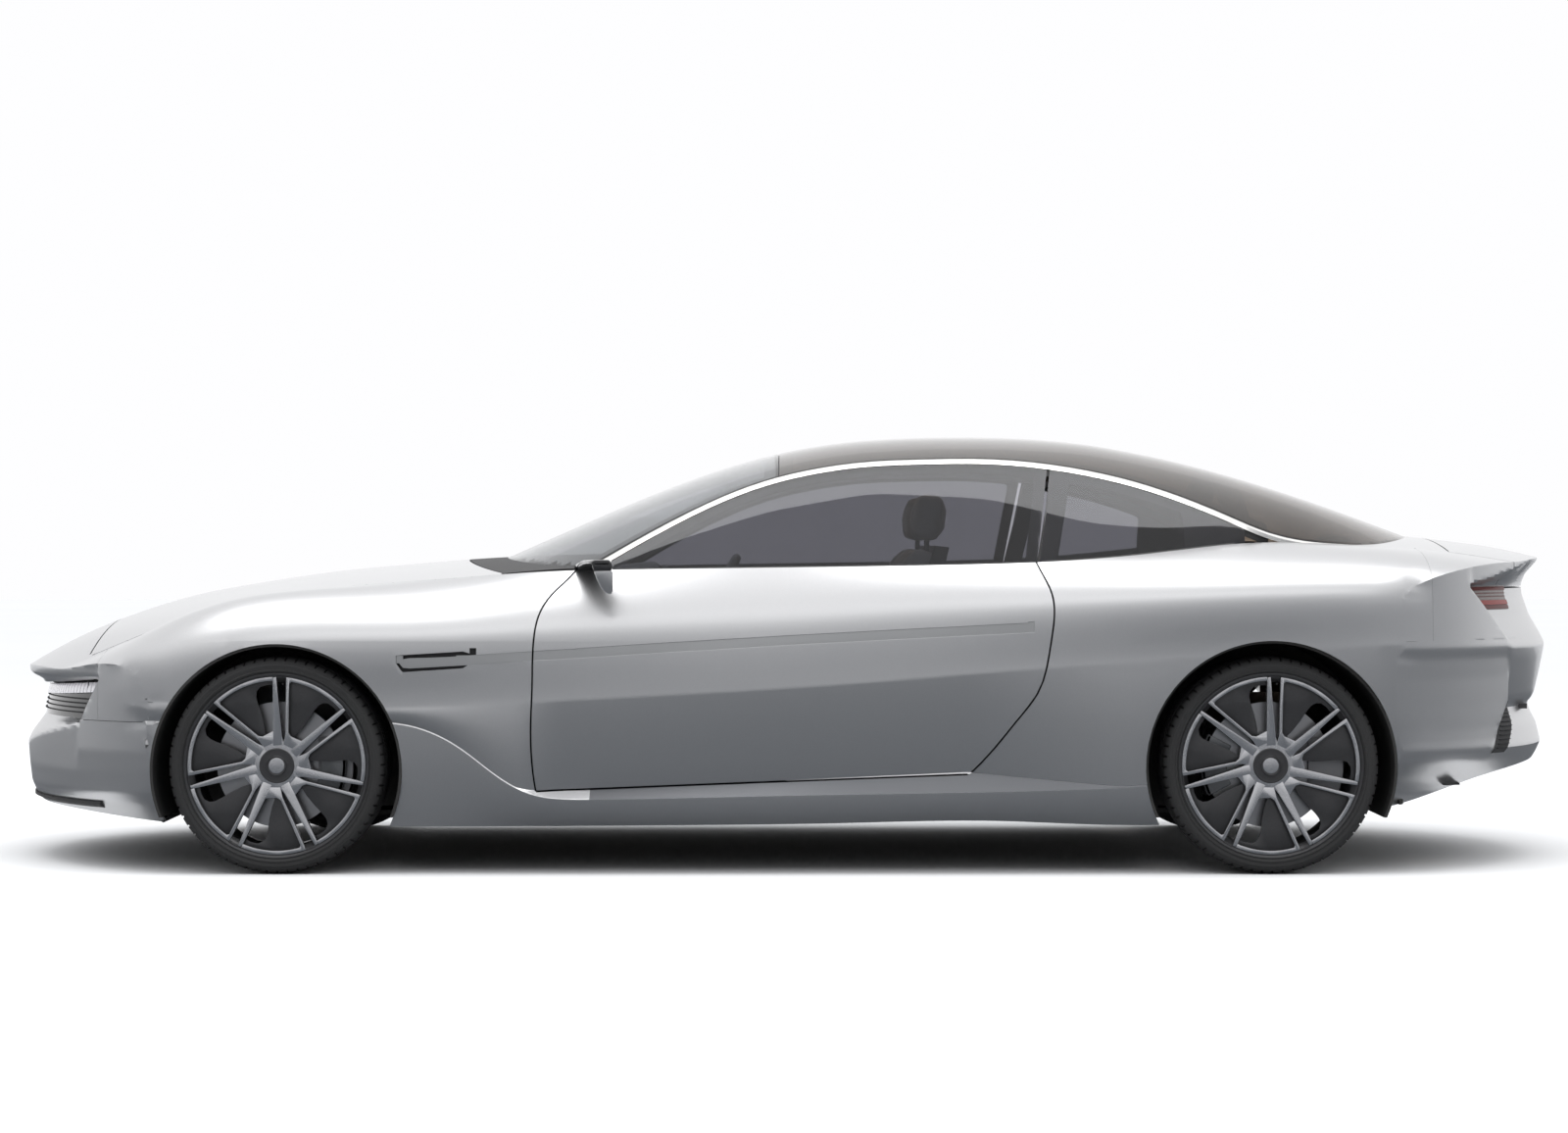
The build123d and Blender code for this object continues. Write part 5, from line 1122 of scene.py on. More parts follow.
def outward(bm, toward):
    """Turns all faces so that their normals look the given way."""
    total = Vector((0, 0, 0))
    for f in bm.faces:
        total += f.normal * f.calc_area()
    if total.dot(Vector(toward)) < 0:
        bmesh.ops.reverse_faces(bm, faces=bm.faces)


RAIL_STATIONS = range(-1200, 2301, 20)
RAIL_TABLE_X = np.array([along(x) for x in RAIL_STATIONS])
RAIL_TABLE_Y = np.array([RAIL_Y(x) * M for x in RAIL_STATIONS])
RAIL_TABLE_Z = np.array([RAIL_Z(x) * M for x in RAIL_STATIONS])


def rail_y_at(x):
    return np.interp(x, RAIL_TABLE_X, RAIL_TABLE_Y)


def rail_z_at(x):
    return np.interp(x, RAIL_TABLE_X, RAIL_TABLE_Z)


BODY_TREE = BVHTree.FromPolygons([v.co for v in BODY.vertices],
                                 [p.vertices for p in BODY.polygons if p.material_index != BOTTOM])


def above_body(x, y, z):
    """Height over the body's crown at each point, for trimming glass that runs down into it."""
    out = np.empty(len(x))
    for k, spot in enumerate(zip(x, y, z)):
        hit, _, _, _ = BODY_TREE.ray_cast(Vector((spot[0], spot[1], 2.0)), Vector((0, 0, -1)))
        out[k] = spot[2] - hit.z if hit is not None else 1.0
    return out


def pane(name, rows, fields, toward, material, body, node=None, depth=GLASS_DEPTH):
    mesh, bm = sheet_mesh(name, rows)
    for field in fields:
        score(bm, field)
        gone = []
        for f in bm.faces:
            c = f.calc_center_median()
            if field(np.array([c.x]), np.array([abs(c.y)]), np.array([c.z]))[0] < 0:
                gone.append(f)
        bmesh.ops.delete(bm, geom=gone, context="FACES")
    outward(bm, toward)
    bm.to_mesh(mesh)
    bm.free()
    obj = thicken(link(name, mesh), depth, rim=0.0008)
    shade(obj.data, 35)
    paint_on(obj, material)
    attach(obj, body)
    if node:
        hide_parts(node)
    return obj


print("pane builders ready")


# %% Windscreen and roof
CROWN_STATIONS = range(-1100, 2101, 16)
SCREEN_TOP = along(-30)
HALF_JOINT = 0.001


def inside_rail(x, y, z):
    return rail_y_at(x) - TRIM_WIDTH - y


def below_joint(x, y, z):
    return SCREEN_TOP - HALF_JOINT - x


def behind_joint(x, y, z):
    return x - SCREEN_TOP - HALF_JOINT


screen_rows = [crown_row(x) for x in CROWN_STATIONS if x <= 60]
roof_rows = [crown_row(x) for x in CROWN_STATIONS if x >= -140]
pane("windscreen_pane", screen_rows, [inside_rail, below_joint, above_body], (0, 0, 1), SCREEN_GLASS,
     "root", "windscreen")
pane("roof_pane", roof_rows, [inside_rail, behind_joint, above_body], (0, 0, 1), ROOF_GLASS,
     "root", "roof_glass")
print("windscreen and roof fitted")


# %% Side panes
DOOR_STATIONS, QUARTER_STATIONS = range(-720, 941, 16), range(600, 1481, 16)
PANE_FRONT, PANE_REAR = along(-540), along(1405)
PILLAR_LOW, PILLAR_HIGH, PILLAR_GAP = 742.0, 806.0, 9.0
PILLAR_FOOT_Z, PILLAR_HEAD_Z = 0.850, 1.260
SIDEWAYS = 0.3


def pillar_line(x, z, low, high):
    """Distance ahead of the leaning lock pillar line."""
    share = (z - PILLAR_FOOT_Z) / (PILLAR_HEAD_Z - PILLAR_FOOT_Z)
    return along(low) + (along(high) - along(low)) * share - x


def behind_front(x, y, z):
    return x - PANE_FRONT


def ahead_of_rear(x, y, z):
    return PANE_REAR - x


def below_rail(x, y, z):
    return rail_z_at(x) - TRIM_WIDTH - z


def ahead_of_pillar(x, y, z):
    return pillar_line(x, z, PILLAR_LOW, PILLAR_HIGH)


def behind_pillar(x, y, z):
    return -pillar_line(x, z, PILLAR_LOW + PILLAR_GAP, PILLAR_HIGH + PILLAR_GAP)


def side_rows(stations, side):
    """Rows of points across the side glass, on the given side of the car."""
    return [side_pane_row(x) * np.array([1, -side, 1]) for x in stations]


DOOR_FIELDS = [behind_front, below_rail, ahead_of_pillar]
QUARTER_FIELDS = [behind_pillar, below_rail, ahead_of_rear]
for side, word in SIDES:
    pane("door_pane_" + word, side_rows(DOOR_STATIONS, side), DOOR_FIELDS, (0, side, SIDEWAYS), SIDE_GLASS,
         "door_" + word, "door_glass_" + word)
    quarter_pane = pane("quarter_pane_" + word, side_rows(QUARTER_STATIONS, side), QUARTER_FIELDS,
                        (0, side, SIDEWAYS), SIDE_GLASS, "root")
    if side < 0:
        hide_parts("quarter_glass")
print("side panes fitted")


# %% [markdown]
# ## Small builders
#
# Most of what follows is made in a few ways: a profile turned about an axle, a flat outline given a
# thickness, an outline swept round the nose or the tail, and a rounded block.

# %% Builders
def add(name, mesh, material, body, angle=30, place=None, bevel=0.0):
    """Links a mesh, rounds its edges a little, paints it and lets it ride."""
    obj = link(name, mesh)
    if bevel:
        round_edges(obj, bevel, 35)
        mesh = baked(obj)
        mesh.name = name
        obj = link(name, mesh)
    shade(mesh, angle)
    paint_on(obj, material)
    if place is not None:
        obj.location = place
    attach(obj, body)
    return obj


def flipped(mesh):
    """The mesh mirrored to the car's other side."""
    twin = mesh.copy()
    bm = bmesh.new()
    bm.from_mesh(twin)
    for v in bm.verts:
        v.co.y = -v.co.y
    bmesh.ops.reverse_faces(bm, faces=bm.faces)
    bm.to_mesh(twin)
    bm.free()
    return twin


def lathe(name, profile, angles, dents=None):
    """A closed (radius, outward offset) profile turned about the axle; outward is the car's left."""
    count = len(profile)
    points = []
    for k, a in enumerate(angles):
        for i, (r, out) in enumerate(profile):
            reach = r - (dents(k, r, out) if dents else 0.0)
            points.append((reach * sin(a), -out, reach * cos(a)))
    faces = []
    n = len(angles)
    for k in range(n):
        m = (k + 1) % n
        for i in range(count):
            j = (i + 1) % count
            faces.append((k * count + i, k * count + j, m * count + j, m * count + i))
    return mesh_of(name, points, faces)


def plate(name, outline, front, depth):
    """A flat (u, v) outline in the plane of the wheel or the car's side; front gives its offset at (u, v)."""
    n = len(outline)
    points = [(u, -front(u, v), v) for u, v in outline]
    points += [(u, -front(u, v) + depth, v) for u, v in outline]
    faces = [tuple(range(n)), tuple(reversed(range(n, 2 * n)))]
    faces += [(i, (i + 1) % n, n + (i + 1) % n, n + i) for i in range(n)]
    return mesh_of(name, points, faces)


def tube(name, rows):
    """A closed skin over rows of corners, capped at both ends."""
    n = len(rows[0])
    caps = [tuple(range(n)), tuple(range((len(rows) - 1) * n, len(rows) * n))]
    return mesh_of(name, [point for row in rows for point in row], ring_faces(len(rows), n) + caps)


def swept(name, centre_x, facing, outline, a0, a1, steps=48):
    """A (radius, height) outline, fixed or given per angle, swept about an upright axis."""
    rows = []
    for a in np.linspace(a0, a1, steps + 1):
        corners = outline(a) if callable(outline) else outline
        rows.append([(centre_x + facing * r * cos(a), r * sin(a), z) for r, z in corners])
    return tube(name, rows)


def side_plate(name, outline, low_y, high_y):
    """A flat (x, z) outline that fills the width between two planes."""
    n = len(outline)
    points = [(x, y, z) for y in (low_y, high_y) for x, z in outline]
    faces = [tuple(range(n)), tuple(range(2 * n - 1, n - 1, -1))]
    faces += [(i, i + n, (i + 1) % n + n, (i + 1) % n) for i in range(n)]
    return mesh_of(name, points, faces)


def brick(name, low, high):
    """A plain box between two corners."""
    (x0, y0, z0), (x1, y1, z1) = low, high
    points = [(x, y, z) for z in (z0, z1) for y in (y0, y1) for x in (x0, x1)]
    faces = [(0, 2, 3, 1), (4, 5, 7, 6), (0, 1, 5, 4), (2, 6, 7, 3), (0, 4, 6, 2), (1, 3, 7, 5)]
    return mesh_of(name, points, faces)


def joined(name, meshes):
    """Several meshes as one, each keeping its own closed surface."""
    bm = bmesh.new()
    for mesh in meshes:
        bm.from_mesh(mesh)
        bpy.data.meshes.remove(mesh)
    return stored(bm, name)


def turned_by(points, degrees):
    """Points of the wheel's face, clockwise from the top as seen from the left."""
    a = radians(degrees)
    return [(u * cos(a) + v * sin(a), v * cos(a) - u * sin(a)) for u, v in points]


print("builders ready")


# %% [markdown]
# ## Tyres
#
# The profile has a rim guard, a full shoulder and four grooves round the tread. The shoulder blocks
# come from dents: every pitch of the tread has two close rings of points that sink by a few
# millimetres near the shoulder.

# %% Tyres
PITCHES = 64
RING_SHARES = (0.0, 0.80, 0.815, 0.985)
TREAD_ANGLES = [2 * pi * (k + share) / PITCHES for k in range(PITCHES) for share in RING_SHARES]
DENT_DEPTH = 0.0052
GROOVES = ((0.021, 0.0048), (0.062, 0.0052))


def tyre_profile():
    r = TYRE_RADIUS
    half = [(0.2665, 0.1075), (0.2805, 0.1120), (0.2808, 0.1180), (0.2835, 0.1225), (0.2868, 0.1268),
            (0.2895, 0.1272), (0.2918, 0.1250), (0.2960, 0.1252), (0.3010, 0.1266), (0.3020, 0.1260),
            (0.3030, 0.1266), (0.3080, 0.1255), (0.3090, 0.1246), (0.3100, 0.1250), (0.3150, 0.1215),
            (0.3195, 0.1165), (0.3225, 0.1115), (0.3243, 0.1060), (r - 0.0016, 0.0960)]
    tread = [(r - 0.0008, 0.0860)]
    for middle_y, w in reversed(GROOVES):
        tread += [(r - 0.0002, middle_y + w), (r - 0.0068, middle_y + w - 0.0012),
                  (r - 0.0068, middle_y - w + 0.0012), (r, middle_y - w)]
    outer = half + tread
    ring = outer + [(a, -b) for a, b in reversed(outer)]
    inner = [(0.2665, 0.0830), (r - 0.024, 0.1135), (r - 0.018, 0.0)]
    return ring + [(a, -b) for a, b in inner] + list(reversed(inner[:-1]))


def tread_dent(k, r, out):
    low = k % 4 >= 2
    on_shoulder = 0.074 < abs(out) < 0.1170 and r > 0.3180
    return DENT_DEPTH if low and on_shoulder else 0.0


TYRE_MESH = lathe("tyre", tyre_profile(), TREAD_ANGLES, tread_dent)
print("tyre:", len(TYRE_MESH.polygons), "faces")


# %% [markdown]
# ## Wheels
#
# Seven pairs of spokes. In each sector a bright line runs up the thin spoke and along the rim to the
# next main spoke; between them lies a dark air panel with a drop-shaped window beside the next spoke.
# Each shape is a dark pocket with a thin machined plate on it, as a lathe leaves them.

# %% The outlines of one wheel
SPOKES = 7
PITCH = 360.0 / SPOKES
FACE_OUT, FACE_DISH, FACE_RADIUS = 0.112, 0.010, 0.262
ARC_RADIUS, ARC_WIDTH = 0.2625, 0.0112


def face_out(u, v):
    """The wheel's face, a shallow dish towards the hub."""
    r = min(hypot(u, v), FACE_RADIUS)
    return FACE_OUT - FACE_DISH * (1 - (r / FACE_RADIUS)**2)


def sunk(depth):
    """The same face, a little further in."""
    return lambda u, v: face_out(u, v) - depth


def arc(radius, start, end, count=22):
    return [(radius * sin(radians(a)), radius * cos(radians(a))) for a in np.linspace(start, end, count)]


MAIN_SPOKE = [(-0.0115, 0.060), (-0.0115, 0.110), (-0.0112, 0.2565), (-0.0100, 0.2660), (-0.0010, 0.2678),
              (0.0002, 0.2560), (0.0042, 0.205), (0.0090, 0.155), (0.0128, 0.115), (0.0150, 0.088),
              (0.0160, 0.062)]
THIN_START = 8.4
NEXT_TIP = PITCH - 2.5


def loop_outline():
    """The thin spoke and the arc to the next main spoke's tip, as one closed ribbon."""
    outer = arc(ARC_RADIUS + ARC_WIDTH / 2, THIN_START - 2.0, NEXT_TIP)
    inner = arc(ARC_RADIUS - ARC_WIDTH / 2, THIN_START + 1.6, NEXT_TIP)
    left = [(0.0200, 0.064), (0.0262, 0.096), (0.0275, 0.180), (0.0292, 0.2560)]
    right = [(0.0385, 0.2480), (0.0365, 0.180), (0.0348, 0.100), (0.0420, 0.088), (0.0640, 0.064),
             (0.0520, 0.048)]
    return left + outer + list(reversed(inner)) + right


def panel_outline():
    window = [(-0.0115, 0.2420), (-0.030, 0.2425), (-0.050, 0.2375), (-0.0615, 0.2240), (-0.0635, 0.2080),
              (-0.0590, 0.188), (-0.0480, 0.155), (-0.0395, 0.120), (-0.0370, 0.096), (-0.0300, 0.0905)]
    near = [(0.0560, 0.066), (0.0400, 0.086), (0.0335, 0.100), (0.0350, 0.180), (0.0368, 0.2500)]
    return near + arc(ARC_RADIUS - 0.004, THIN_START + 1.2, NEXT_TIP, 16) + turned_by(window, PITCH)


def hub_outline():
    """The hub's star: out along each main spoke's foot, in between the spokes."""
    points = []
    for k in range(SPOKES):
        points += turned_by([(-0.0115, 0.104), (0.0138, 0.104), (0.0152, 0.088), (0.0195, 0.0700),
                             (0.0262, 0.0930), (0.0345, 0.0985), (0.0420, 0.0880)], k * PITCH)
    return points


SKIM = 0.0012


def wheel_meshes():
    """The dark pockets and panels as one mesh, and the thin machined plates on them as another."""
    dark, bright = [], []
    for k in range(SPOKES):
        main = turned_by(MAIN_SPOKE, k * PITCH)
        loop = turned_by(loop_outline(), k * PITCH)
        dark.append(plate("pocket", main, sunk(SKIM), 0.026))
        dark.append(plate("pocket", loop, sunk(SKIM), 0.022))
        dark.append(plate("panel", turned_by(panel_outline(), k * PITCH), sunk(0.014), 0.005))
        bright.append(plate("face", main, face_out, SKIM))
        bright.append(plate("face", loop, face_out, SKIM))
    hub = hub_outline()
    dark.append(plate("pocket", hub, sunk(0.0022), 0.045))
    bright.append(plate("face", hub, sunk(0.0010), SKIM))
    return joined("wheel_pockets", dark), joined("wheel_faces", bright)


print("spokes:", SPOKES, "pitch:", round(PITCH, 2), "degrees")


# %% [markdown]
# ## Barrel, cap, valve and the four corners
#
# The barrel behind the face, the centre cap and the bare round place for a badge are plain turned
# parts, so each is a profile for the lathe. One set of meshes serves four corners: the right-hand ones
# are mirrored, because the spokes' pattern has a hand.

# %% Turned parts
BARREL = [(0.2800, 0.1180), (0.2800, 0.1120), (0.2660, 0.1080), (0.2660, -0.1080), (0.2800, -0.1120),
          (0.2800, -0.1180), (0.2740, -0.1180), (0.2560, -0.1040), (0.2510, -0.0600), (0.2500, 0.0700),
          (0.2520, 0.0880), (0.2560, 0.0930), (0.2690, 0.1060), (0.2700, 0.1130), (0.2725, 0.1165),
          (0.2770, 0.1185)]
RING_ANGLES = [2 * pi * k / 168 for k in range(168)]
CAP = [(0.0002, 0.1085), (0.0250, 0.1078), (0.0262, 0.1100), (0.0285, 0.1108), (0.0300, 0.1095),
       (0.0310, 0.1070), (0.0440, 0.1052), (0.0500, 0.1062), (0.0530, 0.1040), (0.0535, 0.0950),
       (0.0002, 0.0950)]
BADGE = [(0.0002, 0.1102), (0.0180, 0.1100), (0.0235, 0.1092), (0.0250, 0.1080), (0.0250, 0.1060),
         (0.0002, 0.1060)]
WHEEL_POCKETS, WHEEL_FACES = wheel_meshes()
WHEEL_BARREL = lathe("wheel_barrel", BARREL, RING_ANGLES)
WHEEL_CAP = lathe("wheel_cap", CAP, RING_ANGLES[::2])
WHEEL_BADGE = lathe("wheel_badge", BADGE, RING_ANGLES[::2])
VALVE = lathe("valve", [(0.0001, 0.016), (0.0030, 0.016), (0.0034, 0.010), (0.0034, 0.0), (0.0001, 0.0)],
              [2 * pi * k / 16 for k in range(16)])
VALVE_RADIUS, VALVE_ANGLE, VALVE_OUT = 0.2475, radians(4.2), 0.090
for v in VALVE.vertices:
    v.co.x += VALVE_RADIUS * sin(VALVE_ANGLE)
    v.co.y -= VALVE_OUT
    v.co.z += VALVE_RADIUS * cos(VALVE_ANGLE)
print("barrel:", len(WHEEL_BARREL.polygons), "faces")


# %% Four corners
def sided(mesh, side):
    """A copy of a left-hand mesh for the given side of the car."""
    return mesh.copy() if side < 0 else flipped(mesh)


MACHINED = machined("machined_face", (0, 0, 0))
for axle in ("front", "rear"):
    for side, word in SIDES:
        tag = f"{axle}_{word}"
        place = middle("tyre_" + tag)
        body = "wheel_" + tag
        tyre = add("treaded_tyre_" + tag, sided(TYRE_MESH, side), RUBBER, body, 32, place)
        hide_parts("tyre_" + tag)
        barrel = add("rim_barrel_" + tag, sided(WHEEL_BARREL, side), DARK_ALLOY, body, 30, place)
        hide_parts("rim_" + tag)
        add("spoke_pockets_" + tag, sided(WHEEL_POCKETS, side), DARK_ALLOY, body, 25, place, 0.0008)
        add("spoke_faces_" + tag, sided(WHEEL_FACES, side), MACHINED, body, 25, place, 0.0005)
        add("wheel_cap_" + tag, sided(WHEEL_CAP, side), DARK_ALLOY, body, 30, place)
        add("wheel_badge_place_" + tag, sided(WHEEL_BADGE, side), MACHINED, body, 30, place)
        add("valve_" + tag, sided(VALVE, side), SEAL, body, 30, place)
        steel = turned_steel("turned_disc_" + tag, tuple(middle("disc_" + tag)))
        paint_on(NODES["disc_" + tag], steel)
print("wheels dressed")


# %% [markdown]
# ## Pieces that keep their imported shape
#
# Frames, arms, tubs and the engine block already have their real form. They only need a finish.

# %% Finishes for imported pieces
PLAIN = {
    "floor": UNDERBODY, "wheel_tubs": UNDERBODY, "firewall": MATT_BLACK, "boot_floor": CARPET,
    "engine": CAST, "front_subframe": CHASSIS, "rear_subframe": CHASSIS, "rear_knuckles": CAST,
    "knuckle_front_left": CAST, "knuckle_front_right": CAST,
    "roof_frame": SEAL, "roof_trim": BRIGHT,
    "dashboard": DARK_LEATHER, "steering_wheel": DARK_LEATHER,
}
for node, material in PLAIN.items():
    paint_on(NODES[node], material)
print(len(PLAIN), "packed pieces given a finish")


# %% [markdown]
# ## The mouth under the beak
#
# A gloss black housing closes the opening and leans back as it rises. Slim slats cross it, and a
# band of small light blocks follows its top edge on each side.

# %% Mouth, slats and light blocks
NOSE_CENTRE = NOSE_X + NOSE_ROUND * M
HOUSING_BACK, HOUSING_LEAN, HOUSING_Z = 0.074, 0.20, 0.477


def mouth_wall(z):
    """The housing's radius at height z: it leans back as it rises."""
    return NOSE_ROUND * M - HOUSING_BACK - HOUSING_LEAN * (z - HOUSING_Z)


def mouth_edge(a):
    """Height of the opening's top edge at angle a."""
    return MOUTH_TOP + MOUTH_RISE * (mouth_wall(MOUTH_TOP) * sin(a) / MOUTH_HALF)**2


def on_wall(low, high, inner, outer):
    """Four corners of a strip that stands on the housing between two heights."""
    return [(mouth_wall(low) + outer, low), (mouth_wall(high) + outer, high),
            (mouth_wall(high) + inner, high), (mouth_wall(low) + inner, low)]


def round_nose(name, outline, half_angle, steps=72):
    """An outline swept about the nose's centre, the same angle (degrees) to both sides."""
    return swept(name, NOSE_CENTRE, -1, outline, radians(-half_angle), radians(half_angle), steps)


def slat(z):
    """A slim bar across the mouth, thicker where it meets the housing."""
    root, edge = mouth_wall(z) - 0.002, mouth_wall(z) + 0.006
    corners = [(root, z - 0.0024), (edge, z - 0.0010), (edge, z + 0.0010), (root, z + 0.0024)]
    return round_nose("slat", corners, 42)


housing = round_nose("mouth_housing", lambda a: on_wall(0.452, mouth_edge(a) + 0.012, -0.006, 0.0), 50)
add("mouth_housing", housing, GLOSS_BLACK, "root", 40)
slats = [slat(z) for z in (0.474, 0.488, 0.502, 0.516)]
slats = add("mouth_slats", joined("mouth_slats", slats), MATT_BLACK, "root", 40)
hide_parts("grille")
print("mouth: housing and slats")


# %% Light blocks, badge place and lip
BLOCKS, FIRST_BLOCK, BLOCK_PITCH, BLOCK_WIDE = 30, 9.0, 1.35, 1.05


def light_block(side, start):
    """One small block on the housing, between two angles in degrees."""
    return swept("block", NOSE_CENTRE, -1,
                 lambda a: on_wall(mouth_edge(a) - 0.036, mouth_edge(a) - 0.005, 0.0005, 0.007),
                 radians(side * start), radians(side * (start + BLOCK_WIDE)), 2)


blocks = [light_block(side, FIRST_BLOCK + k * BLOCK_PITCH) for side in (-1, 1) for k in range(BLOCKS)]
lights = add("light_blocks", joined("light_blocks", blocks), LENS_PALE, "root", 30, bevel=0.0008)
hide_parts("headlamps")
badge_place = round_nose("nose_badge_place", lambda a: on_wall(0.484, 0.540, 0.002, 0.012), 3.2, 8)
badge_metal = machined("nose_badge_metal", (NOSE_X, 0, 0.512))
add("nose_badge_place", badge_place, badge_metal, "root", 30, bevel=0.002)
lip = round_nose("front_lip", [(1.016, 0.206), (1.016, 0.197), (0.972, 0.176), (0.970, 0.200)], 48)
add("front_lip", lip, MATT_BLACK, "root", 30)
print("mouth:", len(blocks), "light blocks")


# %% [markdown]
# ## Tail lamps and rear outlets
#
# The lamps lie on the wall of the pocket under the boot lid, so they follow its hollow. Each ends
# where the pocket does, which leans outwards with height.

# %% Tail lamps
TAIL_CENTRE = TAIL_X - TAIL_ROUND * M


def pocket_wall(z, a):
    """Radius of the pocket's wall at a height and an angle."""
    return (TAIL_ROUND - pocket_back(z / M, a)) * M


def pocket_end(z):
    """The angle at which the pocket ends, just inside its own edge."""
    return radians(ramp(z / M, POCKET_ENDS) - 0.6)


def on_pocket(name, low, high, inner_angle, out, side, levels=6, steps=24):
    """A strip on the pocket's wall from an inner angle out to the pocket's leaning end."""
    heights = np.linspace(low, high, levels)
    rows = []
    for share in np.linspace(0, 1, steps + 1):
        front, back = [], []
        for z in heights:
            a = side * (inner_angle + (pocket_end(z) - inner_angle) * share)
            wall = pocket_wall(z, a)
            for r, run in ((wall + out, front), (wall - 0.004, back)):
                run.append((TAIL_CENTRE + r * cos(a), r * sin(a), z))
        rows.append(front + back[::-1])
    return tube(name, rows)


DEEP_RED = finish("deep_red_lens", GRAIN, ((0.085, 0.022, 0.020), (0.11, 0.028, 0.025)), 300.0, 0.02,
                  Roughness=0.3, Specular_IOR_Level=0.3)
SMOKED = finish("smoked_lens", GRAIN, ((0.22, 0.19, 0.185), (0.17, 0.15, 0.145)), 260.0, 0.03, Roughness=0.25,
                Specular_IOR_Level=0.4)
INNER_END = radians(31.3)
LAMP_PARTS = [
    ("tail_lens", 0.793, 0.866, 0.0015, SMOKED),
    ("tail_light_top", 0.852, 0.863, 0.0040, DEEP_RED),
    ("tail_light_line", 0.842, 0.8445, 0.0030, DEEP_RED),
    ("tail_light_thread", 0.832, 0.8345, 0.0030, DEEP_RED),
    ("tail_light_low", 0.808, 0.822, 0.0045, LENS_RED),
    ("tail_light_foot", 0.795, 0.806, 0.0035, DEEP_RED),
]
for name, low, high, out, material in LAMP_PARTS:
    pair = joined(name, [on_pocket(name, low, high, INNER_END, out, side) for side in (-1, 1)])
    lamp = add(name, pair, material, "root", 30)
    if name == "tail_lens":
        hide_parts("tail_lamps")
print("tail:", len(LAMP_PARTS), "lamp parts")


# %% [markdown]
# Below the lamps a dark slot with fins stands at each corner, an outlet for the air of the wheel arch.
# It follows the same pocket, so it is built from the same two functions.

# %% Rear outlets
SLOT_WIDTH = ((0.350, 3.8), (0.400, 4.6), (0.450, 5.2), (0.480, 4.4), (0.506, 2.0))


def slot_inner(z):
    """The slot's inner angle: it is widest a little below its middle."""
    return pocket_end(z) - radians(ramp(z, SLOT_WIDTH))


def outlet(side):
    """A dark slot that leans along the lower pocket's end, wider at its foot."""
    rows = []
    for z in np.linspace(0.352, 0.506, 20):
        end, inner = pocket_end(z), slot_inner(z)
        r = pocket_wall(z, end)
        corners = [(r + 0.004, end + 0.004), (r + 0.004, inner), (r - 0.006, inner), (r - 0.006, end + 0.004)]
        rows.append([(TAIL_CENTRE + k * cos(a), side * k * sin(a), z) for k, a in corners])
    return tube("outlet", rows)


add("rear_outlets", joined("rear_outlets", [outlet(-1), outlet(1)]), MATT_BLACK, "root", 30)
FIN_HALF = 0.0012


def fin(side, z):
    """A thin level fin across the slot."""
    end = pocket_end(z)
    inner, outer = pocket_wall(z, end) + 0.003, pocket_wall(z, end) + 0.008
    low, high = z - FIN_HALF, z + FIN_HALF
    return swept("fin", TAIL_CENTRE, 1, [(inner, low), (outer, low), (outer, high), (inner, high)],
                 side * (slot_inner(z) + 0.003), side * (end - 0.004), 4)


fins = [fin(side, z) for side in (-1, 1) for z in np.linspace(0.366, 0.486, 10)]
add("outlet_fins", joined("outlet_fins", fins), GLOSS_BLACK, "root", 30)
print("outlets:", len(fins), "fins")


# %% [markdown]
# ## Mirrors
#
# A slim dark arm reaches over the belt line and a pale fin hangs from its end, with the glass on the
# fin's rear face.

# %% Mirrors
ARM = [(0.795, -0.655, -0.575, 0.912, 0.926), (0.845, -0.648, -0.560, 0.926, 0.940),
       (0.905, -0.632, -0.540, 0.933, 0.947), (0.960, -0.604, -0.529, 0.934, 0.949),
       (0.998, -0.592, -0.530, 0.932, 0.948)]
FIN = [(-0.583, 0.916), (-0.528, 0.917), (-0.528, 0.8455), (-0.540, 0.8465), (-0.552, 0.853), (-0.563, 0.868),
       (-0.574, 0.892)]
FIN_HEAD = [(-0.590, 0.940), (-0.530, 0.942), (-0.528, 0.917), (-0.583, 0.916)]


def arm_row(y, x0, x1, z0, z1):
    """Six corners of the arm's wing-like section."""
    mid = (z0 + z1) / 2
    return [(x0, -y, mid), (x0 + 0.014, -y, z1), (x1 - 0.008, -y, z1), (x1, -y, mid), (x1 - 0.008, -y, z0),
            (x0 + 0.014, -y, z0)]


def mirror_set(side):
    arm = tube("mirror_arm", [arm_row(*row) for row in ARM])
    head = plate("mirror_head", FIN_HEAD, lambda u, v: 0.998, 0.034)
    fin = plate("mirror_fin", FIN, lambda u, v: 0.998 - 0.10 * (0.917 - v), 0.030)
    glass_face = brick("mirror_glass", (-0.5275, -0.9900, 0.853), (-0.5262, -0.9690, 0.912))
    black = joined("mirror_arm", [arm, head])
    return [mesh if side < 0 else flipped(mesh) for mesh in (black, fin, glass_face)]


for side, word in SIDES:
    black, fin, glass_face = mirror_set(side)
    body = "door_" + word
    arm = add("mirror_arm_" + word, black, GLOSS_BLACK, body, 35, bevel=0.003)
    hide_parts("mirror_" + word)
    add("mirror_fin_" + word, fin, PAINT, body, 35, bevel=0.005)
    add("mirror_glass_" + word, glass_face, REFLECTOR, body, 35, bevel=0.0004)
print("mirrors fitted")


# %% [markdown]
# ## Dark bands behind the glass, and belt seals
#
# Side glass carries a printed black band where it meets roof rail and pillar. The band is a thin
# sheet just inside the pane, kept where it is near one of the pane's own edges.

# %% Bands and seals
BAND_IN, BAND_DOWN = 0.0058, 0.0024


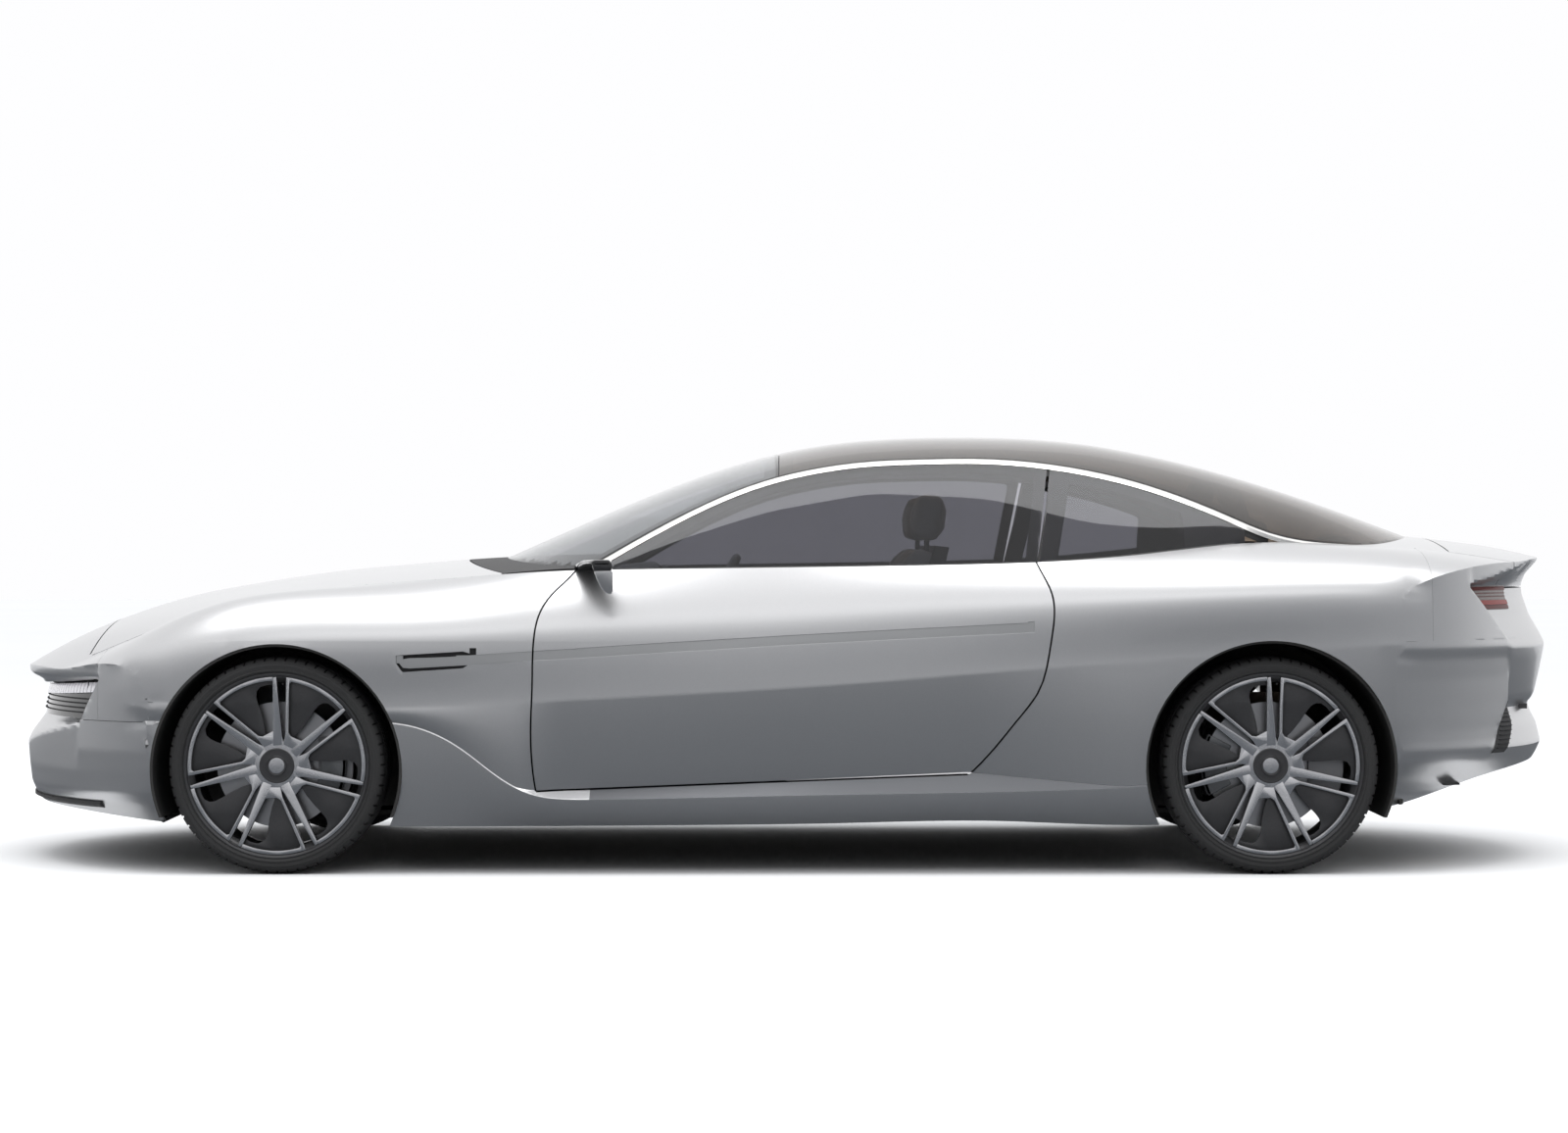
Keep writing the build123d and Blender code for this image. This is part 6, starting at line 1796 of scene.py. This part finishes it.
def band_of(name, rows, fields, widths, side, body):
    """The part of a pane's outline within the given widths of its edges."""
    def near_edge(x, y, z):
        depth = [field(x, y, z) - width for field, width in zip(fields, widths)]
        return -np.minimum.reduce(depth)

    inward = np.array([0.0, -side * BAND_IN, -BAND_DOWN])
    return pane(name, [row + inward for row in rows], fields + [near_edge], (0, side, 0.3), SEAL, body,
                depth=0.0012)


def pane_y(x, z):
    """Where the side glass stands at height z (metres), on the left."""
    rail, foot = rail_foot(x)
    return foot[0] + (z - foot[1]) * (rail[0] - foot[0]) / (rail[1] - foot[1])


def belt_seal(side, first, last):
    rows = []
    for x in np.arange(first, last + 1, 20):
        z = BELT_Z(x) * M
        inner, outer = pane_y(x, z) - 0.0035, -BELT_Y(x) * M + 0.0015
        inner = max(inner, outer + 0.003)
        rows.append([(along(x), -side * y, z + up) for y, up in
                     ((inner, -0.010), (inner, 0.0035), ((inner + outer) / 2, 0.0035), (outer, -0.001),
                      (outer, -0.009))])
    return tube("belt_seal", rows)


DOOR_BANDS = (0.0, 0.030, 0.036)
QUARTER_BANDS = (0.015, 0.034, PANE_REAR - along(1215))
for side, word in SIDES:
    band_of("door_glass_band_" + word, side_rows(DOOR_STATIONS, side), DOOR_FIELDS, DOOR_BANDS, side,
            "door_" + word)
    band_of("quarter_glass_band_" + word, side_rows(QUARTER_STATIONS, side), QUARTER_FIELDS, QUARTER_BANDS,
            side, "root")
    add("door_belt_seal_" + word, belt_seal(side, -600, 740), SEAL, "door_" + word, 40)
    add("quarter_belt_seal_" + word, belt_seal(side, 770, 1380), SEAL, "root", 40)
print("bands and seals fitted")


# %% [markdown]
# ## Stuffed seats
#
# A seat pad is leather pulled over foam. Each form starts as a slightly smaller block, is blown up a
# little by a short cloth run with no gravity, and may move by a capped amount, so it stays in the
# space it was packed in. The sewn channels are pressed in afterwards. Left and right share one form.

# %% Pads
def seat_block(name, length, wide, thick, bolster, voxel):
    """A rounded block with raised sides, remeshed evenly; x along the pad, z out of its face."""
    bm = bmesh.new()
    bmesh.ops.create_cube(bm, size=1.0)
    bmesh.ops.scale(bm, vec=(length, wide, thick), verts=bm.verts)
    bmesh.ops.bevel(bm, geom=bm.edges[:], offset=0.3 * thick, segments=4, affect="EDGES", profile=0.5)
    obj = link(name, stored(bm, name))
    even = obj.modifiers.new("even", "REMESH")
    even.mode = "VOXEL"
    even.voxel_size = voxel
    mesh = baked(obj)
    for v in mesh.vertices:
        if v.co.z > 0:
            rise = min(1.0, max(0.0, (abs(v.co.y) / (wide / 2) - 0.52) / 0.22))
            v.co.z += bolster * rise * rise * (3 - 2 * rise)
    return mesh


AIR_PRESSURE, RUN_FRAMES = 4.0, 20


def blown_up(name, start, cap=0.024):
    """The block after a short cloth run; no point moves further than the cap."""
    before = np.array([v.co[:] for v in start.vertices])
    obj = link(name, start)
    cloth = obj.modifiers.new("fill", "CLOTH")
    cloth.settings.use_pressure = True
    cloth.settings.uniform_pressure_force = AIR_PRESSURE
    cloth.settings.quality = 4
    cloth.settings.effector_weights.gravity = 0.0
    cloth.point_cache.frame_start = 1
    cloth.point_cache.frame_end = RUN_FRAMES
    for step in range(1, RUN_FRAMES + 1):
        bpy.context.scene.frame_set(step)
    mesh = baked(obj)
    bpy.context.scene.frame_set(1)
    after = np.array([v.co[:] for v in mesh.vertices])
    moved = after - before
    moved -= moved.mean(axis=0)
    far = np.linalg.norm(moved, axis=1, keepdims=True)
    after = before + moved * np.minimum(1.0, cap / np.maximum(far, 1e-9))
    mesh.vertices.foreach_set("co", after.ravel())
    return mesh


CHANNEL_DEPTH, SEAM_DEPTH, STITCH_REACH = 0.007, 0.008, 0.006


def pad(name, length, wide, thick, channels, bolster=0.022, voxel=0.012):
    """A finished pad: blown up, smoothed once, with channels across it and a seam beside each bolster."""
    mesh = blown_up(name, seat_block(name, length, wide, thick, bolster, voxel))
    obj = link(name, mesh)
    obj.modifiers.new("smooth", "SUBSURF").levels = 1
    mesh = baked(obj)
    seam_y = 0.27 * wide
    for v in mesh.vertices:
        x, y, z = v.co
        if z < 0:
            continue
        if abs(y) < seam_y:
            near = min((abs(x - c) for c in channels), default=1.0)
            v.co.z -= CHANNEL_DEPTH * exp(-(near / STITCH_REACH) ** 2)
        v.co.z -= SEAM_DEPTH * exp(-((abs(y) - seam_y) / STITCH_REACH) ** 2)
    return mesh


def seat_pad(name, mesh, centre, run):
    """Puts a pad with its x axis along run (x, z); its face looks up or forward."""
    reach = hypot(*run)
    lx, lz = run[0] / reach, run[1] / reach
    obj = link(name, mesh)
    obj.matrix_world = Matrix(((lx, 0, -lz, centre[0]), (0, 1, 0, centre[1]), (lz, 0, lx, centre[2]),
                               (0, 0, 0, 1)))
    shade(mesh, 60)
    paint_on(obj, LEATHER)
    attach(obj, "root")
    return obj


def channel_rows(length, count):
    """Even places along a pad for its sewn channels."""
    return [length * (k / (count + 1) - 0.5) for k in range(1, count + 1)]


FRONT_CUSHION = pad("front_cushion", 0.470, 0.470, 0.090, channel_rows(0.40, 5))
FRONT_BACK = pad("front_back", 0.590, 0.460, 0.080, channel_rows(0.52, 7))
HEADREST = pad("headrest", 0.145, 0.250, 0.070, [], bolster=0.008, voxel=0.009)
REAR_CUSHION = pad("rear_cushion", 0.310, 0.500, 0.090, channel_rows(0.26, 3))
REAR_BACK = pad("rear_back", 0.450, 0.500, 0.075, channel_rows(0.38, 5))
print("five forms blown up and sewn")


# %% [markdown]
# ## The seats in their places
#
# Each pad lies on a moulded shell, and a plain base carries the shell to the floor, so nothing floats.
# The shells are flat side outlines with a width, which is all that shows between pad and door.

# %% Shells, bases and pads
SEAT_Y, REAR_SEAT_Y = 0.385, 0.276
SHELL_HALF, BASE_HALF, REAR_SHELL_HALF = 0.215, 0.20, 0.52
FRONT_SHELL = drawn(((215, 330), (300, 300), (360, 420), (500, 985), (455, 990), (310, 560)))
REAR_SHELL = drawn(((880, 330), (1010, 300), (1130, 560), (1132, 880), (1085, 880)))


def front_seat_frame(y):
    """Shell, base and the headrest's two posts for a seat whose middle is at y."""
    parts = [side_plate("shell", FRONT_SHELL, y - SHELL_HALF, y + SHELL_HALF),
             brick("base", (along(-290), y - BASE_HALF, 0.172), (along(240), y + BASE_HALF, 0.318))]
    parts += [brick("post", (along(432), y + w - 0.006, 0.97), (along(444), y + w + 0.006, 1.06))
              for w in (-0.06, 0.06)]
    return joined("front_seat_frame", parts)


for side, word in SIDES:
    y = side * SEAT_Y
    cushion = seat_pad("front_cushion_" + word, FRONT_CUSHION.copy(), (along(-84), y, 0.366), (1.0, -0.06))
    seat_pad("front_back_" + word, FRONT_BACK.copy(), (along(344), y, 0.700), (250, 610))
    seat_pad("headrest_" + word, HEADREST.copy(), (along(443), y, 1.078), (20, 150))
    add("front_seat_frame_" + word, front_seat_frame(y), MATT_BLACK, "root", 35, bevel=0.003)
    if side < 0:
        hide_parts("front_seats")
    y = side * REAR_SEAT_Y
    low = seat_pad("rear_cushion_" + word, REAR_CUSHION.copy(), (along(720), y, 0.382), (1.0, -0.06))
    seat_pad("rear_back_" + word, REAR_BACK.copy(), (along(988), y, 0.668), (170, 450))
    if side < 0:
        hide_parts("rear_seat")
rear_frame = [brick("rear_base", (along(600), -0.50, 0.182), (along(930), 0.50, 0.334)),
              side_plate("rear_shell", REAR_SHELL, -REAR_SHELL_HALF, REAR_SHELL_HALF),
              brick("rear_console", (along(640), -0.022, 0.334), (along(930), 0.022, 0.452))]
add("rear_seat_frame", joined("rear_seat_frame", rear_frame), MATT_BLACK, "root", 35, bevel=0.004)
print("ten pads on three frames")


# %% [markdown]
# ## Cabin fittings
#
# The hood over the instruments, a screen, the console's top with its selector and an armrest on each
# door show through the glass. Their edges matter more than their faces, so each is a plain form with a
# rounded edge, and the armrests ride on the doors.

# %% Hood, screen, console and armrests
def hood_rows(columns=12, width=0.34, lift=0.052):
    """Sections of the instrument hood, arched across its width."""
    rows = []
    for k in range(columns + 1):
        y = -SEAT_Y - 0.17 + width * k / columns
        up = lift * sin(pi * k / columns) ** 0.5
        rows.append([(along(-560), y, 0.895), (along(-560), y, 0.900 + 0.6 * up),
                     (along(-425), y, 0.888 + up), (along(-410), y, 0.880 + up), (along(-425), y, 0.874)])
    return rows


def cabin_block(name, low, high, material, bevel):
    """A rounded block in the cabin; its corners' first numbers are drawn millimetres along the car."""
    mesh = brick(name, (along(low[0]), *low[1:]), (along(high[0]), *high[1:]))
    add(name, mesh, material, "root", 35, bevel=bevel)


add("instrument_hood", tube("instrument_hood", hood_rows()), DARK_LEATHER, "root", 40)
cabin_block("centre_screen", (-410, -0.125, 0.800), (-396, 0.125, 0.930), GLOSS_BLACK, 0.004)
cabin_block("console_top", (-340, -0.105, 0.466), (515, 0.105, 0.492), DARK_LEATHER, 0.010)
cabin_block("selector", (-150, -0.020, 0.488), (-90, 0.020, 0.545), GLOSS_BLACK, 0.009)
for side, word in SIDES:
    low, high = sorted((side * 0.815, side * 0.715))
    add("armrest_" + word, brick("armrest", (along(-330), low, 0.585), (along(330), high, 0.640)), LEATHER,
        "door_" + word, 35, bevel=0.016)
print("cabin fitted")


# %% [markdown]
# ## Engine cover
#
# Under the open bonnet one sees a moulded cover with ribs rather than the engine. It is placed from
# the engine's own box, so it stays on top of it whatever its size.

# %% Engine cover
RIBS, RIB_PITCH, COVER_HALF = 9, 0.05, 0.27
engine_low, engine_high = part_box("engine")
engine_top = engine_high[2]
cover = [brick("cover", (engine_low[0] + 0.02, -COVER_HALF, engine_top - 0.004),
               (engine_high[0] - 0.02, COVER_HALF, engine_top + 0.022))]
for k in range(RIBS):
    y = -0.20 + RIB_PITCH * k
    cover.append(brick("rib", (engine_low[0] + 0.06, y - 0.008, engine_top + 0.018),
                       (engine_high[0] - 0.06, y + 0.008, engine_top + 0.029)))
add("engine_cover", joined("engine_cover", cover), MATT_BLACK, "root", 35, bevel=0.003)
print("engine cover:", RIBS, "ribs")


# %% [markdown]
# ## Brake calipers
#
# A caliper is two halves astride the disc with a bridge over its rim. It steers with the knuckle but
# doesn't turn with the wheel, so the front ones ride on the steered bodies and the rear ones on the
# car. Each half is part of a ring with a thickness.

# %% Calipers
CALIPER_INNER, CALIPER_OUTER, BRIDGE_INNER = 0.128, 0.208, 0.1925
DISC_OUT = 0.8305


def ring_piece(toward, r0, r1):
    """The outline of a piece of a ring, 54 degrees about the way it points."""
    turn = [toward + radians(a) for a in range(-27, 28, 3)]
    inner = [(r0 * cos(a), r0 * sin(a)) for a in turn]
    return inner + [(r1 * cos(a), r1 * sin(a)) for a in reversed(turn)]


def caliper(toward):
    """Outer half, inner half and the bridge that joins them over the disc's edge."""
    half = ring_piece(toward, CALIPER_INNER, CALIPER_OUTER)
    bridge = ring_piece(toward, BRIDGE_INNER, CALIPER_OUTER)
    return joined("caliper", [plate("half", half, lambda u, v: DISC_OUT + 0.050, 0.033),
                              plate("half", half, lambda u, v: DISC_OUT - 0.017, 0.030),
                              plate("bridge", bridge, lambda u, v: DISC_OUT + 0.050, 0.094)])


for tag in ("front_left", "front_right", "rear_left", "rear_right"):
    hub = middle("disc_" + tag)
    left, front = "left" in tag, "front" in tag
    mesh = caliper(0.0 if front else pi)
    body = ("steer_left" if left else "steer_right") if front else "root"
    add("caliper_" + tag, mesh if left else flipped(mesh), CALIPER, body, 35,
        (hub.x, 0.0, hub.z), 0.004)
print("four calipers fitted")


# %% [markdown]
# ## Stage
#
# A plain pale floor, wide enough that its edge is never in view beside the car. It is one flat
# rectangle, because a curved backdrop would show in the paint as a band.

# %% Floor
def flat_stage(name, outlines, z, material):
    """Flat pieces of the stage at height z, each a rectangle (x0, y0, x1, y1)."""
    points, faces = [], []
    for x0, y0, x1, y1 in outlines:
        faces.append(tuple(len(points) + k for k in range(4)))
        points += [(x0, y0, z), (x1, y0, z), (x1, y1, z), (x0, y1, z)]
    mesh = bpy.data.meshes.new(name)
    mesh.from_pydata(points, [], faces)
    obj = link(name, mesh)
    paint_on(obj, material)
    return obj


FLOOR = finish("studio_floor", GRAIN, ((0.86, 0.87, 0.88), (0.90, 0.90, 0.905)), 40.0, 0.01, drift=0.3,
               Roughness=0.7, Specular_IOR_Level=0.0)
flat_stage("studio_floor", [(-40, -30, 40, 50)], 0.0, FLOOR)


# %% [markdown]
# Car paint shows the floor beside it. A studio lays dark cloth there to give the lower sides some
# depth. Here it is a cloth that only mirror-like rays meet, and only from above.

# %% Dark cloth
CLOTH = finish("flag_cloth", GRAIN, ((0.070, 0.078, 0.088), (0.062, 0.068, 0.078)), 300.0, 0.3, Roughness=0.9)


face = CLOTH.node_tree.nodes.new("ShaderNodeNewGeometry")
let_through(CLOTH, face.outputs["Backfacing"])
cloth = flat_stage("dark_cloth", [(-14, -14, 14, -0.80), (-14, -0.80, -2.62, 5), (2.62, -0.80, 14, 5)],
                   0.002, CLOTH)
cloth.visible_camera = False
cloth.visible_diffuse = False
cloth.visible_transmission = False
cloth.visible_shadow = False
print("floor and cloth laid")


# %% [markdown]
# ## Soft boxes
#
# A long soft box over the roof draws the highlight along the shoulder. A narrow one high on the
# near side lifts the flank, and a wide weak one opens the far side.

# %% Lights
def soft_box(name, place, aim, size, power):
    """A rectangular area light that looks at a point."""
    lamp = bpy.data.lights.new(name, "AREA")
    lamp.shape = "RECTANGLE"
    lamp.size, lamp.size_y = size
    lamp.energy = power
    obj = link(name, lamp)
    obj.location = place
    obj.rotation_euler = (Vector(aim) - Vector(place)).to_track_quat("-Z", "Y").to_euler()
    return obj


soft_box("soft_box_top", (0, -0.8, 5.0), (0, 0, 0), (7.5, 2.6), 220)
soft_box("soft_box_shoulder", (0.3, -6.5, 5.2), (0, 0, 0.7), (9.0, 1.6), 30)
soft_box("soft_box_far_side", (0, 8.0, 3.5), (0, 0, 0.6), (10.0, 3.0), 12)
print("three soft boxes")


# %% [markdown]
# ## Sky
#
# The camera and the glossy paint meet a pale studio, while the light that falls on the car comes mostly
# from above. A Light Path node keeps the two apart, so the background may be white without washing the
# car out.

# %% Studio world
def map_range(nodes, low, high):
    node = nodes.new("ShaderNodeMapRange")
    node.inputs["From Min"].default_value = low
    node.inputs["From Max"].default_value = high
    return node


def tone_mix(nodes, low, high):
    node = nodes.new("ShaderNodeMix")
    node.data_type = "RGBA"
    node.inputs["A"].default_value = (*low, 1.0)
    node.inputs["B"].default_value = (*high, 1.0)
    return node


def clamped_sum(nodes):
    node = nodes.new("ShaderNodeMath")
    node.operation = "ADD"
    node.use_clamp = True
    return node


def studio_world():
    """What is seen is white behind and above the car and dim on the camera's side; the light that falls
    comes mostly from above."""
    world = bpy.data.worlds.new("studio_sky")
    world.use_nodes = True
    nodes, link_up = world.node_tree.nodes, world.node_tree.links.new
    place = nodes.new("ShaderNodeTexCoord")
    split = nodes.new("ShaderNodeSeparateXYZ")
    height = nodes.new("ShaderNodeValToRGB")
    for k, (at, tone) in enumerate(((0.0, 0.0), (0.30, 0.40), (0.52, 0.62), (0.72, 1.0))):
        stop = height.color_ramp.elements[k] if k < 2 else height.color_ramp.elements.new(at)
        stop.position = at
        stop.color = (tone, tone, tone, 1.0)
    level = map_range(nodes, -0.10, 1.0)
    behind = map_range(nodes, -0.35, 0.30)
    most = nodes.new("ShaderNodeMath")
    most.operation = "MAXIMUM"
    seen = tone_mix(nodes, (0.17, 0.18, 0.20), (0.99, 0.99, 1.0))
    over = map_range(nodes, -0.05, 0.8)
    falls = tone_mix(nodes, (0.04, 0.042, 0.045), (1.38, 1.39, 1.41))
    ray = nodes.new("ShaderNodeLightPath")
    either, any_seen = clamped_sum(nodes), clamped_sum(nodes)
    out = tone_mix(nodes, (0, 0, 0), (1, 1, 1))
    link_up(place.outputs["Generated"], split.inputs["Vector"])
    link_up(split.outputs["Z"], level.inputs["Value"])
    link_up(level.outputs["Result"], height.inputs["Fac"])
    link_up(split.outputs["Z"], over.inputs["Value"])
    link_up(split.outputs["Y"], behind.inputs["Value"])
    link_up(height.outputs["Color"], most.inputs[0])
    link_up(behind.outputs["Result"], most.inputs[1])
    link_up(most.outputs["Value"], seen.inputs["Factor"])
    link_up(over.outputs["Result"], falls.inputs["Factor"])
    link_up(ray.outputs["Is Camera Ray"], either.inputs[0])
    link_up(ray.outputs["Is Glossy Ray"], either.inputs[1])
    link_up(either.outputs["Value"], any_seen.inputs[0])
    link_up(ray.outputs["Is Transmission Ray"], any_seen.inputs[1])
    link_up(any_seen.outputs["Value"], out.inputs["Factor"])
    link_up(falls.outputs["Result"], out.inputs["A"])
    link_up(seen.outputs["Result"], out.inputs["B"])
    link_up(out.outputs["Result"], nodes["Background"].inputs["Color"])
    nodes["Background"].inputs["Strength"].default_value = 1.0
    return world


bpy.context.scene.world = studio_world()
print("world:", bpy.context.scene.world.name)


# %% [markdown]
# ## Camera
#
# A long lens from eleven metres keeps the wheels round and the roof line true. The small shift sets
# the car's height in the frame without tilting the camera, so uprights stay upright.

# %% Camera
camera_data = bpy.data.cameras.new("camera")
camera_data.lens = 80.2
camera_data.shift_y = -0.0152
camera = link("camera", camera_data)
camera.location = (-0.013, -11.45, 1.0)
camera.rotation_euler = (pi / 2, 0, 0)
bpy.context.scene.camera = camera
bpy.context.scene.view_settings.view_transform = "Standard"
print("camera at", tuple(camera.location))
